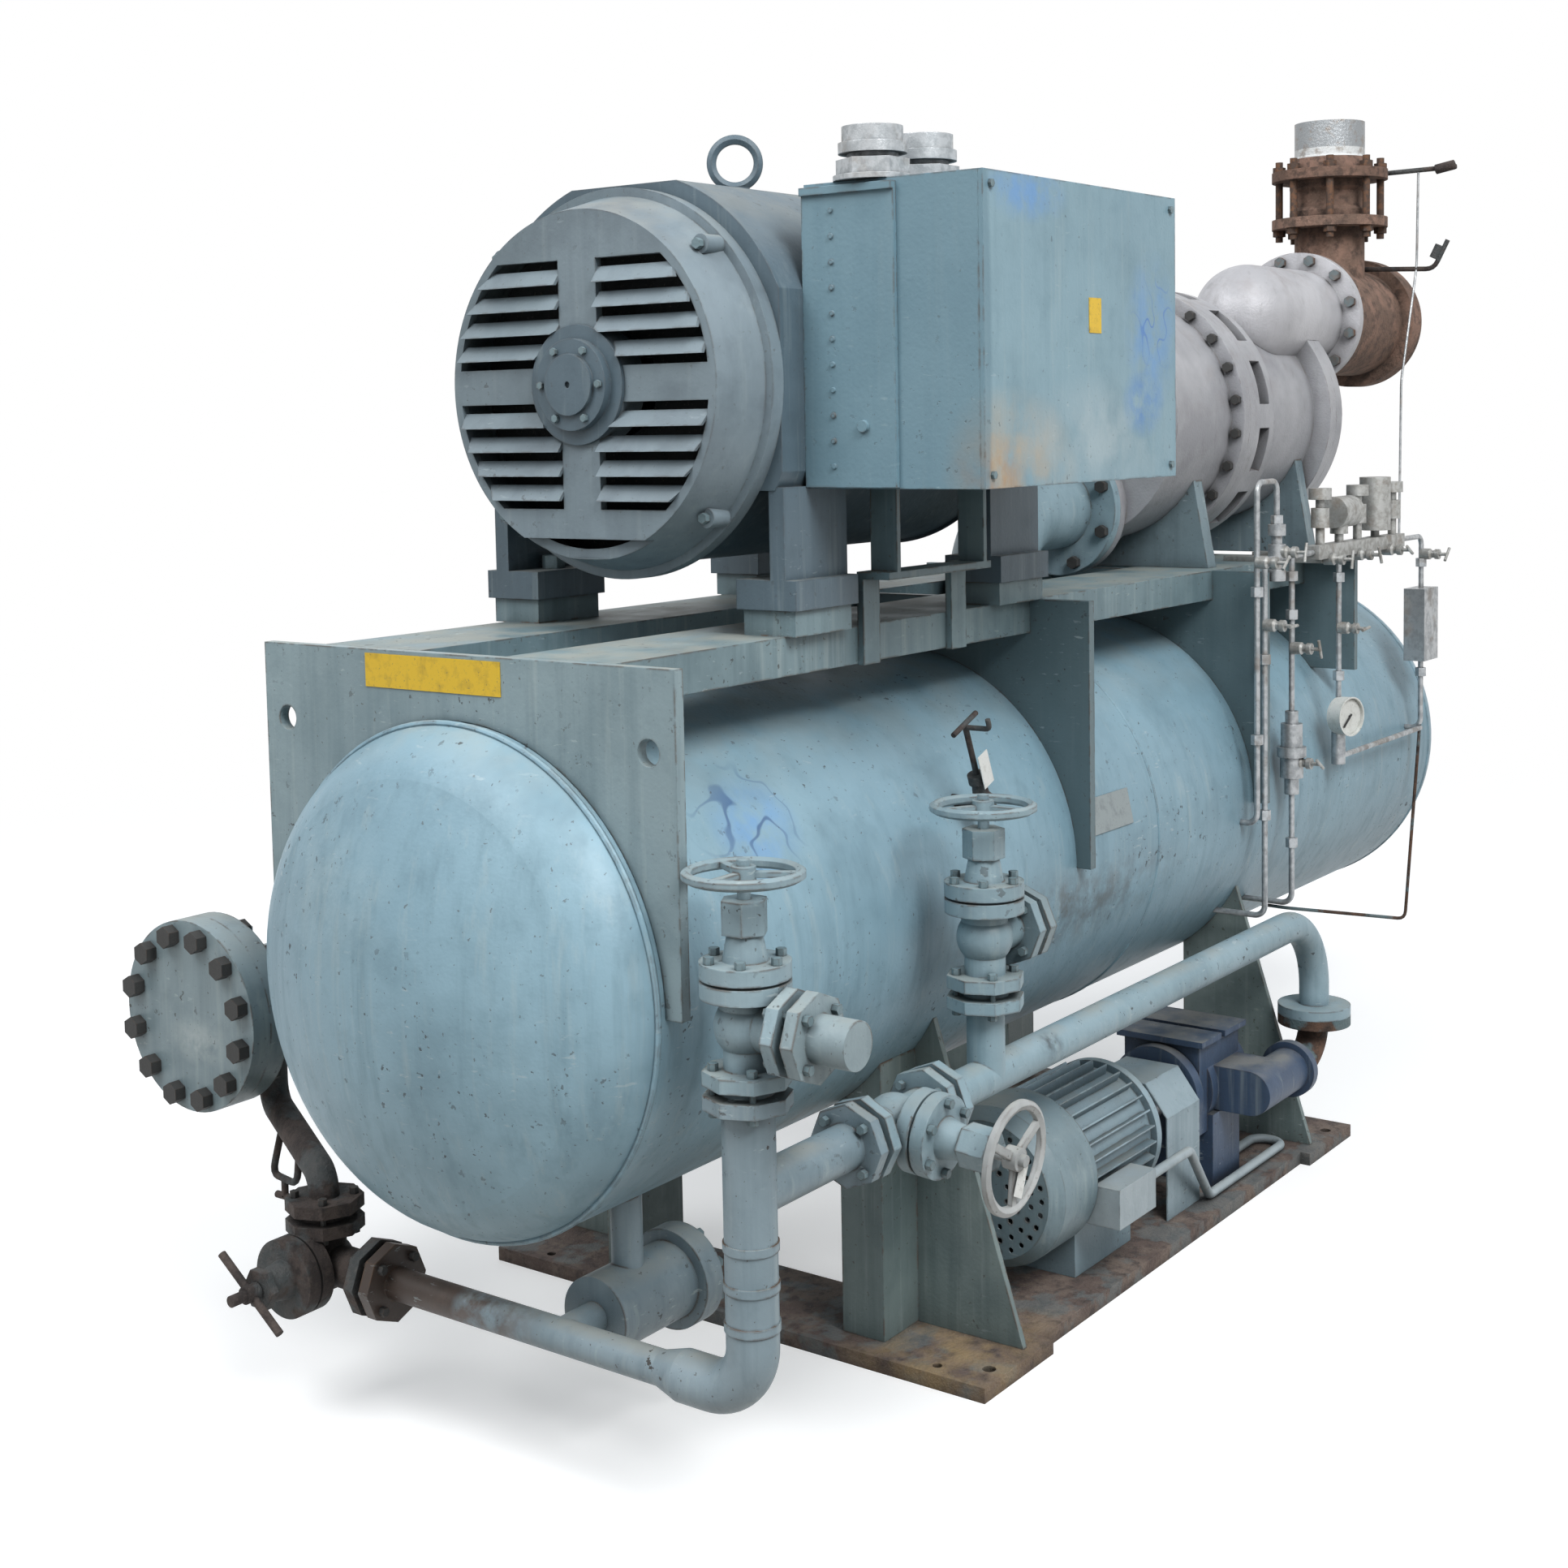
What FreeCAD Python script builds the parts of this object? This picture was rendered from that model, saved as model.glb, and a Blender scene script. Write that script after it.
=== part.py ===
"""Rotary screw compressor package: motor and compressor on rails over an oil separator.

Lengths are in millimetres. +X runs along the separator from the motor end to the
suction end, -Y is the operator's side and +Z is up. The origin is on the floor at the
centre of the four anchor holes. Stations are distances along X from the front face of
the front saddle plate, as they would be taped on the real package.
"""
import FreeCAD, Part
import math
import os
import Sketcher

os.makedirs("parts", exist_ok=True)
doc = FreeCAD.newDocument("compressor_package")
Vector = FreeCAD.Vector

SIZES = {
    # stations and heights of the frame
    "origin_station": 1335,
    "plate_thickness": 18,
    "saddle_margin": 28,
    "saddle_top": 1206,
    "saddle_station_2": 1150,
    "saddle_station_3": 1905,
    "saddle_station_4": 2380,
    "saddle_drop_4": 250,
    "lifting_hole_radius": 19,
    "lifting_hole_inset": 48,
    "lifting_hole_drop": 115,
    # separator vessel
    "vessel_radius": 381,
    "vessel_wall": 13,
    "vessel_height": 729,
    "vessel_start": 20,
    "vessel_end": 2930,
    "head_depth": 190,
    "knuckle_radius": 130,
    "outlet_radius": 57,
    "outlet_length": 90,
    "outlet_hole_radius": 9.5,
    # rails under the machinery
    "rail_inner": 87,
    "rail_width": 203,
    "rail_depth": 60,
    "rail_wall": 12,
    # base
    "base_thickness": 25,
    "cross_plate_width": 218,
    "cross_plate_half_length": 520,
    "anchor_spacing_x": 1370,
    "anchor_spacing_y": 980,
    "anchor_hole_radius": 11,
    "anchor_margin": 64,
    "jack_spacing_x": 1440,
    "jack_spacing_y": 830,
    "jack_hole_radius": 8,
    "side_plate_inset": 20,
    "side_plate_width": 250,
    # stands
    "wing_thickness": 12,
    "wing_offset": 53,
    "wing_foot_half": 500,
    "wing_top_half": 335,
    "column_inner": 216,
    "column_width": 82,
    "column_depth": 102,
    "column_wall": 8,
    # drive motor
    "motor_face_station": 288,
    "motor_face_radius": 266,
    "motor_face_chord": 236,
    "motor_ring_radius": 304,
    "motor_ring_width": 26,
    "motor_frame_start": 402,
    "motor_frame_end": 1130,
    "motor_half_width": 298,
    "motor_half_height": 310,
    "motor_side_drop": 165,
    "motor_wall": 14,
    "motor_rear_end": 1196,
    "motor_rear_radius": 262,
    "louvre_count": 5,
    "louvre_pitch": 37.5,
    "louvre_slot": 13,
    "louvre_first": 34,
    "louvre_half_bar": 38,
    "louvre_rim": 14,
    "bell_wall": 14,
    "blade_rise": 12,
    "lug_circle": 288,
    "lug_radius": 15,
    "lug_length": 40,
    "lug_bolt_size": 15,
    "lug_bolt_height": 11,
    "cap_dimple": 5,
    "cap_radius": 70,
    "cap_boss_radius": 47,
    "hub_radius": 92,
    "stator_outer": 270,
    "stator_bore": 172,
    "stator_length": 420,
    "rotor_gap": 2,
    "shaft_radius": 45,
    "bearing_width": 40,
    "bearing_outer": 80,
    "running_clearance": 0.05,
    "foot_start": 400,
    "foot_length": 165,
    "foot_inner": 205,
    "foot_outer": 318,
    "foot_thickness": 46,
    "foot_pitch": 600,
    "riser_height": 40,
    "riser_inset": 8,
    "foot_bolt_size": 34,
    "foot_bolt_height": 22,
    "eye_station": 690,
    "eye_ring_radius": 39,
    "eye_bar_radius": 9,
    "eye_collar_radius": 24,
    # terminal box
    "box_start": 470,
    "box_length": 612,
    "box_outer": 610,
    "box_bottom": 1428,
    "box_height": 456,
    "box_wall": 4,
    "cover_thickness": 8,
    "cover_width": 165,
    "cover_lip": 6,
    "cover_button_radius": 4,
    "cover_button_first": 36,
    "cover_button_pitch": 38,
    "cover_button_y": 352,
    "cover_knob_radius": 9,
    "cover_knob_y": 406,
    "cover_knob_drop": 363,
    "cover_screw_inset": 20,
    "cover_screw_size": 11,
    "cover_screw_height": 5,
    "hub_pipe_radius": 46,
    "hub_height": 80,
    "hub_first": 505,
    "hub_pitch": 140,
    "hub_y": 400,
    "clamp_width": 46,
    "clamp_thickness": 12,
    "clamp_first": 606,
    "clamp_pitch": 262,
    "clamp_drop": 62,
    "clamp_rise": 86,
    "post_thickness": 10,
    "post_depth": 50,
    # compressor casings
    "casing_floor_gap": 28,
    "coupling_housing_radius": 158,
    "coupling_flange_radius": 205,
    "coupling_neck_radius": 100,
    "coupling_neck_length": 94,
    "coupling_radius": 92,
    "coupling_start": 1250,
    "coupling_length": 180,
    "casing_wall": 18,
    "discharge_casing_radius": 258,
    "ring_station": 2070,
    "ring_radius": 288,
    "ring_width": 30,
    "ring_bolt_count": 24,
    "ring_bolt_circle": 273,
    "ring_bolt_size": 19,
    "ring_bolt_height": 13,
    "rotor_casing_end": 2590,
    "rotor_casing_radius": 240,
    "slot_ring_radius": 284,
    "slot_ring_start": 2135,
    "slot_pocket_width": 96,
    "slot_ring_width": 100,
    "end_ring_radius": 282,
    "end_ring_width": 34,
    "end_cover_radius": 200,
    "end_cover_end": 2720,
    "pedestal_start": 1960,
    "pedestal_length": 40,
    "pedestal_half_width": 255,
    "rear_pedestal_start": 2500,
    # rotors
    "rotor_centre_distance": 140,
    "male_lobes": 4,
    "female_flutes": 6,
    "lobe_radius": 34,
    "rotor_clearance": 1.2,
    "rotor_end_gap": 2,
    "rotor_length": 360,
    "male_wrap": 240,
    "rotor_journal": 30,
    "rotor_bearing_outer": 52,
    "rotor_bearing_width": 38,
    "shaft_hole_gap": 1.5,
    "bore_clearance": 1.5,
    "slide_radius": 38,
    "slide_length": 190,
    "slide_rod_radius": 12,
    "slide_offset": 84,
    "slide_drop": 74,
    "slide_piston_radius": 46,
    "slide_piston_width": 22,
    "slide_cylinder_radius": 60,
    "slide_cylinder_end": 2800,
    # discharge line
    "discharge_radius": 84,
    "discharge_station": 1500,
    "discharge_drop": 184,
    "discharge_bend": 152,
    "discharge_flange_radius": 140,
    "discharge_flange_station": 1790,
    "discharge_flange_width": 24,
    "discharge_bolt_circle": 121,
    "discharge_bolts": 8,
    "flange_bolt_size": 23,
    "flange_bolt_height": 15,
    # suction line
    "suction_y": 120,
    "suction_rise": 228,
    "suction_flange_radius": 160,
    "suction_flange_station": 2760,
    "suction_flange_width": 22,
    "elbow_radius": 118,
    "elbow_neck_station": 2450,
    "strainer_radius": 132,
    "strainer_end": 3150,
    "strainer_cover_width": 30,
    "suction_bolts": 12,
    "suction_bolt_circle": 142,
    "riser_station": 2945,
    "valve_neck_rise": 228,
    "valve_flange_radius": 139,
    "valve_flange_width": 24,
    "valve_flange_gap": 92,
    "valve_body_radius": 96,
    "stud_radius": 9,
    "stud_circle": 121,
    "stud_count": 8,
    "stud_overhang": 28,
    "stud_nut_size": 27,
    "stub_radius": 84.15,
    "stub_wall": 8,
    "stub_length": 81,
    "cone_height": 36,
    # oil piping
    "oil_pipe_radius": 36.5,
    "oil_line_y": 500,
    "oil_bend": 95,
    "header_pipe_radius": 30,
    "header_bend": 150,
    "union_radius": 73,
    "leg_station": 25,
    "header_height": 505,
    "header_end": 1935,
    "union_height": 299,
    "cross_pipe_height": 225,
    "cross_pipe_radius": 25,
    "reducer_reach": 120,
    "reducer_length": 40,
    "coupling_ring_width": 12,
    "coupling_ring_pitch": 55,
    "valve_1_height": 735,
    "valve_2_station": 635,
    "valve_2_height": 728,
    "valve_3_station": 373,
    "valve_3_tilt": 4,
    "valve_3_reach": 92,
    # valve pattern shared by the three handwheel valves
    "ball_radius": 44,
    "line_flange_radius": 57,
    "line_flange_width": 20,
    "line_flange_gap": 13,
    "line_bolt_circle": 46,
    "line_bolt_size": 13,
    "line_bolt_height": 10,
    "foot_flange_offset": 58,
    "seat_gap": 0.3,
    "bonnet_flange_radius": 62,
    "bonnet_flange_width": 24,
    "bonnet_offset": 40,
    "neck_radius": 24,
    "neck_length": 36,
    "gland_size": 66,
    "gland_length": 46,
    "branch_length": 66,
    "branch_cap_radius": 33,
    "branch_cap_length": 60,
    "stem_radius": 9,
    "wheel_radius": 84,
    "wheel_rim": 8,
    "wheel_hub_radius": 17,
    "wheel_hub_length": 22,
    "wheel_offset": 203,
    "spoke_width": 12,
    "spoke_count": 3,
    "disc_radius": 21,
    "disc_thickness": 14,
    "disc_pocket": 24,
    # drain valve on the cross pipe
    "drain_valve_y": 345,
    "drain_reach": 125,
    "drain_rise": 74,
    "drain_gland_length": 14,
    "drain_bar_offset": 152,
    "drain_stem_tip": 190,
    "drain_bar_radius": 6.5,
    "drain_bar_length": 160,
    "drain_hub_length": 24,
    # oil cooler on the far side
    "cooler_y": 640,
    "cooler_height": 577,
    "cooler_radius": 84,
    "cooler_start": 60,
    "cooler_end": 2100,
    "blind_radius": 158.75,
    "blind_width": 36,
    "blind_bolts": 12,
    "blind_bolt_circle": 135,
    "blind_bolt_size": 32,
    "blind_bolt_height": 20,
    "riser_pipe_radius": 24,
    "riser_pipe_station": 136,
    "riser_pipe_inset": 50,
    "feed_rise": 50,
    "cooler_plug_radius": 8,
    "cooler_plug_height": 40,
    "feed_bend": 40,
    "cooler_bracket_width": 60,
    # oil filter
    "filter_y": 150,
    "filter_start": 100,
    "filter_length": 190,
    "filter_radius": 60,
    "filter_lid_radius": 78,
    "filter_lid_width": 22,
    # oil pump set
    "pump_y": 345,
    "pump_height": 214,
    "cowl_start": 889,
    "cowl_length": 110,
    "cowl_radius": 140,
    "cowl_wall": 3,
    "pump_motor_end": 1300,
    "pump_motor_radius": 112,
    "fin_height": 18,
    "fin_count": 28,
    "fin_width": 5,
    "pump_shaft_radius": 14,
    "fan_radius": 100,
    "fan_width": 34,
    "guard_start": 1374,
    "guard_length": 137,
    "guard_half_width": 100,
    "guard_top": 281,
    "guard_wall": 3,
    "pump_start": 1520,
    "pump_length": 270,
    "pump_radius": 92,
    "pump_core_radius": 60,
    "pump_nozzle": 30,
    "air_hole_size": 9,
    "pump_block_half": 80,
    "pump_block_rise": 96,
    "pump_lid_thickness": 12,
    "pump_flange_radius": 56,
    "conduit_station": 1030,
    "conduit_reach": 110,
    "conduit_radius": 9,
    "conduit_bend": 30,
    "conduit_box_length": 136,
    "conduit_box_height": 70,
    "conduit_box_drop": 79,
    "conduit_box_depth": 70,
    "conduit_lay_y": 460,
    "conduit_turn_station": 1880,
    "conduit_end_y": 395,
    # instruments
    "tube_radius": 6,
    "tube_bend": 22,
    "manifold_half": 15,
    "cock_height": 120,
    "manifold_station": 2130,
    "manifold_length": 500,
    "manifold_height": 1232,
    "gauge_radius": 43,
    "gauge_depth": 36,
    "gauge_station": 2274,
    "gauge_height": 868,
    "side_tube_station": 1883,
    "side_tap_height": 500,
    "loop_station": 1846,
    "loop_top": 1390,
    "loop_tap_height": 698,
    "stack_station": 1944,
    "stack_radius": 18,
    "stack_height": 116,
    "regulator_station": 2020,
    "regulator_low": 733,
    "regulator_height": 175,
    "regulator_radius": 30,
    "switch_width": 90,
    "switch_depth": 50,
    "switch_height": 170,
    "switch_low": 940,
    "level_tube_height": 776,
    "can_radius": 34,
    "can_length": 95,
    "can_rise": 80,
}

sheet = doc.addObject("Spreadsheet::Sheet", "size")
for row, (alias, number) in enumerate(SIZES.items(), start=1):
    sheet.set(f"A{row}", alias.replace("_", " "))
    sheet.set(f"B{row}", str(number))
    sheet.setAlias(f"B{row}", alias)
doc.recompute()


class Dim:
    """A size as an expression on the sheet's cells, with its value in millimetres."""

    def __init__(self, text, number):
        self.text = text
        self.number = float(number)

    def __float__(self):
        return self.number

    def __add__(self, other):
        other = dim(other)
        return Dim(f"({self.text} + {other.text})", self.number + other.number)

    def __sub__(self, other):
        other = dim(other)
        return Dim(f"({self.text} - {other.text})", self.number - other.number)

    def __mul__(self, other):
        other = dim(other)
        return Dim(f"({self.text} * {other.text})", self.number * other.number)

    def __truediv__(self, other):
        other = dim(other)
        return Dim(f"({self.text} / {other.text})", self.number / other.number)

    def __neg__(self):
        return Dim(f"(0 - {self.text})", -self.number)

    __radd__ = __add__
    __rmul__ = __mul__

    def __rsub__(self, other):
        return dim(other) - self


class Sizes:
    """The sheet's cells by name, so that size.vessel_radius reads like the sheet."""

    def __getattr__(self, alias):
        return Dim(f"size.{alias}", sheet.get(alias))


def dim(value):
    """A plain number as a Dim; a Dim as it is."""
    if isinstance(value, Dim):
        return value
    return Dim(f"{float(value):.6g}", value)


def root_of(value):
    """The square root of a Dim."""
    return Dim(f"sqrt({value.text})", math.sqrt(value.number))


def sine(degrees):
    """The sine of an angle in degrees, held as a Dim."""
    return Dim(f"sin({degrees.text} * 1 deg)", math.sin(math.radians(degrees.number)))


def cosine(degrees):
    """The cosine of an angle in degrees, held as a Dim."""
    return Dim(f"cos({degrees.text} * 1 deg)", math.cos(math.radians(degrees.number)))


size = Sizes()
nodes = []

X_UP = Vector(1, 0, 0)
X_DOWN = Vector(-1, 0, 0)
Y_UP = Vector(0, 1, 0)
Y_DOWN = Vector(0, -1, 0)
Z_UP = Vector(0, 0, 1)
Z_DOWN = Vector(0, 0, -1)


def station(value):
    """The X coordinate of a station."""
    return dim(value) - size.origin_station


def node(thing, name):
    """Name a finished sub-part; its label is its file's name."""
    thing.Label = name
    nodes.append(thing)
    return thing


def put(thing, place, rotation=None):
    """Place an object, with its base bound to the sheet."""
    spot = Vector(*[float(value) for value in place])
    thing.Placement = FreeCAD.Placement(spot, rotation or FreeCAD.Rotation())
    for letter, value in zip("xyz", place):
        thing.setExpression(f"Placement.Base.{letter}", dim(value).text)
    return thing


def bind(thing, **values):
    """Set properties of an object by expressions."""
    for name, value in values.items():
        setattr(thing, name, float(value))
        thing.setExpression(name, dim(value).text)
    return thing


def box(name, low, high):
    """A block between two corners."""
    thing = doc.addObject("Part::Box", name)
    bind(thing, Length=high[0] - low[0], Width=high[1] - low[1], Height=high[2] - low[2])
    return put(thing, low)


def cylinder(name, start, axis, radius, length):
    """A round bar from a start point along an axis."""
    thing = doc.addObject("Part::Cylinder", name)
    bind(thing, Radius=radius, Height=length)
    return put(thing, start, FreeCAD.Rotation(Z_UP, axis))


def cone(name, start, axis, radius_1, radius_2, length):
    """A tapered bar from a start point along an axis."""
    thing = doc.addObject("Part::Cone", name)
    bind(thing, Radius1=radius_1, Radius2=radius_2, Height=length)
    return put(thing, start, FreeCAD.Rotation(Z_UP, axis))


def ball(name, centre, radius):
    """A sphere."""
    thing = doc.addObject("Part::Sphere", name)
    bind(thing, Radius=radius)
    return put(thing, centre)


def fuse(name, *things):
    """One solid from several."""
    thing = doc.addObject("Part::MultiFuse", name)
    thing.Shapes = list(things)
    thing.Refine = True
    return thing


def cut(name, base, *tools):
    """A solid with others taken out of it."""
    for number, tool in enumerate(tools, start=1):
        thing = doc.addObject("Part::Cut", f"{name}_{number}")
        thing.Base = base
        thing.Tool = tool
        base = thing
    return base


def group(name, *things):
    """Several solids that share one node."""
    thing = doc.addObject("Part::Compound", name)
    thing.Links = list(things)
    return thing


def origin_part(body, role):
    """A plane or axis of a body's own origin."""
    return [part for part in body.Origin.OriginFeatures if part.Role == role][0]


def polygon(sketch, points):
    """A closed outline in a sketch, each corner held by two bound distances."""
    count = len(points)
    spots = [Vector(float(across), float(up), 0) for across, up in points]
    first = sketch.GeometryCount
    for index in range(count):
        sketch.addGeometry(Part.LineSegment(spots[index], spots[(index + 1) % count]), False)
    for index in range(count):
        following = first + (index + 1) % count
        sketch.addConstraint(Sketcher.Constraint("Coincident", first + index, 2, following, 1))
    for index, (across, up) in enumerate(points):
        for kind, value in (("DistanceX", across), ("DistanceY", up)):
            constraint = Sketcher.Constraint(kind, -1, 1, first + index, 1, float(value))
            number = sketch.addConstraint(constraint)
            sketch.setExpression(f"Constraints[{number}]", dim(value).text)


def circle(sketch, across, up, radius):
    """A circle in a sketch, with its centre and radius bound."""
    spot = Vector(float(across), float(up), 0)
    index = sketch.addGeometry(Part.Circle(spot, Vector(0, 0, 1), float(radius)), False)
    for kind, value in (("DistanceX", across), ("DistanceY", up)):
        number = sketch.addConstraint(Sketcher.Constraint(kind, -1, 1, index, 3, float(value)))
        sketch.setExpression(f"Constraints[{number}]", dim(value).text)
    number = sketch.addConstraint(Sketcher.Constraint("Radius", index, float(radius)))
    sketch.setExpression(f"Constraints[{number}]", dim(radius).text)


def new_sketch(body, name, role):
    """A sketch on one of the body's own planes."""
    sketch = body.newObject("Sketcher::SketchObject", name)
    sketch.AttachmentSupport = (origin_part(body, role), [""])
    sketch.MapMode = "FlatFace"
    return sketch


FACING = {
    "x": FreeCAD.Rotation(Y_UP, Z_UP, X_UP, "ZXY"),
    "y": FreeCAD.Rotation(X_UP, Z_UP, Y_DOWN, "ZXY"),
    "z": FreeCAD.Rotation(),
}


def plate(name, corner, facing, thickness, outline, holes=()):
    """A padded outline. Facing x it is drawn in Y and Z, facing y in X and Z, from -Y."""
    body = doc.addObject("PartDesign::Body", name)
    sketch = new_sketch(body, f"{name}_outline", "XY_Plane")
    polygon(sketch, outline)
    for hole in holes:
        circle(sketch, *hole)
    pad = body.newObject("PartDesign::Pad", f"{name}_pad")
    pad.Profile = sketch
    bind(pad, Length=thickness)
    return put(body, corner, FACING[facing])


def turned(name, start, axis, profile):
    """A turned piece: its profile is (distance along the axis, radius) from the start."""
    body = doc.addObject("PartDesign::Body", name)
    sketch = new_sketch(body, f"{name}_profile", "XY_Plane")
    polygon(sketch, profile)
    turn = body.newObject("PartDesign::Revolution", f"{name}_turn")
    turn.Profile = sketch
    turn.ReferenceAxis = (origin_part(body, "X_Axis"), [""])
    turn.Angle = 360
    return put(body, start, FreeCAD.Rotation(X_UP, axis))


def step_profile(*steps):
    """The profile of stacked discs, given as (thickness, radius) from the start."""
    points = [(dim(0), dim(0))]
    along = dim(0)
    for thickness, radius in steps:
        points.append((along, dim(radius)))
        along = along + thickness
        points.append((along, dim(radius)))
    points.append((along, dim(0)))
    return points


def feature(name, shape, place=(0, 0, 0), rotation=None):
    """A piece whose shape is made by code from the sheet's values."""
    thing = doc.addObject("Part::Feature", name)
    thing.Shape = shape
    return put(thing, place, rotation)


def plain(place):
    """A place given in Dims as a vector."""
    return Vector(*[float(value) for value in place])


def pipe_shape(points, bend, radius):
    """A round bar along straight runs joined by tangent arcs of one bend radius."""
    spots = [plain(point) for point in points]
    bend = float(bend)
    edges = []
    start = spots[0]
    for before, corner, after in zip(spots, spots[1:], spots[2:]):
        inward = (corner - before).normalize()
        outward = (after - corner).normalize()
        half_turn = inward.getAngle(outward) / 2
        setback = bend * math.tan(half_turn)
        arc_start = corner - inward * setback
        arc_end = corner + outward * setback
        toward = (outward - inward).normalize()
        middle = corner + toward * (bend / math.cos(half_turn) - bend)
        edges.append(Part.LineSegment(start, arc_start).toShape())
        edges.append(Part.Arc(arc_start, middle, arc_end).toShape())
        start = arc_end
    edges.append(Part.LineSegment(start, spots[-1]).toShape())
    path = Part.Wire(edges)
    direction = (spots[1] - spots[0]).normalize()
    ring = Part.Wire(Part.makeCircle(float(radius), spots[0], direction))
    return path.makePipeShell([ring], True, False)


def pipe(name, points, bend, radius):
    """A pipe run as an object of its own."""
    return feature(name, pipe_shape(points, bend, radius))


def ring_of_places(centre, axis, circle_radius, count, first_angle=0.0):
    """Places round a circle about an axis, with the first angle in degrees."""
    turn = FreeCAD.Rotation(Z_UP, axis)
    middle = plain(centre)
    places = []
    for index in range(int(float(count))):
        angle = math.radians(first_angle + 360 * index / float(count))
        arm = Vector(math.cos(angle), math.sin(angle), 0) * float(circle_radius)
        places.append(middle + turn.multVec(arm))
    return places


def hex_head(spot, axis, across, height):
    """A hexagon head standing on a face at a spot."""
    axis = Vector(axis).normalize()
    turn = FreeCAD.Rotation(Z_UP, axis)
    corner = float(across) / math.sqrt(3)
    corners = []
    for index in range(7):
        angle = math.radians(60 * index)
        corners.append(spot + turn.multVec(Vector(math.cos(angle), math.sin(angle), 0)) * corner)
    return Part.Face(Part.makePolygon(corners)).extrude(axis * float(height))


def bolt_ring(centre, axis, circle_radius, count, across, height, first_angle=0.0):
    """Hexagon heads round a circle."""
    places = ring_of_places(centre, axis, circle_radius, count, first_angle)
    return [hex_head(place, axis, across, height) for place in places]


bolt_shapes = []


# Oil separator vessel

def vessel_shape(radius, depth, knuckle, length):
    """A vessel with dished heads: a crown and a knuckle arc at each end, turned about X."""
    r, d, k, span = float(radius), float(depth), float(knuckle), float(length)
    crown = (d * d + (r - k) ** 2 - k * k) / (2 * (d - k))
    meet = math.asin((r - k) / (crown - k))
    half = meet / 2
    bend = (meet + math.pi / 2) / 2
    crown_x = crown - d
    tip = Vector(-d, 0, 0)
    crown_middle = Vector(crown_x - crown * math.cos(half), crown * math.sin(half), 0)
    join = Vector(crown_x - crown * math.cos(meet), crown * math.sin(meet), 0)
    knuckle_middle = Vector(-k * math.cos(bend), r - k + k * math.sin(bend), 0)
    tangent = Vector(0, r, 0)

    def mirrored(point):
        return Vector(span - point.x, point.y, 0)

    edges = [
        Part.Arc(tip, crown_middle, join).toShape(),
        Part.Arc(join, knuckle_middle, tangent).toShape(),
        Part.LineSegment(tangent, mirrored(tangent)).toShape(),
        Part.Arc(mirrored(tangent), mirrored(knuckle_middle), mirrored(join)).toShape(),
        Part.Arc(mirrored(join), mirrored(crown_middle), mirrored(tip)).toShape(),
        Part.LineSegment(mirrored(tip), tip).toShape(),
    ]
    section = Part.Face(Part.Wire(Part.sortEdges(edges)[0]))
    return section.revolve(Vector(0, 0, 0), X_UP, 360)


vessel_length = size.vessel_end - size.vessel_start
vessel_x = station(size.vessel_start)
vessel_place = (vessel_x, dim(0), size.vessel_height)
vessel_wall = size.vessel_wall
vessel_outer = feature(
    "vessel_outer",
    vessel_shape(size.vessel_radius, size.head_depth, size.knuckle_radius, vessel_length),
    vessel_place,
)
vessel_cavity = feature(
    "vessel_cavity",
    vessel_shape(size.vessel_radius - vessel_wall, size.head_depth - vessel_wall,
                 size.knuckle_radius - vessel_wall, vessel_length),
    vessel_place,
)
rear_tip = station(size.vessel_end + size.head_depth)
outlet_start = rear_tip - size.vessel_wall
outlet = turned(
    "outlet_nozzle",
    (outlet_start, dim(0), size.vessel_height),
    X_UP,
    step_profile(
        (size.outlet_length, size.outlet_radius),
        (size.discharge_flange_width, size.outlet_radius * 2.2),
    ),
)
outlet_bore = cylinder(
    "outlet_bore",
    (outlet_start - size.vessel_wall, dim(0), size.vessel_height),
    X_UP,
    size.outlet_radius - size.stub_wall,
    size.outlet_length + size.discharge_flange_width + size.vessel_wall * 2,
)
outlet_holes = []
outlet_face = outlet_start + size.outlet_length
for spot in ring_of_places((outlet_face - 1, dim(0), size.vessel_height), X_UP,
                           size.outlet_radius * 1.75, size.discharge_bolts, 22.5):
    outlet_holes.append(Part.makeCylinder(float(size.outlet_hole_radius),
                                         float(size.discharge_flange_width) + 2, spot, X_UP))
outlet_hole_tools = feature("outlet_holes", Part.makeCompound(outlet_holes))
vessel_walls = fuse("vessel_walls", vessel_outer, outlet)
node(
    cut("vessel_cut", vessel_walls, vessel_cavity, outlet_bore, outlet_hole_tools),
    "separator_vessel",
)

# Saddle plates, cut round the shell

shell_tool_radius = size.vessel_radius
saddle_half_width = size.vessel_radius + size.saddle_margin


def saddle(name, at_station, drop, notched):
    """A cross plate over the vessel, with notches that the rails pass through."""
    side = saddle_half_width
    top = size.saddle_top
    bottom = size.saddle_top - drop
    outline = [(-side, bottom), (side, bottom), (side, top)]
    if notched:
        for edge in (1, -1):
            outer = (size.rail_inner + size.rail_width) * edge
            inner = size.rail_inner * edge
            first, second = (outer, inner) if edge == 1 else (inner, outer)
            floor = top - size.rail_depth
            outline += [(first, top), (first, floor), (second, floor), (second, top)]
    outline.append((-side, top))
    holes = []
    if not notched:
        across = side - size.lifting_hole_inset
        for edge in (1, -1):
            holes.append((across * edge, top - size.lifting_hole_drop, size.lifting_hole_radius))
    blank = plate(
        f"{name}_blank", (station(at_station), dim(0), dim(0)), "x",
        size.plate_thickness, outline, holes,
    )
    bore = cylinder(
        f"{name}_bore", (station(at_station) - 1, dim(0), size.vessel_height), X_UP,
        shell_tool_radius, size.plate_thickness + 2,
    )
    return cut(f"{name}_cut", blank, bore)


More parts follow.
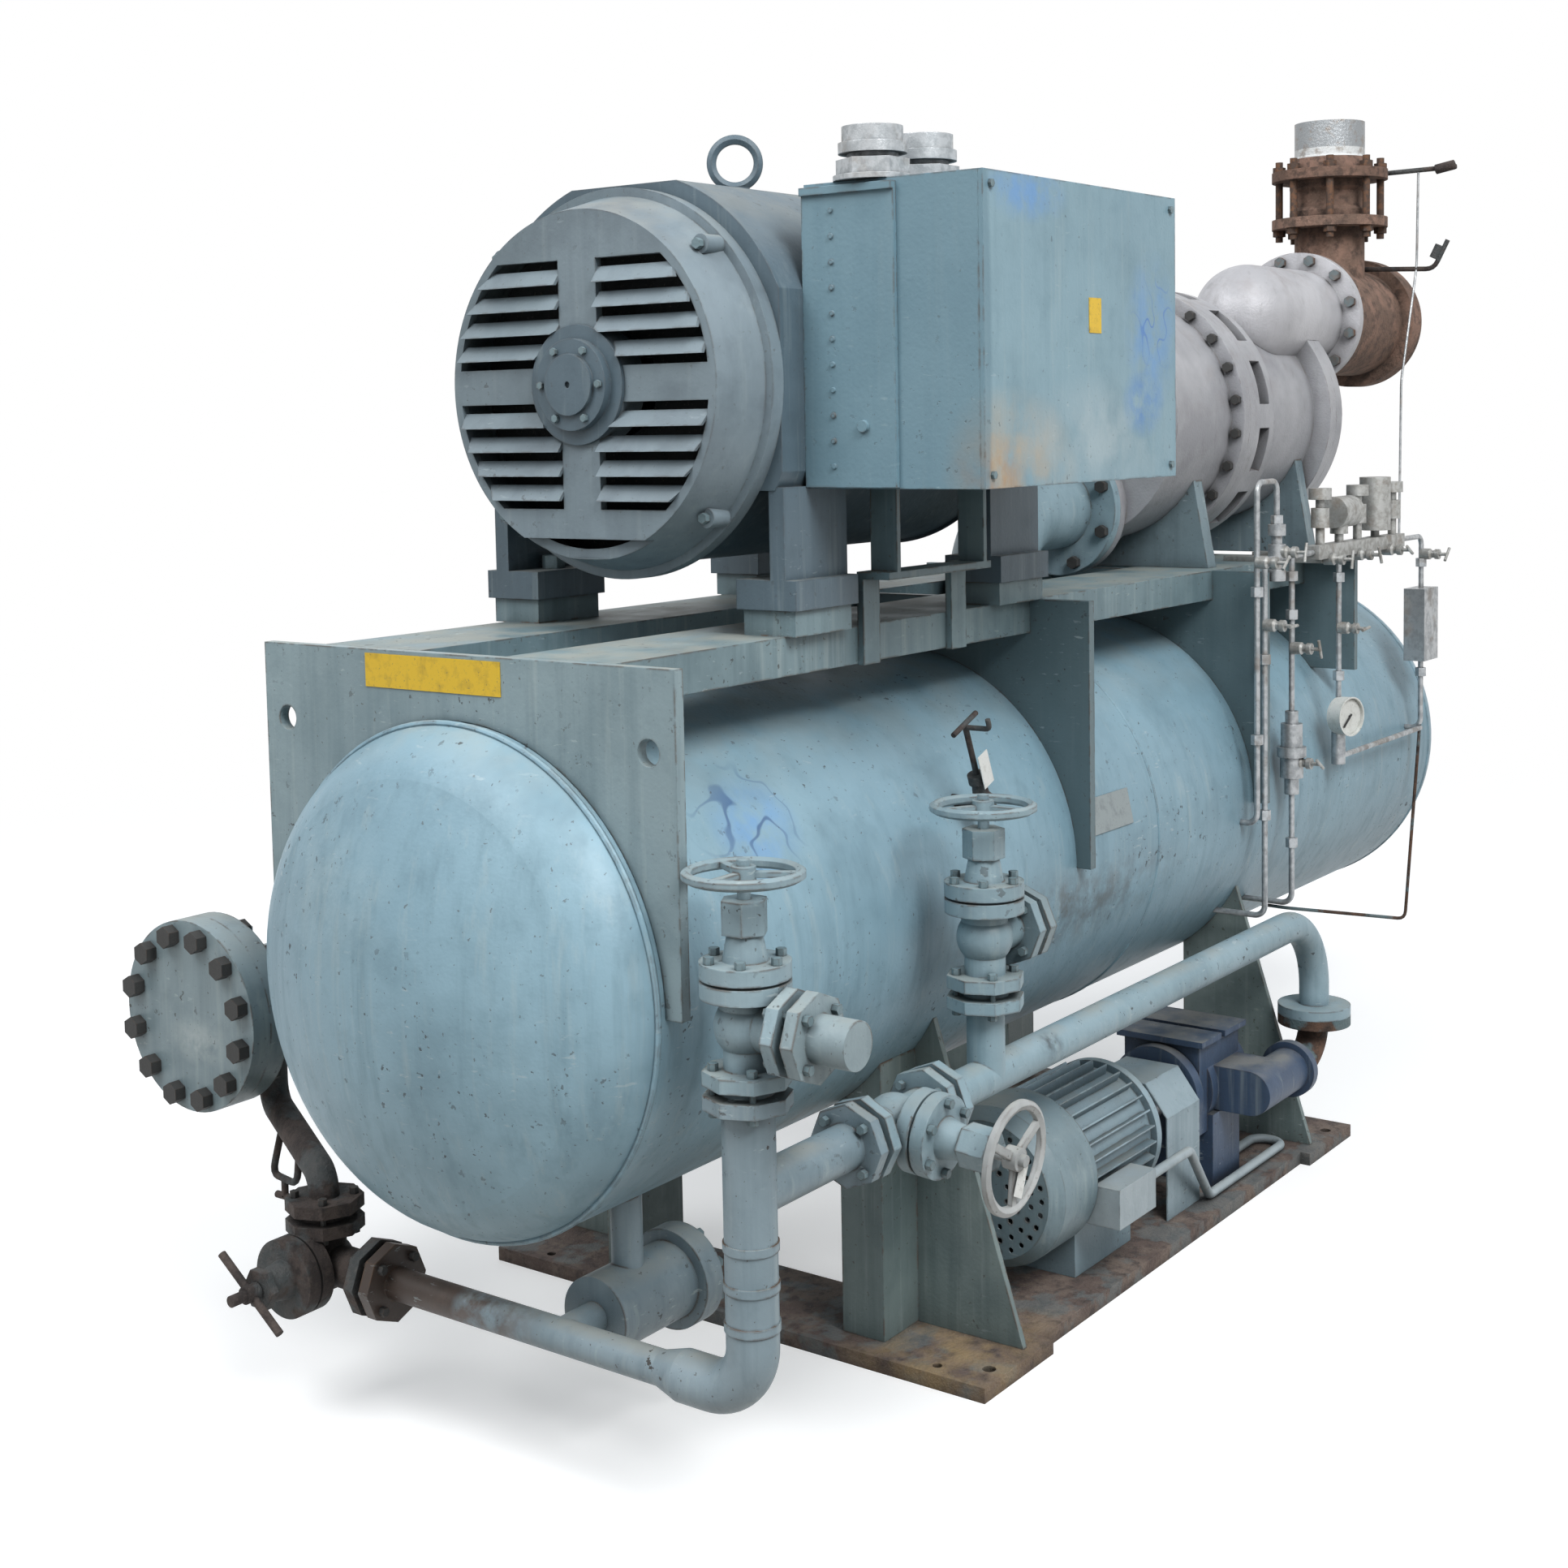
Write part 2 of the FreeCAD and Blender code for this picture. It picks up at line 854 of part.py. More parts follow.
full_drop = size.saddle_top - size.vessel_height
front_station = size.vessel_start - size.plate_thickness
saddles = group(
    "saddles",
    saddle("front_saddle", front_station, full_drop, False),
    saddle("saddle_2", size.saddle_station_2, full_drop, True),
    saddle("saddle_3", size.saddle_station_3, full_drop, True),
    saddle("saddle_4", size.saddle_station_4, size.saddle_drop_4, True),
)
node(saddles, "saddle_plates")

# Rails, as channels lying open side down

rail_start = station(size.vessel_start)
rail_length = size.saddle_station_4 + size.plate_thickness - size.vessel_start


def rail(name, edge):
    """One channel rail; edge is -1 on the operator's side."""
    near = size.rail_inner * edge
    far = (size.rail_inner + size.rail_width) * edge
    wall = size.rail_wall * edge
    top = size.saddle_top
    floor = top - size.rail_depth
    skin = top - size.rail_wall
    outline = [
        (near, top), (near, floor), (near + wall, floor), (near + wall, skin),
        (far - wall, skin), (far - wall, floor), (far, floor), (far, top),
    ]
    return plate(name, (rail_start, dim(0), dim(0)), "x", rail_length, outline)


rails = (rail("rail_near", -1), rail("rail_far", 1))

# Base plates and stands

cross_outer = size.anchor_spacing_x / 2 + size.anchor_margin
cross_half = size.cross_plate_half_length


def cross_plate(name, edge):
    """An end plate of the base with its anchor and jacking holes; edge is -1 in front."""
    outer = cross_outer * edge
    inner = (cross_outer - size.cross_plate_width) * edge
    low, high = (outer, inner) if edge == -1 else (inner, outer)
    outline = [(low, -cross_half), (high, -cross_half), (high, cross_half), (low, cross_half)]
    holes = []
    for side in (-1, 1):
        anchor = size.anchor_spacing_y / 2 * side
        jack = size.jack_spacing_y / 2 * side
        holes.append((size.anchor_spacing_x / 2 * edge, anchor, size.anchor_hole_radius))
        holes.append((size.jack_spacing_x / 2 * edge, jack, size.jack_hole_radius))
    return plate(name, (dim(0), dim(0), dim(0)), "z", size.base_thickness, outline, holes)


side_span = cross_outer - size.cross_plate_width
side_edge = cross_half - size.side_plate_inset
node(
    group(
        "plates",
        cross_plate("front_cross_plate", -1),
        cross_plate("rear_cross_plate", 1),
        box("side_plate", (-side_span, -side_edge, dim(0)),
            (side_span, size.side_plate_width - side_edge, size.base_thickness)),
    ),
    "base_plates",
)


def stand(name, edge):
    """Two tapered wings with a square column inside each; edge is -1 in front."""
    foot = size.base_thickness
    r = size.vessel_radius
    top_drop = root_of(r * r - size.wing_top_half * size.wing_top_half)
    wing_top = size.vessel_height - top_drop
    inner = size.column_inner
    head = size.vessel_height
    wing_x = (cross_outer - size.wing_offset - size.column_depth) * edge
    if edge == 1:
        wing_x = wing_x - size.wing_thickness
    column_x = wing_x - size.column_depth if edge == -1 else wing_x + size.wing_thickness
    pieces = []
    for side in (-1, 1):
        outline = [
            (inner * side, foot), (size.wing_foot_half * side, foot),
            (size.wing_top_half * side, wing_top), (size.wing_top_half * side, head),
            (inner * side, head),
        ]
        label = f"{name}_{'near' if side == -1 else 'far'}"
        wing = plate(f"{label}_wing", (wing_x, dim(0), dim(0)), "x", size.wing_thickness, outline)
        outer_y = (inner + size.column_width) * side
        low_y, high_y = (outer_y, inner * side) if side == -1 else (inner * side, outer_y)
        wall = size.column_wall
        tube = cut(
            f"{label}_tube",
            box(f"{label}_tube_outer", (column_x, low_y, foot),
                (column_x + size.column_depth, high_y, head)),
            box(f"{label}_tube_inner", (column_x + wall, low_y + wall, foot - 1),
                (column_x + size.column_depth - wall, high_y - wall, head + 1)),
        )
        whole = fuse(f"{label}_legs", wing, tube)
        shell = cylinder(
            f"{label}_shell", (column_x - size.column_depth, dim(0), size.vessel_height), X_UP,
            size.vessel_radius, size.column_depth * 3,
        )
        pieces.append(cut(f"{label}_stand", whole, shell))
    return pieces


node(group("stand_parts", *stand("front_stand", -1), *stand("rear_stand", 1)), "stands")

# Drive motor

mid_z = size.saddle_top + size.ring_radius + size.casing_floor_gap
axis_z = mid_z + size.rotor_centre_distance / 2
centre_y = dim(0)
foot_bottom = size.saddle_top + size.riser_height


def prism(name, corner, facing, thickness, outlines):
    """Closed outlines in one sketch, extruded together."""
    sketch = doc.addObject("Sketcher::SketchObject", f"{name}_outline")
    for outline in outlines:
        polygon(sketch, outline)
    put(sketch, corner, FACING[facing])
    thing = doc.addObject("Part::Extrusion", name)
    thing.Base = sketch
    thing.DirMode = "Normal"
    thing.Solid = True
    bind(thing, LengthFwd=thickness)
    return thing


def common(name, base, tool):
    """What two solids share."""
    thing = doc.addObject("Part::Common", name)
    thing.Base = base
    thing.Tool = tool
    return thing


frame_x = station(size.motor_frame_start)
frame_length = size.motor_frame_end - size.motor_frame_start
upper_round = cylinder("frame_round", (frame_x, centre_y, axis_z), X_UP,
                       size.motor_half_width * 1.1, frame_length)
upper_box = box(
    "frame_sides",
    (frame_x, -size.motor_half_width, axis_z - size.motor_side_drop),
    (frame_x + frame_length, size.motor_half_width, axis_z + size.motor_half_height),
)
upper_frame = common("frame_upper", upper_round, upper_box)
lower_frame = cylinder("frame_barrel", (frame_x, centre_y, axis_z), X_UP,
                       size.stator_outer + size.motor_wall, frame_length)
feet = []
for number, start in enumerate((size.foot_start, size.foot_start + size.foot_pitch), start=1):
    x = station(start) + 4
    for side in (-1, 1):
        low_y, high_y = sorted((size.foot_inner * side, size.foot_outer * side), key=float)
        label = f"foot_{number}_{'near' if side == -1 else 'far'}"
        feet.append(box(label, (x, low_y, foot_bottom),
                        (x + size.foot_length, high_y, foot_bottom + size.foot_thickness)))
        web_outer = size.motor_half_width * side
        web_inner = (size.motor_half_width - size.motor_wall * 2) * side
        low_y, high_y = sorted((web_inner, web_outer), key=float)
        feet.append(box(f"{label}_web", (x, low_y, foot_bottom),
                        (x + size.foot_length, high_y, axis_z - size.motor_side_drop + 5)))
frame_outer = fuse("frame_outer", upper_frame, lower_frame, *feet)
frame_bore = cylinder("frame_bore", (frame_x - 1, centre_y, axis_z), X_UP,
                      size.stator_outer, frame_length + 2)
node(cut("frame_cut", frame_outer, frame_bore), "motor_frame")

risers = []
for number, start in enumerate((size.foot_start, size.foot_start + size.foot_pitch), start=1):
    x = station(start) + 4 + size.riser_inset
    for side in (-1, 1):
        low_y, high_y = sorted(
            ((size.foot_inner + size.riser_inset) * side,
             (size.foot_outer - size.riser_inset) * side), key=float)
        label = f"riser_{number}_{'near' if side == -1 else 'far'}"
        risers.append(box(label, (x, low_y, size.saddle_top),
                          (x + size.foot_length - size.riser_inset * 2, high_y, foot_bottom)))
node(group("rails_and_risers", *rails, *risers), "mounting_rails")

# Louvred front end bell: a turned shell whose face is opened for sloping blades

face_x = station(size.motor_face_station)
bell_depth = size.motor_frame_start - size.motor_face_station
ring_start = bell_depth - size.motor_ring_width
wall = size.bell_wall
hub_depth = size.bearing_width + wall / 2
bell_shell = turned(
    "bell_shell", (face_x, centre_y, axis_z), X_UP,
    [
        (dim(0), size.bearing_outer),
        (dim(0), size.motor_face_radius),
        (ring_start, size.motor_ring_radius - wall),
        (ring_start, size.motor_ring_radius),
        (bell_depth, size.motor_ring_radius),
        (bell_depth, size.motor_ring_radius - wall * 2),
        (ring_start, size.motor_ring_radius - wall * 2),
        (wall, size.motor_face_radius - wall),
        (wall, size.hub_radius),
        (hub_depth, size.hub_radius),
        (hub_depth, size.bearing_outer),
    ],
)
slot_half = size.louvre_slot / 2
window_low = size.louvre_first - slot_half
window_high = size.louvre_first + size.louvre_pitch * (size.louvre_count - 1) + slot_half
reach = size.motor_face_radius
windows = prism(
    "bell_windows", (face_x - 1, centre_y, dim(0)), "x", wall + 2,
    [
        [(near * side, axis_z + low), (far * side, axis_z + low),
         (far * side, axis_z + high), (near * side, axis_z + high)]
        for near, far in ((size.louvre_half_bar, reach),)
        for side in (-1, 1)
        for low, high in ((window_low, window_high), (-window_high, -window_low))
    ],
)
blades = []
for sign in (-1, 1):
    for index in range(int(size.louvre_count.number) - 1):
        centre = size.louvre_first + size.louvre_pitch * (index + 0.5)
        half = size.louvre_pitch / 2 - slot_half
        low = axis_z + centre * sign - half
        high = axis_z + centre * sign + half
        front = face_x - size.blade_rise
        blades.append([
            (front, low), (front + wall / 2, low), (face_x + wall, high), (face_x + wall / 2, high),
        ])
blade_bank = prism("bell_blades", (dim(0), reach, dim(0)), "y", reach * 2, blades)
rim_round = cylinder("bell_rim", (face_x - size.blade_rise - 1, centre_y, axis_z), X_UP,
                     size.motor_face_radius - size.louvre_rim, size.blade_rise + wall + 2)
hub_round = cylinder("bell_hub", (face_x - size.blade_rise - 1, centre_y, axis_z), X_UP,
                     size.hub_radius, size.blade_rise + wall + 2)
bar = box(
    "bell_bar",
    (face_x - size.blade_rise - 2, -size.louvre_half_bar, axis_z - reach),
    (face_x + wall + 2, size.louvre_half_bar, axis_z + reach),
)
window_round = common("bell_window_round", windows, rim_round)
window_tool = cut("bell_window_tool", window_round, hub_round)
blades_round = common("bell_blades_round", blade_bank, rim_round)
blades_clear = cut("bell_blades_clear", blades_round, hub_round, bar)
chord = box(
    "bell_chord",
    (face_x - 1, -reach, axis_z - reach - 1),
    (face_x + wall, reach, axis_z - size.motor_face_chord),
)
bell_open = cut("bell_open", bell_shell, window_tool, chord)
lug_x = face_x + ring_start - size.lug_length
lugs = [
    cylinder(f"bell_lug_{number}", (lug_x, dim(spot.y), axis_z + (spot.z - axis_z.number)), X_UP,
             size.lug_radius, size.lug_length + size.motor_ring_width / 2)
    for number, spot in enumerate(
        ring_of_places((lug_x, centre_y, axis_z), X_UP, size.lug_circle, 4, 45), start=1)
]
node(fuse("bell_whole", bell_open, blades_clear, *lugs), "motor_front_end_bell")
bolt_shapes += bolt_ring((lug_x, centre_y, axis_z), X_DOWN, size.lug_circle, 4,
                          size.lug_bolt_size, size.lug_bolt_height, 45)

rear_x = station(size.motor_frame_end)
rear_depth = size.motor_rear_end - size.motor_frame_end
node(
    turned(
        "rear_bell", (rear_x, centre_y, axis_z), X_UP,
        [
            (dim(0), size.motor_ring_radius - wall * 2),
            (dim(0), size.motor_ring_radius - wall),
            (rear_depth, size.motor_rear_radius),
            (rear_depth, size.bearing_outer),
            (rear_depth - hub_depth, size.bearing_outer),
            (rear_depth - hub_depth, size.hub_radius),
            (rear_depth - wall, size.hub_radius),
            (rear_depth - wall, size.motor_rear_radius - wall),
        ],
    ),
    "motor_rear_end_bell",
)
cap = turned(
    "cap", (face_x, centre_y, axis_z), X_DOWN,
    [
        (dim(0), dim(0)), (dim(0), size.hub_radius), (wall / 2, size.hub_radius),
        (wall / 2, size.cap_radius), (wall * 1.5, size.cap_radius),
        (wall * 1.5, size.cap_boss_radius), (wall * 2, size.cap_boss_radius),
        (wall * 2, dim(0)),
    ],
)
dimple = cylinder("cap_dimple", (face_x - wall * 2 - 1, centre_y, axis_z), X_UP, size.cap_dimple,
                  size.cap_dimple + 1)
node(cut("cap_cut", cap, dimple), "motor_bearing_cap")
stator_x = station((size.motor_frame_start + size.motor_frame_end - size.stator_length) / 2)
node(
    turned(
        "stator", (stator_x, centre_y, axis_z), X_UP,
        [(dim(0), size.stator_bore), (dim(0), size.stator_outer),
         (size.stator_length, size.stator_outer), (size.stator_length, size.stator_bore)],
    ),
    "motor_stator",
)
shaft_x = face_x + wall / 2
core_start = stator_x - shaft_x
coupling_x = station(size.coupling_start)
motor_shaft = turned(
    "motor_shaft", (shaft_x, centre_y, axis_z), X_UP,
    step_profile(
        (core_start, size.shaft_radius),
        (size.stator_length, size.stator_bore - size.rotor_gap),
        (coupling_x - shaft_x - core_start - size.stator_length, size.shaft_radius),
    ),
)
eye_x = station(size.eye_station)
eye_base = axis_z + size.motor_half_height
eye_centre = eye_base + size.eye_collar_radius * 0.4 + size.eye_ring_radius + size.eye_bar_radius
eye_profile = []
for index in range(6):
    angle = 60 * index
    eye_profile.append((size.eye_bar_radius * math.cos(math.radians(angle)),
                        size.eye_ring_radius + size.eye_bar_radius * math.sin(math.radians(angle))))
eye_ring = turned("eye_ring", (eye_x, centre_y, eye_centre), Vector(0.81, 0.58, 0), eye_profile)
eye_collar = cylinder("eye_collar", (eye_x, centre_y, eye_base), Z_UP, size.eye_collar_radius,
                      size.eye_collar_radius * 0.7)
node(fuse("eye", eye_ring, eye_collar), "motor_eye_bolt")

for start in (size.foot_start, size.foot_start + size.foot_pitch):
    for side in (-1, 1):
        spot = Vector(float(station(start) + 4 + size.foot_length / 2),
                      side * float(size.foot_inner + 40), float(foot_bottom + size.foot_thickness))
        bolt_shapes.append(hex_head(spot, Z_UP, size.foot_bolt_size, size.foot_bolt_height))
cap_circle = (size.cap_radius + size.cap_boss_radius) / 2
cap_face = (face_x - wall * 1.5, centre_y, axis_z)
bolt_shapes += bolt_ring(cap_face, X_DOWN, cap_circle, 6, 11, 6, 30)

# Terminal box with its covers, conduit hubs and the bracket that clamps it to the rail

box_x = station(size.box_start)
box_end = box_x + size.box_length
box_inner_y = -size.motor_half_width
box_outer_y = size.cover_thickness - size.box_outer
box_top = size.box_bottom + size.box_height
sheet_wall = size.box_wall
node(
    cut(
        "terminal_shell",
        box("terminal_outer", (box_x, box_outer_y, size.box_bottom), (box_end, box_inner_y, box_top)),
        box("terminal_inner",
            (box_x + sheet_wall, box_outer_y + sheet_wall, size.box_bottom + sheet_wall),
            (box_end - sheet_wall, box_inner_y - sheet_wall, box_top - sheet_wall)),
    ),
    "terminal_box",
)
front_cover = box(
    "front_cover",
    (box_x - size.cover_thickness, box_inner_y - size.cover_width, size.box_bottom + 2),
    (box_x, box_inner_y, box_top - 6),
)
side_cover = box("side_cover", (box_x, -size.box_outer, size.box_bottom),
                 (box_end, box_outer_y, box_top))
cover_face = box_x - size.cover_thickness
lip = size.cover_lip
details = [
    box("cover_top_lip", (cover_face - lip, box_inner_y - size.cover_width, box_top - lip * 3),
        (cover_face, box_inner_y, box_top - lip)),
    cylinder("cover_knob", (cover_face - lip, -size.cover_knob_y, box_top - size.cover_knob_drop),
             X_UP, size.cover_knob_radius, lip),
]
for index in range(11):
    button_z = box_top - lip - size.cover_button_first - size.cover_button_pitch * index
    details.append(cylinder(f"cover_button_{index + 1}", (cover_face - lip / 2, -size.cover_button_y,
                                                          button_z), X_UP,
                            size.cover_button_radius, lip / 2))
node(group("covers", fuse("front_cover_whole", front_cover, *details), side_cover),
     "terminal_box_covers")
inset = float(size.cover_screw_inset)
for x in (float(box_x) + inset, float(box_end) - inset):
    for z in (float(size.box_bottom) + inset, float(box_top) - inset):
        bolt_shapes.append(hex_head(Vector(x, -float(size.box_outer), z), Y_DOWN,
                                    size.cover_screw_size, size.cover_screw_height))
hubs = []
for index in range(2):
    x = station(size.hub_first + size.hub_pitch * index)
    r = size.hub_pipe_radius
    nut = doc.addObject("Part::Prism", f"hub_nut_{index + 1}")
    nut.Polygon = 6
    bind(nut, Circumradius=r * 1.2, Height=size.hub_height * 0.3)
    put(nut, (x, -size.hub_y, box_top + size.hub_height * 0.1))
    hubs.append(fuse(
        f"conduit_hub_{index + 1}",
        turned(
            f"hub_round_{index + 1}", (x, -size.hub_y, box_top), Z_UP,
            step_profile(
                (size.hub_height * 0.1, r * 1.3), (size.hub_height * 0.4, r * 0.84),
                (size.hub_height * 0.2, r * 1.12), (size.hub_height * 0.3, r),
            ),
        ),
        nut,
    ))
node(group("hubs", *hubs), "conduit_hubs")

rail_edge = size.rail_inner + size.rail_width
clamp_y = -rail_edge
shelf_low = size.saddle_top + size.clamp_rise - size.clamp_thickness
clamps = []
for index in range(2):
    x = station(size.clamp_first + size.clamp_pitch * index)
    clamps.append(box(
        f"clamp_{index + 1}",
        (x, clamp_y - size.clamp_thickness, size.saddle_top - size.clamp_drop),
        (x + size.clamp_width, clamp_y, size.saddle_top + size.clamp_rise),
    ))
shelf = box(
    "shelf",
    (station(size.clamp_first), clamp_y - size.clamp_thickness - size.post_depth, shelf_low),
    (station(size.clamp_first + size.clamp_pitch) + size.clamp_width,
     clamp_y - size.clamp_thickness, shelf_low + size.clamp_thickness),
)
posts = []
for index in range(2):
    x = station(size.clamp_first + size.clamp_pitch * index) + size.clamp_width / 2
    posts.append(box(
        f"post_{index + 1}",
        (x, clamp_y - size.clamp_thickness - size.post_depth, shelf_low + size.clamp_thickness),
        (x + size.post_thickness, clamp_y - size.clamp_thickness, size.box_bottom),
    ))
node(fuse("bracket", shelf, *clamps, *posts), "terminal_box_bracket")

# Screw compressor casings

male_z = axis_z
female_z = male_z - size.rotor_centre_distance
casing_start = size.discharge_flange_station + size.discharge_flange_width
casing_x = station(casing_start)
motor_end_x = station(size.motor_rear_end)
housing_length = casing_start - size.motor_rear_end
cw = size.casing_wall
neck_start = housing_length - size.coupling_neck_length
node(
    turned(
        "coupling_shell", (motor_end_x, centre_y, male_z), X_UP,
        [
            (dim(0), size.coupling_housing_radius - cw), (dim(0), size.coupling_flange_radius),
            (cw, size.coupling_flange_radius), (cw, size.coupling_housing_radius),
            (neck_start, size.coupling_housing_radius), (neck_start, size.coupling_neck_radius),
            (housing_length, size.coupling_neck_radius),
            (housing_length, size.coupling_neck_radius - cw),
            (neck_start - cw, size.coupling_neck_radius - cw),
            (neck_start - cw, size.coupling_housing_radius - cw),
        ],
    ),
    "coupling_housing",
)
ring_x = size.ring_station - casing_start
ring_end = size.ring_station + size.ring_width
r = size.discharge_casing_radius
discharge_barrel = turned(
    "discharge_barrel", (casing_x, centre_y, mid_z), X_UP,
    step_profile((ring_x, r), (size.ring_width, size.ring_radius)),
)
port_height = mid_z - size.discharge_drop
inlet_boss = turned(
    "inlet_boss", (casing_x - size.discharge_flange_width, centre_y, port_height), X_UP,
    step_profile((size.discharge_flange_width, size.discharge_flange_radius),
                 (ring_x * 0.4, size.discharge_radius + cw)),
)
discharge_outer = fuse("discharge_outer", discharge_barrel, inlet_boss)
end_wall = size.rotor_bearing_width + cw
discharge_cavity = cylinder("discharge_cavity", (casing_x + cw, centre_y, mid_z), X_UP, r - cw,
                            ring_end - casing_start - cw - end_wall)
shaft_hole = size.rotor_journal + size.shaft_hole_gap
seat = size.rotor_bearing_outer
holes = [
    cylinder("input_hole", (casing_x - 1, centre_y, male_z), X_UP, shaft_hole,
             ring_end - casing_start + 2),
    cylinder("female_hole", (station(ring_end) - end_wall - 1, centre_y, female_z), X_UP,
             shaft_hole, end_wall + 2),
]
for label, z in (("male", male_z), ("female", female_z)):
    holes.append(cylinder(f"{label}_seat", (station(ring_end) - size.rotor_bearing_width,
                                            centre_y, z), X_UP, seat, size.rotor_bearing_width + 1))
holes.append(cylinder("discharge_port",
                      (casing_x - size.discharge_flange_width - 1, centre_y, port_height), X_UP,
                      size.discharge_radius - size.stub_wall,
                      size.discharge_flange_width + cw + 2))
node(cut("discharge_casing_cut", discharge_outer, discharge_cavity, *holes), "discharge_casing")

rotor_x = station(ring_end) + size.rotor_end_gap
bore_length = size.rotor_length + size.rotor_end_gap * 2
casing_length = size.rotor_casing_end - ring_end
pitch_unit = size.rotor_centre_distance / (size.male_lobes + size.female_flutes)
male_pitch = pitch_unit * size.male_lobes
female_pitch = pitch_unit * size.female_flutes
male_tip = male_pitch + size.lobe_radius
slot_x = size.slot_ring_start - ring_end
r = size.rotor_casing_radius
rotor_outer = turned(
    "rotor_outer", (station(ring_end), centre_y, mid_z), X_UP,
    step_profile(
        (size.ring_width, size.ring_radius),
        (slot_x - size.ring_width, r),
        (size.slot_ring_width, size.slot_ring_radius),
        (casing_length - slot_x - size.slot_ring_width - size.end_ring_width, r),
        (size.end_ring_width, size.end_ring_radius),
    ),
)
slot_tools = []
slot_depth = float(size.slot_ring_radius - r)
pocket = float(size.slot_pocket_width)
for index in range(12):
    turn = FreeCAD.Rotation(X_UP, 30 * index + 15)
    block = Part.makeBox(float(size.slot_ring_width) * 0.5, pocket, slot_depth * 0.8,
                         Vector(float(station(size.slot_ring_start)) + float(size.slot_ring_width) / 4,
                                -pocket / 2, float(r) + slot_depth * 0.35))
    block.Placement = FreeCAD.Placement(Vector(0, 0, float(mid_z)), turn).multiply(block.Placement)
    slot_tools.append(block)
slot_tool = feature("slot_pockets", Part.makeCompound(slot_tools))
bore_end_x = station(ring_end) + bore_length
seat_start = bore_end_x + cw
tools = [
    slot_tool,
    cylinder("male_bore", (station(ring_end) - 1, centre_y, male_z), X_UP,
             male_tip + size.bore_clearance, bore_length + 1),
    cylinder("female_bore", (station(ring_end) - 1, centre_y, female_z), X_UP,
             female_pitch + size.bore_clearance, bore_length + 1),
    cylinder("slide_bore", (station(ring_end) - 1, size.slide_offset, male_z - size.slide_drop),
             X_UP, size.slide_radius + size.running_clearance, bore_length + 1),
    cylinder("rod_hole", (bore_end_x - 1, size.slide_offset, male_z - size.slide_drop), X_UP,
             size.slide_rod_radius + size.shaft_hole_gap, casing_length),
]
for label, z in (("male", male_z), ("female", female_z)):
    tools.append(cylinder(f"{label}_tail_hole", (bore_end_x - 1, centre_y, z), X_UP, shaft_hole,
                          cw + 2))
    tools.append(cylinder(f"{label}_tail_seat", (seat_start, centre_y, z), X_UP, seat,
                          casing_length))
suction_x = station(size.elbow_neck_station)
port_radius = size.stub_radius * 0.72
tools.append(cylinder("suction_port", (suction_x - size.stub_radius, -size.suction_y / 2, male_z),
                      Z_UP, port_radius, size.rotor_casing_radius * 2))
node(cut("rotor_casing_cut", rotor_outer, *tools), "rotor_casing")

cover_x = station(size.rotor_casing_end)
cover_length = size.end_cover_end - size.rotor_casing_end
slide_z = male_z - size.slide_drop
end_cover_outer = fuse(
    "end_cover_outer",
    turned("end_cover_round", (cover_x, centre_y, mid_z), X_UP,
           step_profile((size.end_ring_width, size.end_ring_radius),
                        (cover_length - size.end_ring_width, size.end_cover_radius))),
    cylinder("slide_cylinder", (cover_x, size.slide_offset, slide_z), X_UP,
             size.slide_cylinder_radius, size.slide_cylinder_end - size.rotor_casing_end),
)
piston_gap = 0.3
node(
    cut(
        "end_cover_cut", end_cover_outer,
        cylinder("slide_cylinder_bore", (cover_x - 1, size.slide_offset, slide_z), X_UP,
                 size.slide_piston_radius + piston_gap,
                 size.slide_cylinder_end - size.rotor_casing_end - cw + 1),
    ),
    "suction_end_cover",
)


def pedestal(name, at_station, radius):
    """A cross web under the casings, standing on both rails."""
    half = size.pedestal_half_width
    top = mid_z - radius * 0.4
    web = plate(name, (station(at_station), dim(0), dim(0)), "x", size.pedestal_length,
                [(-half, size.saddle_top), (half, size.saddle_top), (half * 0.85, top),
                 (-half * 0.85, top)])
    round_tool = cylinder(f"{name}_round", (station(at_station) - 1, centre_y, mid_z), X_UP,
                          radius, size.pedestal_length + 2)
    return cut(f"{name}_cut", web, round_tool)


node(
    group(
        "pedestals",
        pedestal("front_pedestal", size.pedestal_start, size.discharge_casing_radius),
        pedestal("rear_pedestal", size.rear_pedestal_start, size.rotor_casing_radius),
    ),
    "compressor_pedestals",
)

# Rotor pair, slide valve, coupling and bearings

def male_radius(angle):
    """The male profile: arcs centred on the pitch circle, down to the root circle."""
    lobes = int(float(size.male_lobes))
    step = 2 * math.pi / lobes
    turn = (angle + step / 2) % step - step / 2
    pitch, lobe = float(male_pitch), float(size.lobe_radius)
    root = pitch - float(size.rotor_clearance)
    inside = lobe * lobe - (pitch * math.sin(turn)) ** 2
    if inside <= 0 or abs(turn) > math.pi / 2:
        return root
    return max(root, pitch * math.cos(turn) + math.sqrt(inside))


def female_radii(count):
    """The female profile: what the male profile leaves free as the two roll together."""
    ratio = float(size.male_lobes) / float(size.female_flutes)
    centre = float(size.rotor_centre_distance)
    gap = float(size.rotor_clearance)
    flute = 2 * math.pi / float(size.female_flutes)
    limit = float(female_pitch) - gap / 2
    radii = [limit] * count
    width = flute / count
    for turn_step in range(-120, 121):
        roll = math.radians(turn_step * 0.5)
        for point_step in range(-150, 151):
            angle = math.radians(point_step * 0.4)
            reach = male_radius(angle) + gap
            x = centre - reach * math.cos(angle + roll)
            y = -reach * math.sin(angle + roll)
            direction = math.atan2(y, x) + roll * ratio
            distance = math.hypot(x, y)
            for slot in range(count):
                middle = (slot + 0.5) * width - flute / 2
                if abs(direction - middle) <= width * 0.75:
                    radii[slot] = min(radii[slot], distance)
    return radii


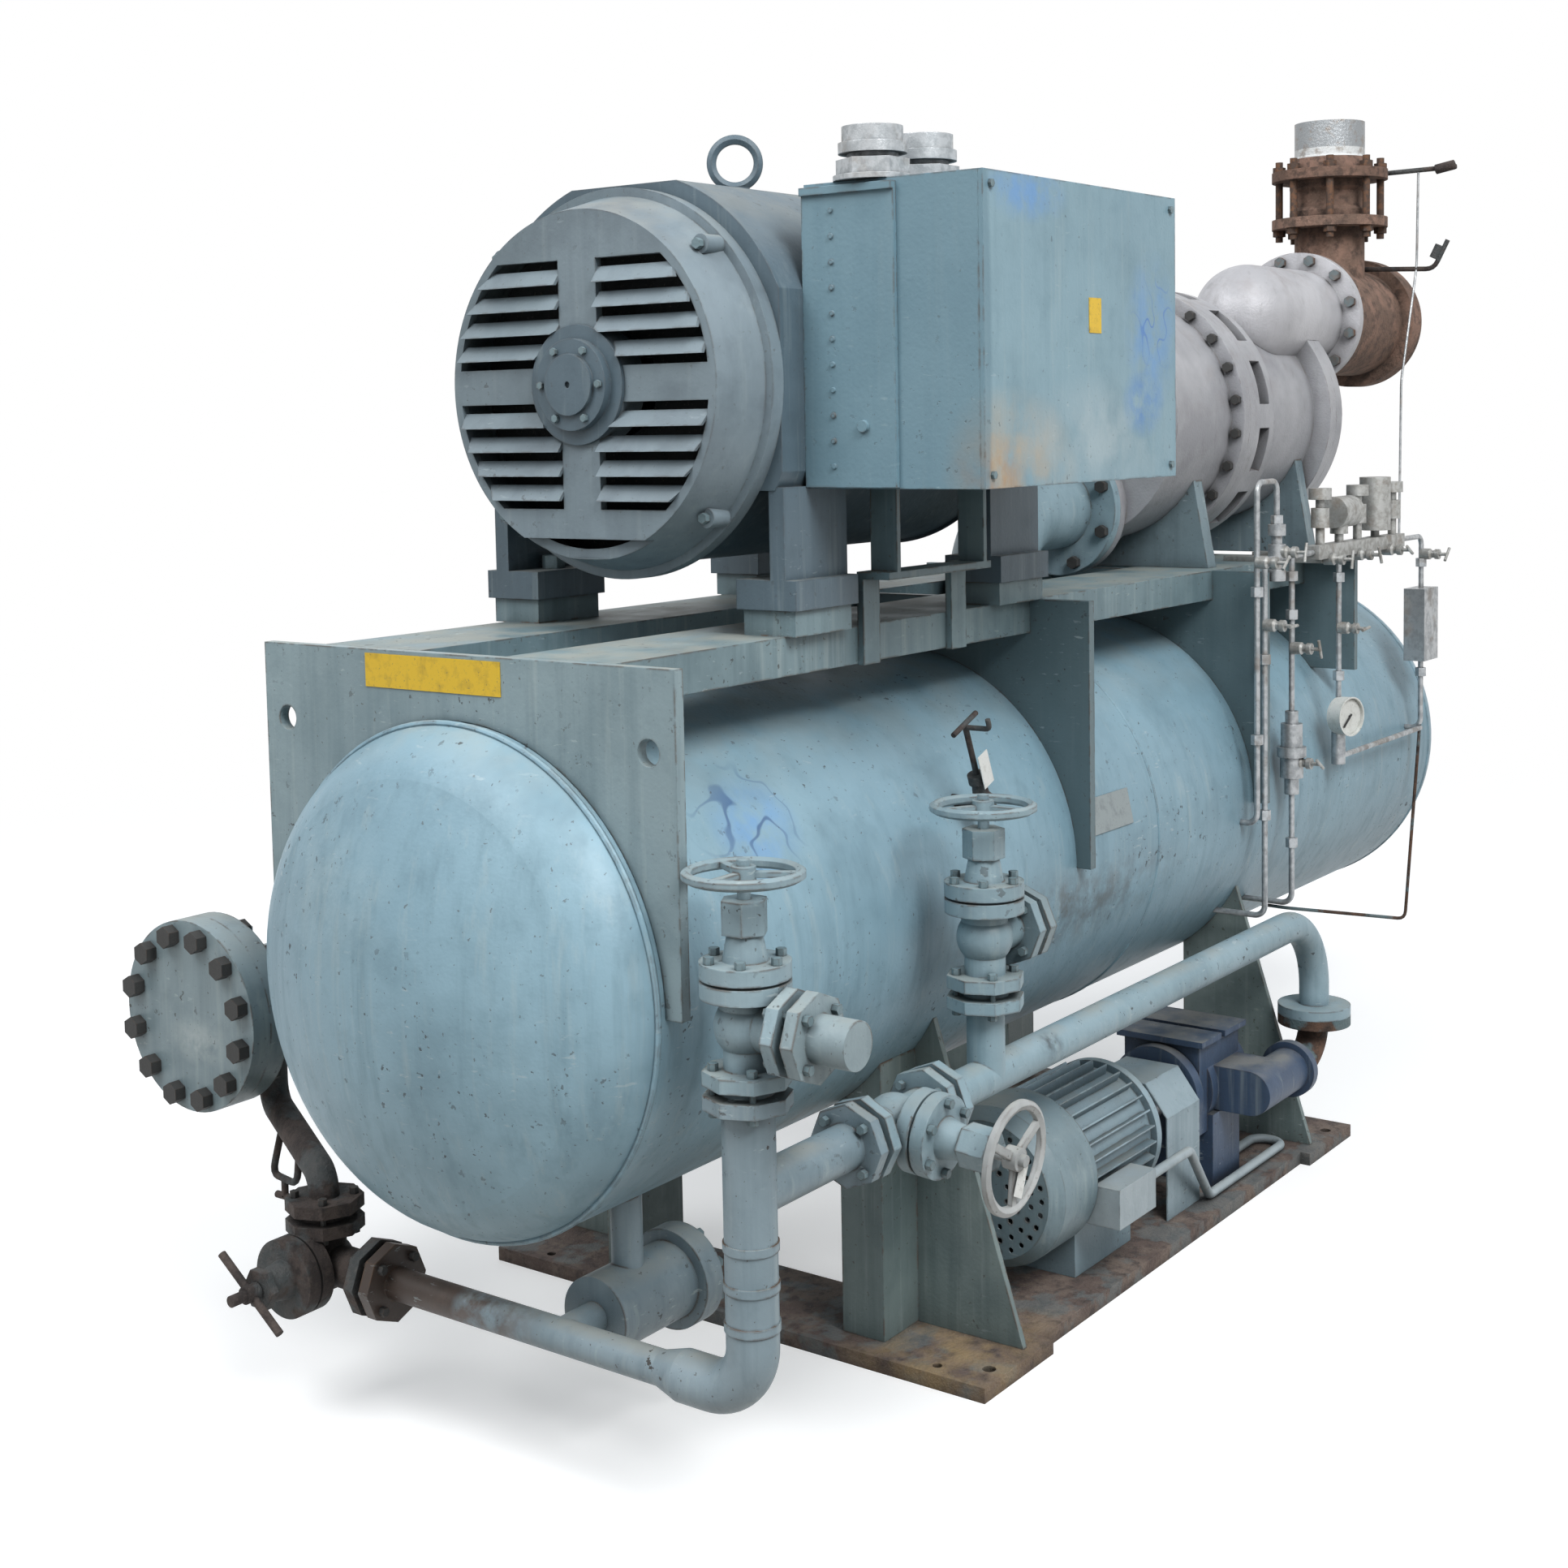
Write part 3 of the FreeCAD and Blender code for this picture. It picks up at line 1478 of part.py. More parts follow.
def twisted(profile, length, wrap, sections, axis_height, start):
    """A rotor body: one polygon profile carried round and along, skinned with flat facets."""
    rings = []
    for index in range(sections + 1):
        turn = math.radians(wrap) * index / sections
        x = start + length * index / sections
        rings.append([
            Vector(x, radius * math.cos(angle + turn), axis_height + radius * math.sin(angle + turn))
            for angle, radius in profile
        ])
    faces = [Part.Face(Part.makePolygon(ring + [ring[0]])) for ring in (rings[0], rings[-1])]
    count = len(profile)
    for lower, upper in zip(rings, rings[1:]):
        for index in range(count):
            following = (index + 1) % count
            for corners in ((lower[index], lower[following], upper[following]),
                            (lower[index], upper[following], upper[index])):
                faces.append(Part.Face(Part.makePolygon(list(corners) + [corners[0]])))
    body = Part.Solid(Part.Shell(faces))
    if body.Volume < 0:
        body.reverse()
    return body


length = float(size.rotor_length)
start = float(rotor_x)
wrap = float(size.male_wrap)
quarter = math.pi / 2
male_profile = []
for lobe in range(int(float(size.male_lobes))):
    middle = 2 * math.pi * lobe / float(size.male_lobes)
    for offset in (-34, -26, -16, -5, 5, 16, 26, 34):
        angle = math.radians(offset)
        male_profile.append((middle + angle - quarter, male_radius(angle)))
female_profile = []
flutes = int(float(size.female_flutes))
cells = 8
radii = female_radii(cells)
for flute in range(flutes):
    for cell in range(cells):
        angle = 2 * math.pi * (flute + (cell + 0.5) / cells - 0.5) / flutes
        female_profile.append((angle + quarter, radii[cell]))
sections = 12
female_wrap = -wrap * float(size.male_lobes) / float(size.female_flutes)
male_body = twisted(male_profile, length, wrap, sections, float(male_z), start)
female_body = twisted(female_profile, length, female_wrap, sections, float(female_z), start)
coupling_end = coupling_x + size.coupling_length
tail = cw + size.rotor_bearing_width + size.rotor_end_gap + 10
journal = float(size.rotor_journal)
male_shaft = Part.makeCylinder(journal, float(rotor_x - coupling_end) + length + float(tail),
                               plain((coupling_end, 0, male_z)), X_UP)
female_front = float(end_wall) - 4
female_shaft = Part.makeCylinder(journal, female_front + length + float(tail),
                                 Vector(start - female_front, 0, float(female_z)), X_UP)
node(feature("male_screw", male_body.fuse(male_shaft)), "male_rotor")
node(feature("female_screw", female_body.fuse(female_shaft)), "female_rotor")
coupling = turned(
    "coupling", (coupling_x, centre_y, male_z), X_UP,
    step_profile(
        (size.coupling_length * 0.42, size.coupling_radius * 0.8),
        (size.coupling_length * 0.16, size.coupling_radius),
        (size.coupling_length * 0.42, size.coupling_radius * 0.8),
    ),
)
node(group("drive_line", motor_shaft, coupling), "motor_rotor")
slide_round = cylinder("slide_round", (rotor_x, size.slide_offset, slide_z), X_UP,
                       size.slide_radius, size.slide_length)
slide_tools = [
    cylinder("slide_male_relief", (rotor_x - 1, centre_y, male_z), X_UP,
             male_tip + size.bore_clearance, size.slide_length + 2),
    cylinder("slide_female_relief", (rotor_x - 1, centre_y, female_z), X_UP,
             female_pitch + size.bore_clearance, size.slide_length + 2),
]
slide_body = cut("slide_body", slide_round, *slide_tools)
rod_start = rotor_x + size.slide_length
piston_x = cover_x + cw / 2
rod = cylinder("slide_rod", (rod_start, size.slide_offset, slide_z), X_UP, size.slide_rod_radius,
               piston_x - rod_start)
piston = cylinder("slide_piston", (piston_x, size.slide_offset, slide_z), X_UP,
                  size.slide_piston_radius, size.slide_piston_width)
node(fuse("slide_whole", slide_body, rod, piston), "slide_valve")


def race(name, x, z, inner, outer, width):
    """A rolling bearing drawn as one ring."""
    return turned(name, (x, centre_y, z), X_UP,
                  [(dim(0), inner + size.running_clearance), (dim(0), outer),
                   (width, outer), (width, inner + size.running_clearance)])


bearings = [
    race("front_motor_bearing", face_x + wall / 2, male_z, size.shaft_radius,
         size.bearing_outer, size.bearing_width),
    race("rear_motor_bearing", motor_end_x - hub_depth, male_z, size.shaft_radius,
         size.bearing_outer, size.bearing_width),
]
for label, z in (("male", male_z), ("female", female_z)):
    bearings.append(race(f"{label}_front_bearing", station(ring_end) - size.rotor_bearing_width, z,
                         size.rotor_journal, seat, size.rotor_bearing_width))
    bearings.append(race(f"{label}_rear_bearing", seat_start, z, size.rotor_journal, seat,
                         size.rotor_bearing_width))
node(group("bearing_rings", *bearings), "shaft_bearings")

# Discharge line from the compressor down into the vessel


def hollow_pipe(name, points, bend, radius, wall_thickness):
    """A pipe run with its bore."""
    outer = pipe_shape(points, bend, radius)
    inner = pipe_shape(points, bend, float(radius) - float(wall_thickness))
    return feature(name, outer.cut(inner))


flange_w = size.discharge_flange_width
elbow_end = station(size.discharge_flange_station) - flange_w
elbow_x = station(size.discharge_station)
elbow_pipe = hollow_pipe(
    "discharge_pipe",
    [(elbow_x, centre_y, size.vessel_height + size.vessel_radius * 0.9),
     (elbow_x, centre_y, port_height),
     (elbow_end + flange_w, centre_y, port_height)],
    size.discharge_bend, size.discharge_radius, size.stub_wall,
)
elbow_flange = turned(
    "discharge_flange", (elbow_end, centre_y, port_height), X_UP,
    [(dim(0), size.discharge_radius), (dim(0), size.discharge_flange_radius),
     (flange_w, size.discharge_flange_radius), (flange_w, size.discharge_radius)],
)
vessel_round = cylinder("vessel_round", (elbow_x - size.vessel_radius, centre_y, size.vessel_height),
                        X_UP, size.vessel_radius, size.vessel_radius * 2)
node(cut("discharge_elbow_cut", fuse("discharge_whole", elbow_pipe, elbow_flange), vessel_round),
     "discharge_elbow")
bolt_shapes += bolt_ring((elbow_end, centre_y, port_height), X_DOWN,
                          size.discharge_bolt_circle, size.discharge_bolts,
                          size.flange_bolt_size, size.flange_bolt_height, 22.5)
bolt_shapes += bolt_ring((station(size.ring_station), centre_y, mid_z), X_DOWN,
                          size.ring_bolt_circle, size.ring_bolt_count, size.ring_bolt_size,
                          size.ring_bolt_height, 7.5)
suction_z = mid_z + size.suction_rise
cover_heads = bolt_ring((cover_x + size.end_ring_width, centre_y, mid_z), X_UP,
                        size.ring_bolt_circle - 7, 16, size.ring_bolt_size,
                        size.ring_bolt_height, 11.25)
for head in cover_heads:
    middle = head.CenterOfMass
    reach = math.hypot(middle.y + float(size.suction_y), middle.z - float(suction_z))
    if reach > float(size.elbow_radius + size.ring_bolt_size):
        bolt_shapes.append(head)

# Suction line: elbow casting, strainer, check valve and stub

suction_y = -size.suction_y
barrel_x = station(size.elbow_neck_station)
suction_flange_x = station(size.suction_flange_station)
flange_s = size.suction_flange_width
elbow_outer = fuse(
    "elbow_outer",
    ball("elbow_ball", (barrel_x, suction_y, suction_z), size.elbow_radius),
    cylinder("elbow_barrel", (barrel_x, suction_y, suction_z), X_UP, size.elbow_radius,
             suction_flange_x - barrel_x - flange_s),
    cylinder("elbow_flange", (suction_flange_x - flange_s, suction_y, suction_z), X_UP,
             size.suction_flange_radius, flange_s),
    cylinder("elbow_foot", (suction_x - size.stub_radius, suction_y / 2, male_z), Z_UP,
             port_radius * 1.5, suction_z - male_z),
)
casing_rounds = fuse(
    "casing_rounds",
    cylinder("casing_round", (suction_x - size.rotor_casing_radius * 2, centre_y, mid_z), X_UP,
             size.rotor_casing_radius, cover_x - suction_x + size.rotor_casing_radius * 2),
    cylinder("casing_end_round", (cover_x - size.end_ring_width, centre_y, mid_z), X_UP,
             size.end_ring_radius, size.end_ring_width * 2),
    cylinder("casing_cover_round", (cover_x, centre_y, mid_z), X_UP, size.end_cover_radius,
             cover_length),
)
elbow_bore = fuse(
    "elbow_bore",
    cylinder("elbow_bore_run", (barrel_x, suction_y, suction_z), X_UP, size.stub_radius,
             suction_flange_x - barrel_x + 1),
    cylinder("elbow_bore_drop", (suction_x - size.stub_radius, suction_y / 2, male_z), Z_UP,
             port_radius, suction_z - male_z),
    ball("elbow_bore_ball", (barrel_x, suction_y, suction_z), size.stub_radius),
)
node(cut("suction_elbow_cut", elbow_outer, casing_rounds, elbow_bore), "suction_elbow")
strainer_end_x = station(size.strainer_end)
neck_x = station(size.riser_station)
neck_top = suction_z + size.valve_neck_rise
plate_w = size.valve_flange_width
cover_w = size.strainer_cover_width
strainer_outer = fuse(
    "strainer_outer",
    cylinder("strainer_flange", (suction_flange_x, suction_y, suction_z), X_UP,
             size.suction_flange_radius, flange_s),
    cylinder("strainer_drum", (suction_flange_x, suction_y, suction_z), X_UP,
             size.strainer_radius, strainer_end_x - suction_flange_x - cover_w),
    cylinder("strainer_rim", (strainer_end_x - cover_w * 2, suction_y, suction_z), X_UP,
             size.suction_flange_radius, cover_w),
    cylinder("strainer_neck", (neck_x, suction_y, suction_z), Z_UP, size.stub_radius,
             neck_top - suction_z),
    cylinder("strainer_neck_flange", (neck_x, suction_y, neck_top), Z_UP,
             size.valve_flange_radius, plate_w),
)
strainer_bore = fuse(
    "strainer_bore",
    cylinder("strainer_bore_run", (suction_flange_x - 1, suction_y, suction_z), X_UP,
             size.stub_radius, strainer_end_x - suction_flange_x - cover_w + 1),
    cylinder("strainer_bore_neck", (neck_x, suction_y, suction_z), Z_UP,
             size.stub_radius - size.stub_wall, neck_top - suction_z + plate_w + 1),
)
stud_places = ring_of_places((neck_x, suction_y, neck_top), Z_UP, size.stud_circle,
                             size.stud_count, 22.5)
stack = float(plate_w) * 2 + float(size.valve_flange_gap)
stud_hole = float(size.stud_radius) + float(size.running_clearance)
stud_holes = feature("stud_holes", Part.makeCompound([
    Part.makeCylinder(stud_hole, stack + 2, place - Vector(0, 0, 1), Z_UP)
    for place in stud_places
]))
node(
    group(
        "strainer_parts",
        cut("strainer_cut", strainer_outer, strainer_bore, stud_holes),
        cylinder("strainer_cover", (strainer_end_x - cover_w, suction_y, suction_z), X_UP,
                 size.suction_flange_radius, cover_w),
    ),
    "suction_strainer",
)
bolt_shapes += bolt_ring((suction_flange_x - flange_s, suction_y, suction_z), X_DOWN,
                          size.suction_bolt_circle, size.suction_bolts, size.flange_bolt_size,
                          size.flange_bolt_height, 15)
bolt_shapes += bolt_ring((strainer_end_x, suction_y, suction_z), X_UP,
                          size.suction_bolt_circle, size.suction_bolts, size.flange_bolt_size,
                          size.flange_bolt_height, 15)
body_z = neck_top + plate_w
check_body = turned(
    "check_body", (neck_x, suction_y, body_z), Z_UP,
    [
        (dim(0), dim(0)), (dim(0), size.valve_body_radius), (size.valve_flange_gap * 0.2,
                                                              size.valve_body_radius),
        (size.valve_flange_gap * 0.3, size.valve_body_radius * 0.88),
        (size.valve_flange_gap * 0.7, size.valve_body_radius * 0.88),
        (size.valve_flange_gap * 0.8, size.valve_body_radius),
        (size.valve_flange_gap, size.valve_body_radius), (size.valve_flange_gap, dim(0)),
    ],
)
check_stem = cylinder("check_stem", (neck_x, suction_y, body_z + size.valve_flange_gap / 2), X_UP,
                      size.tube_radius, size.valve_flange_radius * 1.7)
node(fuse("check_whole", check_body, check_stem), "stop_check_valve")
upper_z = body_z + size.valve_flange_gap
stub_profile = [
    (dim(0), size.stub_radius - size.stub_wall), (dim(0), size.valve_flange_radius),
    (plate_w, size.valve_flange_radius), (plate_w, size.valve_body_radius * 1.1),
    (plate_w + size.cone_height, size.stub_radius),
    (plate_w + size.cone_height + size.stub_length, size.stub_radius),
    (plate_w + size.cone_height + size.stub_length, size.stub_radius - size.stub_wall),
]
stub_blank = turned("stub_blank", (neck_x, suction_y, upper_z), Z_UP, stub_profile)
node(cut("stub_cut", stub_blank, stud_holes), "suction_stub")
for place in stud_places:
    low = place - Vector(0, 0, float(size.stud_overhang))
    rod_length = stack + 2 * float(size.stud_overhang)
    shank = Part.makeCylinder(float(size.stud_radius), rod_length, low, Z_UP)
    nut_low = hex_head(place, Z_DOWN, size.stud_nut_size, size.flange_bolt_height)
    nut_high = hex_head(place + Vector(0, 0, stack), Z_UP, size.stud_nut_size,
                        size.flange_bolt_height)
    bolt_shapes.append(shank.fuse([nut_low, nut_high]))

# Handwheel valves: one pattern, built about its own stem axis and then placed


def octagon(name, start, axis, radius, thickness):
    """An eight-sided flange plate."""
    thing = doc.addObject("Part::Prism", name)
    thing.Polygon = 8
    bind(thing, Circumradius=radius, Height=thickness)
    return put(thing, start, FreeCAD.Rotation(Z_UP, axis))


zero = dim(0)
gasket = size.line_flange_gap
line_w = size.line_flange_width
bonnet_top = size.bonnet_offset + size.bonnet_flange_width * 2
gland_low = bonnet_top + size.neck_length
seat_z = -size.disc_pocket


def valve_body(name, necks, place, rotation, gland_high):
    """Ball body with flanged necks, split bonnet and gland; necks are (axis, length)."""
    pieces = [
        ball(f"{name}_ball", (zero, zero, zero), size.ball_radius),
        cylinder(f"{name}_throat", (zero, zero, zero), Z_UP, size.oil_pipe_radius,
                 size.bonnet_offset),
        cylinder(f"{name}_bonnet_low", (zero, zero, size.bonnet_offset), Z_UP,
                 size.bonnet_flange_radius, size.bonnet_flange_width * 0.92),
        cylinder(f"{name}_bonnet_core", (zero, zero, size.bonnet_offset), Z_UP,
                 size.bonnet_flange_radius * 0.86, size.bonnet_flange_width * 2),
        cylinder(f"{name}_bonnet_high",
                 (zero, zero, size.bonnet_offset + size.bonnet_flange_width * 1.08), Z_UP,
                 size.bonnet_flange_radius, size.bonnet_flange_width * 0.92),
        cone(f"{name}_neck", (zero, zero, bonnet_top), Z_UP, size.neck_radius * 1.3,
             size.neck_radius, size.neck_length),
    ]
    gland = doc.addObject("Part::Prism", f"{name}_gland")
    gland.Polygon = 6
    bind(gland, Circumradius=size.gland_size / 2, Height=gland_high - gland_low)
    pieces.append(put(gland, (zero, zero, gland_low)))
    bores = []
    for number, (axis, length) in enumerate(necks, start=1):
        flange_start = [dim(part) * (length - line_w) for part in axis]
        face = [dim(part) * length for part in axis]
        pieces.append(cylinder(f"{name}_neck_{number}", (zero, zero, zero), axis,
                               size.oil_pipe_radius * 0.88, length - line_w))
        pieces.append(octagon(f"{name}_flange_{number}", flange_start, axis,
                              size.line_flange_radius * 1.08, line_w))
        pieces.append(cylinder(f"{name}_face_{number}", face, axis, size.oil_pipe_radius, gasket))
        bores.append(cylinder(f"{name}_port_{number}", (zero, zero, zero), axis,
                              size.disc_radius * 0.8, length + gasket + 1))
    bores.append(cylinder(f"{name}_chamber", (zero, zero, seat_z), Z_UP, size.disc_pocket,
                          size.bonnet_offset + size.disc_pocket))
    bores.append(cylinder(f"{name}_stem_hole", (zero, zero, zero), Z_UP,
                          size.stem_radius + size.running_clearance, gland_high + 1))
    whole = fuse(f"{name}_outer", *pieces)
    body = cut(f"{name}_body_cut", whole, *bores)
    put(body, place, rotation)
    return body


def valve_disc(name, place, rotation):
    """The closing disc, resting just above its seat."""
    disc = cylinder(f"{name}_disc_round", (zero, zero, seat_z + size.seat_gap), Z_UP,
                    size.disc_radius, size.disc_thickness)
    lock = fuse(f"{name}_disc_whole", disc,
                cylinder(f"{name}_disc_boss", (zero, zero, seat_z + size.seat_gap), Z_UP,
                         size.stem_radius * 1.4, size.disc_thickness * 1.3))
    put(lock, place, rotation)
    return lock


stem_foot = seat_z + size.seat_gap + size.disc_thickness * 1.3


def handwheel(name, place, rotation):
    """Stem, hub, three spokes and a rim of six-sided section."""
    wheel_z = size.wheel_offset
    rim_profile = []
    for index in range(6):
        angle = math.radians(60 * index)
        rim_profile.append((size.wheel_rim * math.cos(angle),
                            size.wheel_radius - size.wheel_rim + size.wheel_rim * math.sin(angle)))
    pieces = [
        turned(f"{name}_rim", (zero, zero, wheel_z), Z_UP, rim_profile),
        cylinder(f"{name}_stem", (zero, zero, stem_foot), Z_UP, size.stem_radius,
                 wheel_z - stem_foot + size.wheel_hub_length * 0.9),
        cylinder(f"{name}_hub", (zero, zero, wheel_z - size.wheel_hub_length / 2), Z_UP,
                 size.wheel_hub_radius, size.wheel_hub_length),
    ]
    for index in range(int(float(size.spoke_count))):
        spoke = doc.addObject("Part::Box", f"{name}_spoke_{index + 1}")
        bind(spoke, Length=size.wheel_radius - size.wheel_rim, Width=size.spoke_width,
             Height=size.wheel_rim)
        turn = FreeCAD.Rotation(Z_UP, 120 * index + 30)
        corner = turn.multVec(Vector(0, -float(size.spoke_width) / 2, 0))
        put(spoke, (corner.x, corner.y, wheel_z - size.wheel_rim / 2), turn)
        pieces.append(spoke)
    wheel = fuse(f"{name}_wheel_whole", *pieces)
    put(wheel, place, rotation)
    return wheel


def flange_set(place, rotation, axis, length):
    """Bolt heads on both sides of a flange pair and the shanks between its plates."""
    axis = rotation.multVec(axis)
    middle = plain(place) + axis * float(length)
    inner = middle - axis * float(line_w)
    outer = middle + axis * float(gasket + line_w)
    heads = []
    for spot, way in ((inner, axis * -1), (outer, axis)):
        heads += bolt_ring(spot, way, size.line_bolt_circle, 4, size.line_bolt_size,
                           size.line_bolt_height, 45)
    heads += bolt_ring(middle, axis, size.line_bolt_circle, 4, float(size.line_bolt_size) * 0.6,
                       gasket, 45)
    return heads


line_y = -size.oil_line_y
leg_x = station(size.leg_station)
upright = FreeCAD.Rotation(Z_UP, -90)
valve_1_place = (leg_x, line_y, size.valve_1_height)
valve_2_place = (station(size.valve_2_station), line_y, size.valve_2_height)
valve_3_place = (station(size.valve_3_station), line_y, size.header_height)
tilt = math.radians(float(size.valve_3_tilt))
stem_way = Vector(0, -math.cos(tilt), -math.sin(tilt))
sideways = FreeCAD.Rotation(X_UP, stem_way.cross(X_UP), stem_way, "ZXY")
flat = FreeCAD.Rotation()
gland_high = gland_low + size.gland_length
valves = (
    ("valve_1", valve_1_place, upright,
     ((Z_DOWN, size.foot_flange_offset + line_w), (X_UP, size.branch_length + line_w))),
    ("valve_2", valve_2_place, flat,
     ((Z_DOWN, size.foot_flange_offset + line_w), (X_UP, size.branch_length + line_w))),
    ("valve_3", valve_3_place, sideways,
     ((X_DOWN, size.valve_3_reach), (X_UP, size.valve_3_reach))),
)
for name, place, rotation, necks in valves:
    node(valve_body(name, necks, place, rotation, gland_high), f"{name}_body")
    node(valve_disc(name, place, rotation), f"{name}_disc")
    node(handwheel(name, place, rotation), f"{name}_wheel")
    for axis, length in necks:
        bolt_shapes += flange_set(place, rotation, axis, length)
    bonnet_spot = plain(place) + rotation.multVec(Vector(0, 0, float(bonnet_top)))
    bolt_shapes += bolt_ring(bonnet_spot, rotation.multVec(Z_UP), size.bonnet_flange_radius * 0.84,
                              6, size.line_bolt_size, size.line_bolt_height, 30)

# Oil piping


def blank_cap(name, place, axis, length, cap_length):
    """A mating flange with a closed stub on it."""
    start = [dim(a) + dim(b) * (length + gasket) for a, b in zip(place, axis)]
    after = [dim(a) + dim(b) * (length + gasket + line_w) for a, b in zip(place, axis)]
    return fuse(
        f"{name}_whole",
        octagon(f"{name}_plate", start, axis, size.line_flange_radius * 1.08, line_w),
        cylinder(f"{name}_stub", after, axis, size.branch_cap_radius, cap_length),
    )


branch_reach = size.branch_length + line_w
branch_caps = (
    blank_cap("cap_1", valve_1_place, Y_DOWN, branch_reach, size.branch_cap_length),
    blank_cap("cap_2", valve_2_place, X_UP, branch_reach, size.branch_cap_length * 0.4),
)
foot_reach = size.foot_flange_offset + line_w + gasket
leg_top = size.valve_1_height - foot_reach
pipe_r = size.oil_pipe_radius
tee_flange_x = station(size.valve_3_station) - size.valve_3_reach - gasket - line_w
drain_face = size.drain_reach + gasket + line_w
reducer_y = line_y + size.reducer_reach
leg_pipe = pipe(
    "leg_pipe",
    [(leg_x, line_y, leg_top - line_w), (leg_x, line_y, size.cross_pipe_height),
     (leg_x, reducer_y, size.cross_pipe_height)],
    size.oil_bend * 0.75, pipe_r,
)
cross_start = reducer_y + size.reducer_length
cross_run = fuse(
    "cross_run",
    cone("cross_reducer", (leg_x, reducer_y, size.cross_pipe_height), Y_UP, pipe_r,
         size.cross_pipe_radius, size.reducer_length),
    cylinder("cross_pipe", (leg_x, cross_start, size.cross_pipe_height), Y_UP,
             size.cross_pipe_radius, size.drain_valve_y - drain_face - cross_start),
)
tee_pipe = cylinder("tee_pipe", (leg_x, line_y, size.header_height), X_UP, pipe_r * 0.92,
                    tee_flange_x - leg_x)
couplings = [
    cylinder(f"coupling_ring_{index + 1}",
             (leg_x, line_y, size.cross_pipe_height + size.oil_bend + size.coupling_ring_pitch * index),
             Z_UP, pipe_r * 1.06, size.coupling_ring_width)
    for index in range(3)
]
filter_x = station(size.filter_start)
filter_branch = pipe(
    "filter_branch",
    [(leg_x, -size.filter_y, size.cross_pipe_height),
     (filter_x, -size.filter_y, size.cross_pipe_height)],
    size.oil_bend, size.riser_pipe_radius,
)
riser = fuse(
    "oil_riser_whole", leg_pipe, cross_run, tee_pipe, filter_branch, *couplings,
    octagon("leg_flange", (leg_x, line_y, leg_top - line_w), Z_UP,
            size.line_flange_radius * 1.08, line_w),
    octagon("tee_flange", (tee_flange_x, line_y, size.header_height), X_UP,
            size.line_flange_radius * 1.08, line_w),
    octagon("cross_flange", (leg_x, size.drain_valve_y - drain_face, size.cross_pipe_height), Y_UP,
            size.line_flange_radius * 1.08, line_w),
)
node(riser, "oil_riser_pipe")
header_x = station(size.valve_3_station) + size.valve_3_reach + gasket
header_end_x = station(size.header_end)
valve_2_foot = size.valve_2_height - foot_reach
header = fuse(
    "header_whole",
    pipe("header_run",
         [(header_x, line_y, size.header_height), (header_end_x, line_y, size.header_height),
          (header_end_x, line_y, size.union_height)],
         size.header_bend, size.header_pipe_radius),
    cylinder("header_riser", (station(size.valve_2_station), line_y, size.header_height), Z_UP,
             size.header_pipe_radius, valve_2_foot - size.header_height),
    octagon("header_flange", (header_x, line_y, size.header_height), X_UP,
            size.line_flange_radius * 1.08, line_w),
    octagon("riser_flange", (station(size.valve_2_station), line_y, valve_2_foot - line_w), Z_UP,
            size.line_flange_radius * 1.08, line_w),
    cylinder("union_flange", (header_end_x, line_y, size.union_height), Z_UP,
             size.union_radius, line_w),
)
node(header, "oil_header_pipe")
pump_axis_y = -size.pump_y
pump_end_x = station(size.pump_start + size.pump_length)
inlet_x = pump_end_x + size.pump_nozzle
node(
    fuse(
        "pump_inlet_whole",
        pipe("pump_inlet_run",
             [(header_end_x, line_y, size.union_height),
              (header_end_x, line_y, size.pump_height), (inlet_x, line_y, size.pump_height)],
             (size.union_height - size.pump_height) * 0.9, size.header_pipe_radius),
        cylinder("inlet_union", (header_end_x, line_y, size.union_height - line_w), Z_UP,
                 size.union_radius, line_w),
    ),
    "pump_inlet_pipe",
)

# Angle valve on the cross pipe, with its bar handle

drain_place = (leg_x, size.drain_valve_y, size.cross_pipe_height)
drain_turn = FreeCAD.Rotation(Y_UP, Z_UP, X_DOWN, "ZXY")
drain_necks = ((X_DOWN, size.drain_reach), (Y_DOWN, size.drain_rise))
drain_gland = gland_low + size.drain_gland_length
node(valve_body("drain_valve", drain_necks, drain_place, drain_turn, drain_gland),
     "drain_valve_body")
node(valve_disc("drain_valve", drain_place, drain_turn), "drain_valve_disc")
for axis, length in drain_necks:
    bolt_shapes += flange_set(drain_place, drain_turn, axis, length)
bar_z = size.drain_bar_offset
bar_way = Vector(0.8, -0.6, 0)
handle = fuse(
    "drain_handle_whole",
    cylinder("drain_stem", (zero, zero, stem_foot), Z_UP, size.stem_radius,
             size.drain_stem_tip - stem_foot),
    cylinder("drain_bar",
             (-(size.drain_bar_length / 2 * bar_way.x), -(size.drain_bar_length / 2 * bar_way.y), bar_z),
             bar_way, size.drain_bar_radius, size.drain_bar_length),
    cylinder("drain_bar_hub", (zero, zero, bar_z - size.drain_hub_length / 2), Z_UP,
             size.stem_radius * 1.5, size.drain_hub_length),
)
put(handle, drain_place, drain_turn)
node(handle, "drain_valve_handle")
riser_y = size.cooler_y - size.riser_pipe_inset
riser_x = station(size.riser_pipe_station)
feed_z = size.cross_pipe_height + size.drain_rise + gasket
riser_top = size.cooler_height - size.cooler_radius * 0.45
node(
    fuse(
        "cooler_feed_whole",
        octagon("cooler_feed_flange", (leg_x, size.drain_valve_y, feed_z), Z_UP,
                size.line_flange_radius * 1.08, line_w),
        pipe("cooler_feed_run",
             [(leg_x, size.drain_valve_y, feed_z),
              (leg_x, size.drain_valve_y, feed_z + size.feed_rise),
              (riser_x, riser_y, feed_z + size.feed_rise * 2),
              (riser_x, riser_y, riser_top)],
             size.feed_bend, size.riser_pipe_radius),
    ),
    "cooler_feed_pipe",
)

# Oil cooler on the far side

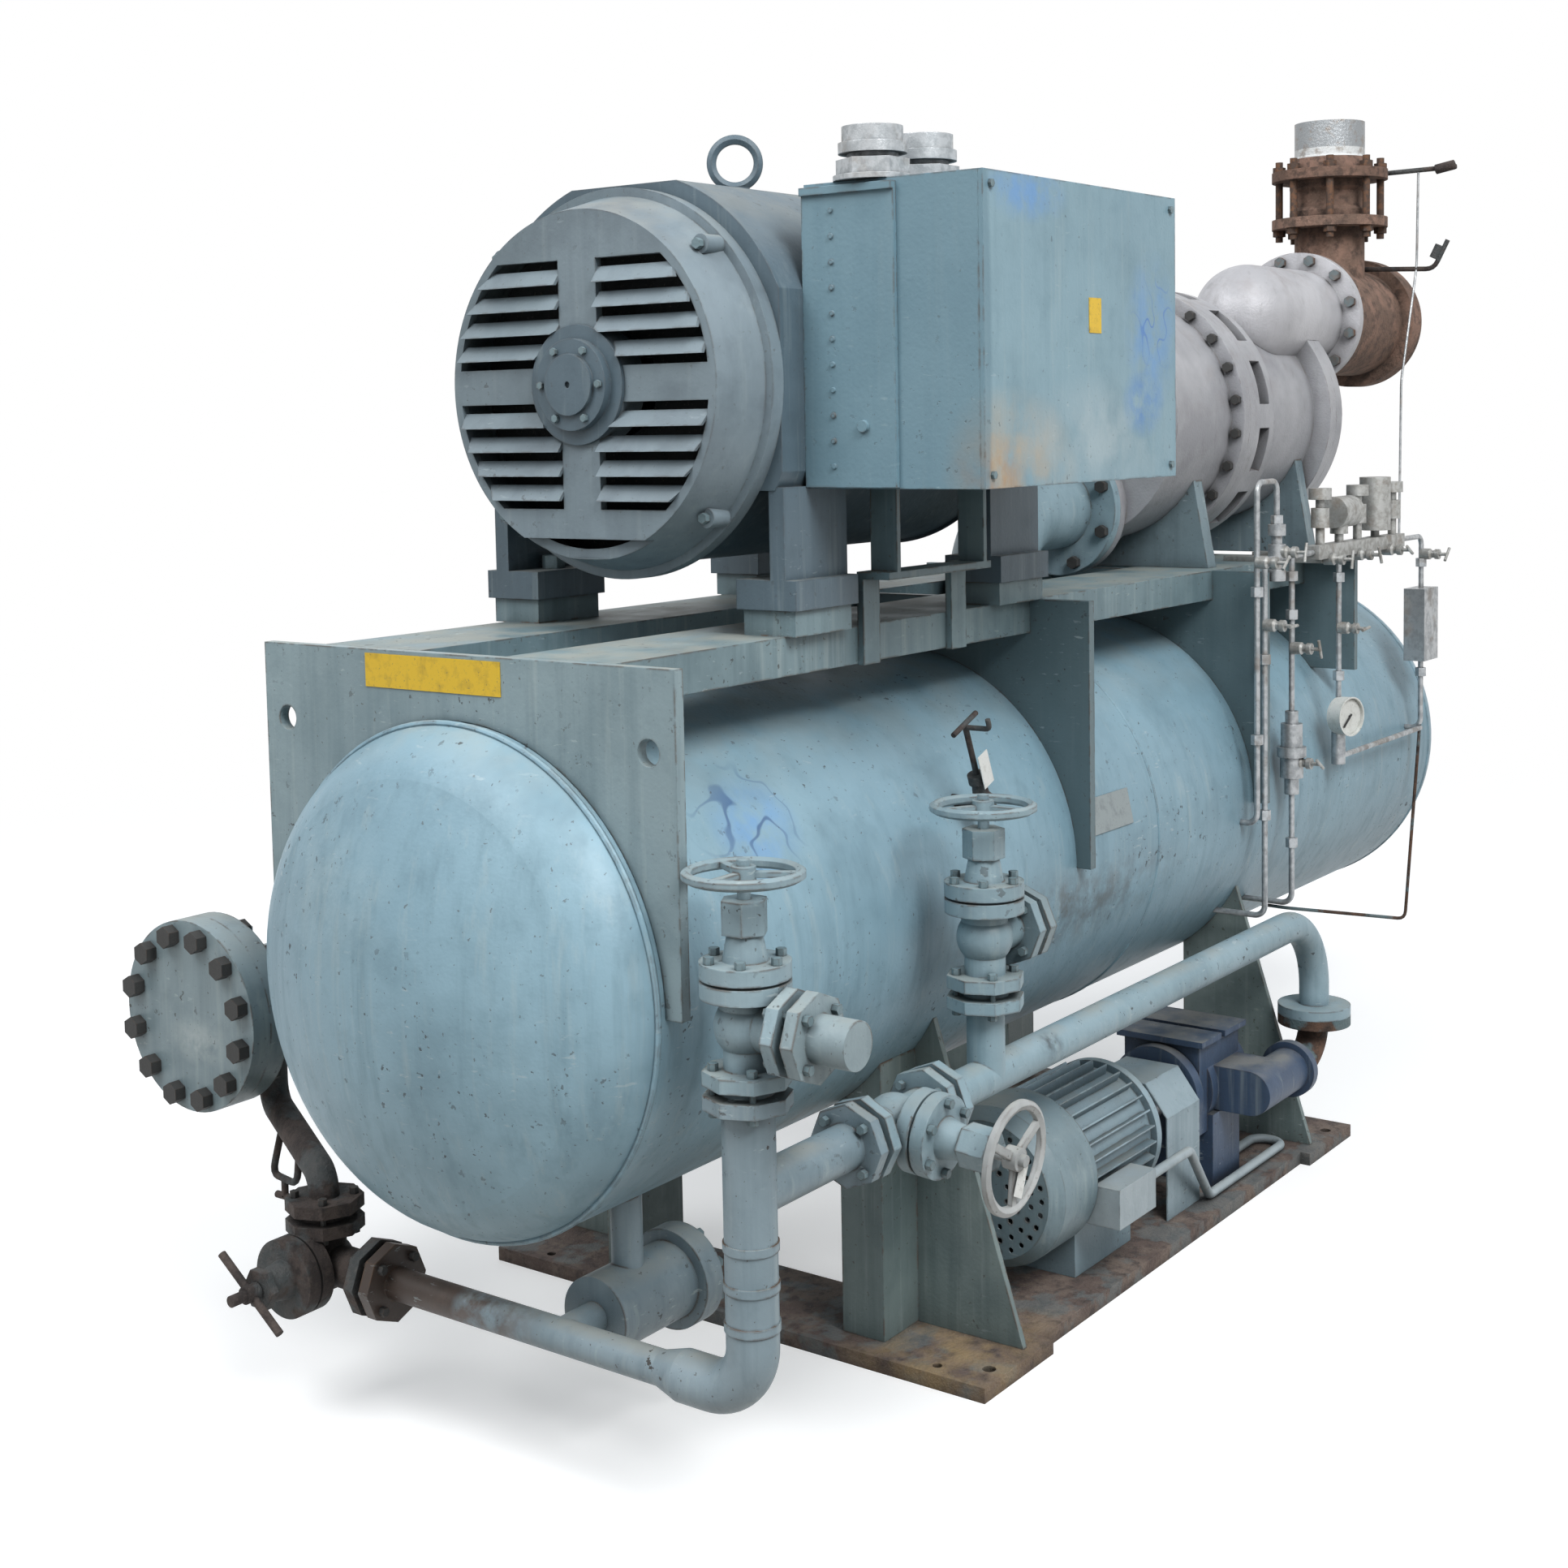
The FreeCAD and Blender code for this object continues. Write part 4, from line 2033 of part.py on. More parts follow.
cooler_y = size.cooler_y
cooler_z = size.cooler_height
cooler_x = station(size.cooler_start)
blind_w = size.blind_width
brackets = []
for number, spot in enumerate((size.saddle_station_2, size.saddle_station_3), start=1):
    x = station(spot)
    arm = box(f"cooler_arm_{number}", (x, size.vessel_radius * 0.8, cooler_z - size.cooler_bracket_width),
              (x + size.wing_thickness, cooler_y, cooler_z + size.cooler_bracket_width))
    brackets.append(cut(
        f"cooler_bracket_{number}", arm,
        cylinder(f"cooler_arm_round_{number}", (x - 1, cooler_y, cooler_z), X_UP,
                 size.cooler_radius, size.wing_thickness + 2),
        cylinder(f"cooler_arm_shell_{number}", (x - 1, zero, size.vessel_height), X_UP,
                 size.vessel_radius, size.wing_thickness + 2),
    ))
cooler_shell = fuse(
    "cooler_shell_whole",
    cylinder("cooler_barrel", (cooler_x, cooler_y, cooler_z), X_UP, size.cooler_radius,
             size.cooler_end - size.cooler_start),
    cylinder("cooler_flange", (cooler_x - blind_w * 0.4, cooler_y, cooler_z), X_UP,
             size.blind_radius, blind_w),
    ball("cooler_end_cap", (station(size.cooler_end), cooler_y, cooler_z), size.cooler_radius),
    cylinder("cooler_plug", (riser_x, cooler_y, cooler_z), Z_UP, size.cooler_plug_radius,
             size.cooler_radius + size.cooler_plug_height),
    *brackets,
)
node(cut("cooler_cut", cooler_shell,
         cylinder("cooler_bore", (cooler_x - blind_w, cooler_y, cooler_z), X_UP,
                  size.cooler_radius - size.stub_wall, size.cooler_end - size.cooler_start + blind_w),
         cylinder("cooler_feed_hole", (riser_x, riser_y, cooler_z - size.cooler_radius * 2), Z_UP,
                  size.riser_pipe_radius, riser_top - cooler_z + size.cooler_radius * 2)),
     "oil_cooler_shell")
blind_x = cooler_x - blind_w * 1.4
blind_plate = cylinder("blind_plate", (blind_x, cooler_y, cooler_z), X_UP, size.blind_radius,
                       blind_w)
node(group("blanks", blind_plate, *branch_caps), "blank_flanges")
bolt_shapes += bolt_ring((blind_x, cooler_y, cooler_z), X_DOWN, size.blind_bolt_circle,
                          size.blind_bolts, size.blind_bolt_size, size.blind_bolt_height, 15)
bolt_shapes += bolt_ring((cooler_x + blind_w * 0.6, cooler_y, cooler_z), X_UP,
                          size.blind_bolt_circle, size.blind_bolts, size.blind_bolt_size,
                          size.blind_bolt_height, 15)
# Oil filter under the vessel

filter_end = filter_x + size.filter_length
filter_z = size.cross_pipe_height
filter_y = -size.filter_y
filter_whole = fuse(
    "filter_whole",
    cylinder("filter_can", (filter_x, filter_y, filter_z), X_UP, size.filter_radius,
             size.filter_length),
    cylinder("filter_rim", (filter_end - size.filter_lid_width, filter_y, filter_z), X_UP,
             size.filter_lid_radius, size.filter_lid_width),
    cylinder("filter_lid", (filter_end, filter_y, filter_z), X_UP, size.filter_lid_radius,
             size.filter_lid_width * 0.8),
    cylinder("filter_outlet", (filter_x + size.filter_length * 0.4, filter_y, filter_z), Z_UP,
             size.riser_pipe_radius, size.vessel_height - filter_z),
)
node(cut("filter_cut", filter_whole,
         cylinder("filter_shell_round", (filter_x, zero, size.vessel_height), X_UP,
                  size.vessel_radius, size.filter_length)),
     "oil_filter")
bolt_shapes += bolt_ring((filter_end + size.filter_lid_width * 0.8, filter_y, filter_z), X_UP,
                          size.filter_lid_radius * 0.86, 8, size.line_bolt_size + 3,
                          size.line_bolt_height, 22.5)

# Oil pump set

pump_z = size.pump_height
base_top = size.base_thickness
frame_start = station(size.cowl_start + size.cowl_length)
frame_span = size.pump_motor_end - size.cowl_start - size.cowl_length
finned = doc.addObject("PartDesign::Body", "finned_frame")
barrel_sketch = new_sketch(finned, "finned_barrel_outline", "XY_Plane")
circle(barrel_sketch, zero, zero, size.pump_motor_radius)
barrel_pad = finned.newObject("PartDesign::Pad", "finned_barrel")
barrel_pad.Profile = barrel_sketch
bind(barrel_pad, Length=frame_span)
fin_sketch = new_sketch(finned, "fin_outline", "XY_Plane")
fin_half = size.fin_width / 2
polygon(fin_sketch, [
    (size.pump_motor_radius - 3, -fin_half),
    (size.pump_motor_radius + size.fin_height, -fin_half * 0.6),
    (size.pump_motor_radius + size.fin_height, fin_half * 0.6),
    (size.pump_motor_radius - 3, fin_half),
])
fin_pad = finned.newObject("PartDesign::Pad", "fin")
fin_pad.Profile = fin_sketch
bind(fin_pad, Length=frame_span * 0.9)
fins = finned.newObject("PartDesign::PolarPattern", "fins")
fins.Originals = [fin_pad]
fins.Axis = (origin_part(finned, "Z_Axis"), [""])
fins.Angle = 360
fins.Occurrences = int(float(size.fin_count))
finned.Tip = fins
put(finned, (frame_start, pump_axis_y, pump_z), FACING["x"])
foot_half = size.pump_motor_radius * 0.75
motor_feet = box("pump_motor_feet", (frame_start + frame_span * 0.15, pump_axis_y - foot_half, base_top),
                 (frame_start + frame_span * 0.85, pump_axis_y + foot_half,
                  pump_z - size.pump_motor_radius * 0.6))
end_shield = cylinder("pump_motor_shield", (frame_start + frame_span * 0.94, pump_axis_y, pump_z),
                      X_UP, size.pump_motor_radius * 1.12, frame_span * 0.06)
core_x = frame_start + frame_span * 0.15
core_length = frame_span * 0.7
pump_bores = [
    cylinder("pump_core_bore", (core_x - 2, pump_axis_y, pump_z), X_UP,
             size.pump_core_radius + size.rotor_gap, core_length + 4),
    cylinder("pump_shaft_bore", (frame_start - 1, pump_axis_y, pump_z), X_UP,
             size.pump_shaft_radius + size.running_clearance, frame_span + 2),
]
cowl_seat = cylinder("cowl_seat", (frame_start, pump_axis_y, pump_z), X_UP,
                     size.cowl_radius - size.cowl_wall, frame_span * 0.06)
pump_frame_whole = fuse("pump_frame_whole", finned, motor_feet, end_shield, cowl_seat)
node(cut("pump_frame_cut", pump_frame_whole, *pump_bores), "pump_motor_frame")
cowl_x = station(size.cowl_start)
cowl_r = size.cowl_radius
cowl_t = size.cowl_wall
cowl_cup = turned(
    "cowl_cup", (cowl_x, pump_axis_y, pump_z), X_UP,
    [
        (zero, zero), (zero, cowl_r * 0.86), (size.cowl_length * 0.22, cowl_r),
        (size.cowl_length * 1.25, cowl_r), (size.cowl_length * 1.25, cowl_r - cowl_t),
        (size.cowl_length * 0.24, cowl_r - cowl_t), (cowl_t, cowl_r * 0.86 - cowl_t),
        (cowl_t, zero),
    ],
)
air_holes = []
for ring_share, count in ((0.3, 10), (0.46, 16), (0.62, 22), (0.76, 28)):
    air_holes += bolt_ring((cowl_x - 1, pump_axis_y, pump_z), X_UP, cowl_r * ring_share, count,
                           size.air_hole_size, cowl_t + 2)
node(cut("cowl_cut", cowl_cup, feature("air_holes", Part.makeCompound(air_holes))),
     "pump_motor_cowl")
fan_x = cowl_x + size.cowl_length * 0.35
pump_x = station(size.pump_start)
shaft_end = pump_x + size.pump_length * 0.5
blades = []
for index in range(8):
    blade = doc.addObject("Part::Box", f"fan_blade_{index + 1}")
    root = size.pump_shaft_radius * 0.7
    bind(blade, Length=size.fan_width + cowl_t / 2, Width=cowl_t, Height=size.fan_radius - root)
    turn = FreeCAD.Rotation(X_UP, 45 * index + 10)
    arm = turn.multVec(Vector(0, 0, float(root)))
    put(blade, (fan_x, pump_axis_y + arm.y, pump_z + arm.z), turn)
    blades.append(blade)
node(
    fuse(
        "pump_rotor_whole",
        cylinder("pump_shaft", (fan_x, pump_axis_y, pump_z), X_UP, size.pump_shaft_radius,
                 shaft_end - fan_x),
        cylinder("fan_plate", (fan_x + size.fan_width, pump_axis_y, pump_z), X_UP,
                 size.fan_radius * 0.9, cowl_t),
        cylinder("pump_core", (core_x, pump_axis_y, pump_z), X_UP, size.pump_core_radius,
                 core_length),
        cylinder("pump_coupling", (station(size.guard_start) + size.guard_length * 0.3, pump_axis_y,
                                   pump_z), X_UP, size.pump_core_radius * 0.75,
                 size.guard_length * 0.4),
        *blades,
    ),
    "pump_rotor",
)
guard_low = base_top
gh = size.guard_half_width
gt = size.guard_wall
shoulder = size.guard_top - gh * 0.6
node(
    plate(
        "guard_sheet", (station(size.guard_start), pump_axis_y, zero), "x", size.guard_length,
        [
            (-gh, guard_low), (-gh, shoulder), (-gh * 0.55, size.guard_top),
            (gh * 0.55, size.guard_top), (gh, shoulder), (gh, guard_low),
            (gh - gt, guard_low), (gh - gt, shoulder), (gh * 0.55 - gt, size.guard_top - gt),
            (gt - gh * 0.55, size.guard_top - gt), (gt - gh, shoulder), (gt - gh, guard_low),
        ],
    ),
    "coupling_guard",
)
pump_r = size.pump_radius
block_half = size.pump_block_half
lid_low = pump_z + size.pump_block_rise
foot_end_x = pump_x + size.pump_length * 0.7
pump_outer = fuse(
    "pump_outer",
    turned(
        "pump_barrel", (pump_x, pump_axis_y, pump_z), X_UP,
        step_profile((size.pump_length * 0.1, pump_r), (size.pump_length * 0.15, pump_r * 0.8),
                     (size.pump_length * 0.15, pump_r), (size.pump_length * 0.3, pump_r * 0.88),
                     (size.pump_length * 0.15, pump_r), (size.pump_length * 0.15, pump_r * 0.7)),
    ),
    box("pump_foot", (pump_x + size.pump_length * 0.25, pump_axis_y - pump_r, base_top),
        (foot_end_x, pump_axis_y + pump_r, pump_z - pump_r * 0.5)),
    box("pump_block", (pump_x + size.pump_length * 0.12, pump_axis_y - block_half, pump_z - block_half),
        (pump_x + size.pump_length * 0.78, pump_axis_y + block_half, lid_low)),
    box("pump_lid_front", (pump_x + size.pump_length * 0.08, pump_axis_y - pump_r, lid_low),
        (pump_x + size.pump_length * 0.4, pump_axis_y + pump_r, lid_low + size.pump_lid_thickness)),
    box("pump_lid_rear", (pump_x + size.pump_length * 0.46, pump_axis_y - pump_r, lid_low),
        (pump_x + size.pump_length * 0.82, pump_axis_y + pump_r, lid_low + size.pump_lid_thickness)),
    box("pump_side", (pump_x + size.pump_length * 0.35, line_y, pump_z - pipe_r * 1.2),
        (pump_x + size.pump_length * 0.75, pump_axis_y, pump_z + pipe_r * 1.2)),
    cylinder("pump_nozzle", (pump_x + size.pump_length * 0.35, line_y, pump_z), X_UP,
             pipe_r * 1.2, size.pump_length * 0.65 + size.pump_nozzle - line_w),
    cylinder("pump_flange", (inlet_x - line_w, line_y, pump_z), X_UP, size.pump_flange_radius,
             line_w),
)
node(cut("pump_cut", pump_outer,
         cylinder("pump_bore", (pump_x - 1, pump_axis_y, pump_z), X_UP,
                  size.pump_shaft_radius + size.running_clearance, size.pump_length * 0.5 + 2)),
     "oil_pump_casing")
conduit_y = pump_axis_y - size.conduit_reach
conduit_x = station(size.conduit_station)
box_low = pump_z - size.conduit_box_drop
wire_box = box("wire_box", (conduit_x, conduit_y - size.conduit_box_depth, box_low),
               (conduit_x + size.conduit_box_length, conduit_y,
                box_low + size.conduit_box_height))
lay_z = base_top + size.conduit_radius
conduit_out = box_low + size.conduit_box_height * 0.5
conduit_mid_y = conduit_y - size.conduit_box_depth / 2
turn_x = station(size.conduit_turn_station)
conduit_run = pipe(
    "conduit_run",
    [
        (conduit_x + size.conduit_box_length - 1, conduit_mid_y, conduit_out),
        (station(size.guard_start), conduit_mid_y, conduit_out),
        (pump_x, -size.conduit_lay_y, lay_z),
        (turn_x, -size.conduit_lay_y, lay_z),
        (turn_x, -size.conduit_end_y, lay_z),
        (foot_end_x, -size.conduit_end_y, lay_z),
    ],
    size.conduit_bend, size.conduit_radius,
)
conduit_barrel = cylinder("conduit_barrel", (frame_start, pump_axis_y, pump_z), X_UP,
                          size.pump_motor_radius + size.fin_height + size.seat_gap, frame_span)
node(cut("conduit_cut", fuse("conduit_whole", wire_box, conduit_run), conduit_barrel),
     "pump_wiring")

# Instrument manifold, tubing and gauge

bar_y = -(saddle_half_width + size.tube_radius)
bar_x = station(size.manifold_station)
bar_half = size.manifold_half
arms = []
for number, share in enumerate((0.1, 0.4), start=1):
    x = bar_x + size.manifold_length * share
    arms.append(box(f"manifold_arm_{number}", (x, bar_y, size.saddle_top),
                    (x + size.clamp_width, -size.rail_inner - size.rail_width * 0.5,
                     size.manifold_height - bar_half)))
cocks = []
for number in range(5):
    x = bar_x + size.manifold_length * (0.08 + 0.21 * number)
    tall = 0.5 if number % 2 else 1
    cocks.append(turned(
        f"cock_{number + 1}", (x, bar_y, size.manifold_height + bar_half), Z_UP,
        step_profile((size.cock_height * 0.3 * tall, size.tube_radius * 1.6),
                     (size.cock_height * 0.35 * tall, size.tube_radius * 3.2),
                     (size.cock_height * 0.15 * tall, size.tube_radius * 1.6),
                     (size.cock_height * 0.2 * tall, size.tube_radius * 4)),
    ))
node(
    fuse(
        "manifold_whole",
        box("manifold_bar", (bar_x, bar_y - bar_half, size.manifold_height - bar_half),
            (bar_x + size.manifold_length, bar_y + bar_half, size.manifold_height + bar_half)),
        cylinder("level_can", (bar_x + size.manifold_length * 0.22, bar_y,
                               size.manifold_height + size.can_rise), X_UP, size.can_radius,
                 size.can_length),
        cylinder("pressure_can", (bar_x + size.manifold_length * 0.71, bar_y,
                                  size.manifold_height + bar_half * 2), Z_UP, size.can_radius,
                 size.can_length * 1.25),
        *arms, *cocks,
    ),
    "instrument_manifold",
)
side_x = station(size.side_tube_station)
shell_y = -size.vessel_radius * 0.6
side_tube = pipe(
    "side_tube",
    [(bar_x, bar_y, size.manifold_height), (side_x, bar_y, size.manifold_height),
     (side_x, bar_y, size.side_tap_height), (side_x, shell_y, size.side_tap_height)],
    size.tube_bend, size.tube_radius,
)
loop_x = station(size.loop_station)
stack_x = station(size.stack_station)
loop_tube = pipe(
    "loop_tube",
    [(loop_x, shell_y, size.loop_tap_height), (loop_x, bar_y, size.loop_tap_height),
     (loop_x, bar_y, size.loop_top), (stack_x, bar_y, size.loop_top),
     (stack_x, bar_y, size.manifold_height)],
    size.tube_bend, size.tube_radius,
)
tall = size.stack_height
stack_valve = turned(
    "stack_valve", (stack_x, bar_y, size.manifold_height - tall * 0.4), Z_UP,
    step_profile((tall * 0.2, size.stack_radius), (tall * 0.2, size.stack_radius * 0.6),
                 (tall * 0.25, size.stack_radius), (tall * 0.15, size.stack_radius * 0.6),
                 (tall * 0.2, size.stack_radius)),
)
regulator_x = station(size.regulator_station)
tall = size.regulator_height
regulator_tube = pipe(
    "regulator_tube",
    [(regulator_x, bar_y, size.manifold_height), (regulator_x, bar_y, size.side_tap_height),
     (regulator_x, shell_y, size.side_tap_height)],
    size.tube_bend, size.tube_radius,
)
regulator = turned(
    "regulator", (regulator_x, bar_y, size.regulator_low), Z_UP,
    step_profile((tall * 0.2, size.regulator_radius * 0.5), (tall * 0.25, size.regulator_radius * 0.8),
                 (tall * 0.12, size.regulator_radius), (tall * 0.28, size.regulator_radius * 0.75),
                 (tall * 0.15, size.regulator_radius * 0.45)),
)
gauge_x = station(size.gauge_station)
gauge_z = size.gauge_height
gauge_tube = cylinder("gauge_tube", (gauge_x, bar_y, gauge_z), Z_UP, size.tube_radius,
                      size.manifold_height - bar_half - gauge_z)
switch_x = bar_x + size.manifold_length * 1.3
switch_box = box(
    "switch_box",
    (switch_x - size.switch_width / 2, bar_y - size.switch_depth / 2, size.switch_low),
    (switch_x + size.switch_width / 2, bar_y + size.switch_depth / 2,
     size.switch_low + size.switch_height),
)
level_tube = cylinder("level_tube", (gauge_x, bar_y, size.level_tube_height), X_UP, size.tube_radius,
                      switch_x - gauge_x)
level_cock = cylinder("level_cock", (gauge_x, bar_y, size.level_tube_height - size.manifold_half), Z_UP,
                      size.manifold_half, gauge_z - size.level_tube_height)
drain_tube = pipe(
    "drain_tube",
    [(bar_x + size.manifold_length, bar_y, size.manifold_height),
     (switch_x, bar_y, size.manifold_height),
     (switch_x, bar_y, size.level_tube_height),
     (switch_x, shell_y, size.level_tube_height)],
    size.tube_bend, size.tube_radius,
)
vessel_clear = cylinder("vessel_clear", (loop_x - size.vessel_radius, zero, size.vessel_height),
                        X_UP, size.vessel_radius, size.vessel_radius * 4)
gauge_way = Vector(-0.27, -0.96, 0)
gauge_turn = FreeCAD.Rotation(Z_UP.cross(gauge_way), Z_UP, gauge_way, "ZXY")
gauge_back = (gauge_x, bar_y, gauge_z)
gauge_case_blank = turned(
    "gauge_case_blank", gauge_back, gauge_way,
    [
        (zero, zero), (zero, size.gauge_radius * 0.94), (size.gauge_depth, size.gauge_radius),
        (size.gauge_depth, size.gauge_radius * 0.92), (size.gauge_depth * 0.8, size.gauge_radius * 0.92),
        (size.gauge_depth * 0.8, zero),
    ],
)
spindle = size.tube_radius * 0.4
gauge_hole = cylinder("gauge_hole", (zero, zero, size.gauge_depth * 0.5), Z_UP,
                      spindle + size.running_clearance, size.gauge_depth)
put(gauge_hole, (gauge_x + dim(gauge_way.x) * size.gauge_depth * 0.5,
                 bar_y + dim(gauge_way.y) * size.gauge_depth * 0.5, gauge_z), gauge_turn)
runs = [
    cut(f"{run.Name}_cut", run, vessel_clear)
    for run in (side_tube, loop_tube, regulator_tube, drain_tube)
]
tubes = fuse("tubes_whole", *runs, gauge_tube, level_tube, level_cock, stack_valve, regulator,
             switch_box)
node(cut("tubes_cut", tubes, gauge_case_blank), "instrument_tubing")
node(cut("gauge_case_cut", gauge_case_blank, gauge_hole), "gauge_case")
pointer = fuse(
    "pointer_whole",
    box("pointer_blade", (-spindle, -size.gauge_radius * 0.15, size.gauge_depth * 0.86),
        (spindle, size.gauge_radius * 0.7, size.gauge_depth * 0.9)),
    cylinder("pointer_spindle", (zero, zero, size.gauge_depth * 0.55), Z_UP, spindle,
             size.gauge_depth * 0.35),
)
put(pointer, gauge_back, gauge_turn * FreeCAD.Rotation(Z_UP, 135))
node(pointer, "gauge_pointer")

node(feature("bolt_heads", Part.makeCompound(bolt_shapes)), "bolts_and_studs")

# Check every object, then write one file for each node

doc.recompute()
for thing in doc.Objects:
    if "Invalid" in thing.State or "Error" in thing.State:
        raise RuntimeError(f"{thing.Label} did not recompute")
for thing in nodes:
    if thing.Shape.isNull() or not thing.Shape.isValid():
        raise RuntimeError(f"{thing.Label} has no valid shape")
    thing.Shape.exportStep(f"parts/{thing.Label}.step")
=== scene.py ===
"""Looks of a rotary screw compressor package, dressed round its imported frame.

The package is an oil separator vessel that carries a motor, a screw compressor, an oil circuit with
handwheel valves and an oil pump. Every length is in metres unless its name says millimetres.
"""

import logging
import math
from dataclasses import dataclass
from enum import Enum
from typing import ClassVar, Mapping, Optional, Sequence

import bmesh
import bpy
from mathutils import Matrix, Vector


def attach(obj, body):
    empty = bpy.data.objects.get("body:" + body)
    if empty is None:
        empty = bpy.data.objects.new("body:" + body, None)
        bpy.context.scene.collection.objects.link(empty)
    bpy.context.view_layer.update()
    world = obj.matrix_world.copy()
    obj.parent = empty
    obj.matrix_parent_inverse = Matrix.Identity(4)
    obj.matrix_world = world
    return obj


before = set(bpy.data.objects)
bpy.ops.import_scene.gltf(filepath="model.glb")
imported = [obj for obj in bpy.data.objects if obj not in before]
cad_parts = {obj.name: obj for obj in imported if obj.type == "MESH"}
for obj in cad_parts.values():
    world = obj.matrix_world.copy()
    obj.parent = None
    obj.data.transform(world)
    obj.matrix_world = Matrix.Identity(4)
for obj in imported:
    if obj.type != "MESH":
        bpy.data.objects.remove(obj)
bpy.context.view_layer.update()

MILLIMETRE = 0.001
PACKAGE = "package"
UP = (0.0, 0.0, 1.0)
ALONG = (1.0, 0.0, 0.0)
# Rays that the edge masks, the masks of painted shade and dirt in the corners, and the rounded edges take.
SHADING_SAMPLES = 4
ROUNDING_SAMPLES = 6
# How strongly the finer octaves of a pattern count.
NOISE_ROUGHNESS = 0.6
# Cosines between the rounded and the real surface where an edge's wear begins and is full.
EDGE_COSINES = (0.98, 0.88)
# Openness at which the painted shade and dirt of the corners begin and at which they are full.
SHADE_AND_DIRT_OPENNESS = (0.75, 0.2)
# The share of a pen line's width, and of a head's tip, within which its mask is full.
STROKE_CORE = 0.4
CROWN_CORE = 0.97
MERGE_DISTANCE = 1e-6
SHARP_ANGLE = math.radians(40)
BEND_SHARES = (0.0, 0.25, 0.5, 0.75, 1.0)
Triple = tuple[float, float, float]

log = logging.getLogger("package")


def linear(colour: str) -> tuple[float, float, float, float]:
    """Turns an sRGB hex colour into the linear values that shaders use.

    Args:
        colour: A colour such as "#8fb3bd".

    Returns:
        Linear red, green and blue, and an alpha of 1.
    """
    channels = [int(colour[place:place + 2], 16) / 255 for place in (1, 3, 5)]
    curve = [c / 12.92 if c <= 0.04045 else ((c + 0.055) / 1.055) ** 2.4 for c in channels]
    return (*curve, 1.0)


def add_node(
    tree: bpy.types.NodeTree,
    kind: str,
    inputs: Optional[Mapping[int | str, object]] = None,
    **settings: object,
) -> bpy.types.Node:
    """Adds a shader node with its settings, and fills or links its inputs.

    Args:
        tree: The node tree that gets the node.
        kind: The node's type, such as "ShaderNodeTexNoise".
        inputs: A value, or the output socket that is linked in, for each input by name or place.
        **settings: Properties of the node itself.

    Returns:
        The new node.
    """
    node = tree.nodes.new(kind)
    for name, value in settings.items():
        setattr(node, name, value)
    for place, value in (inputs or {}).items():
        if isinstance(value, bpy.types.NodeSocket):
            tree.links.new(value, node.inputs[place])
        else:
            node.inputs[place].default_value = value
    return node


@dataclass(frozen=True)
class Crown:
    """The tip of a dished head, with the middle of the sphere that fits it there."""

    tip: Triple
    middle: Triple
    reach: float


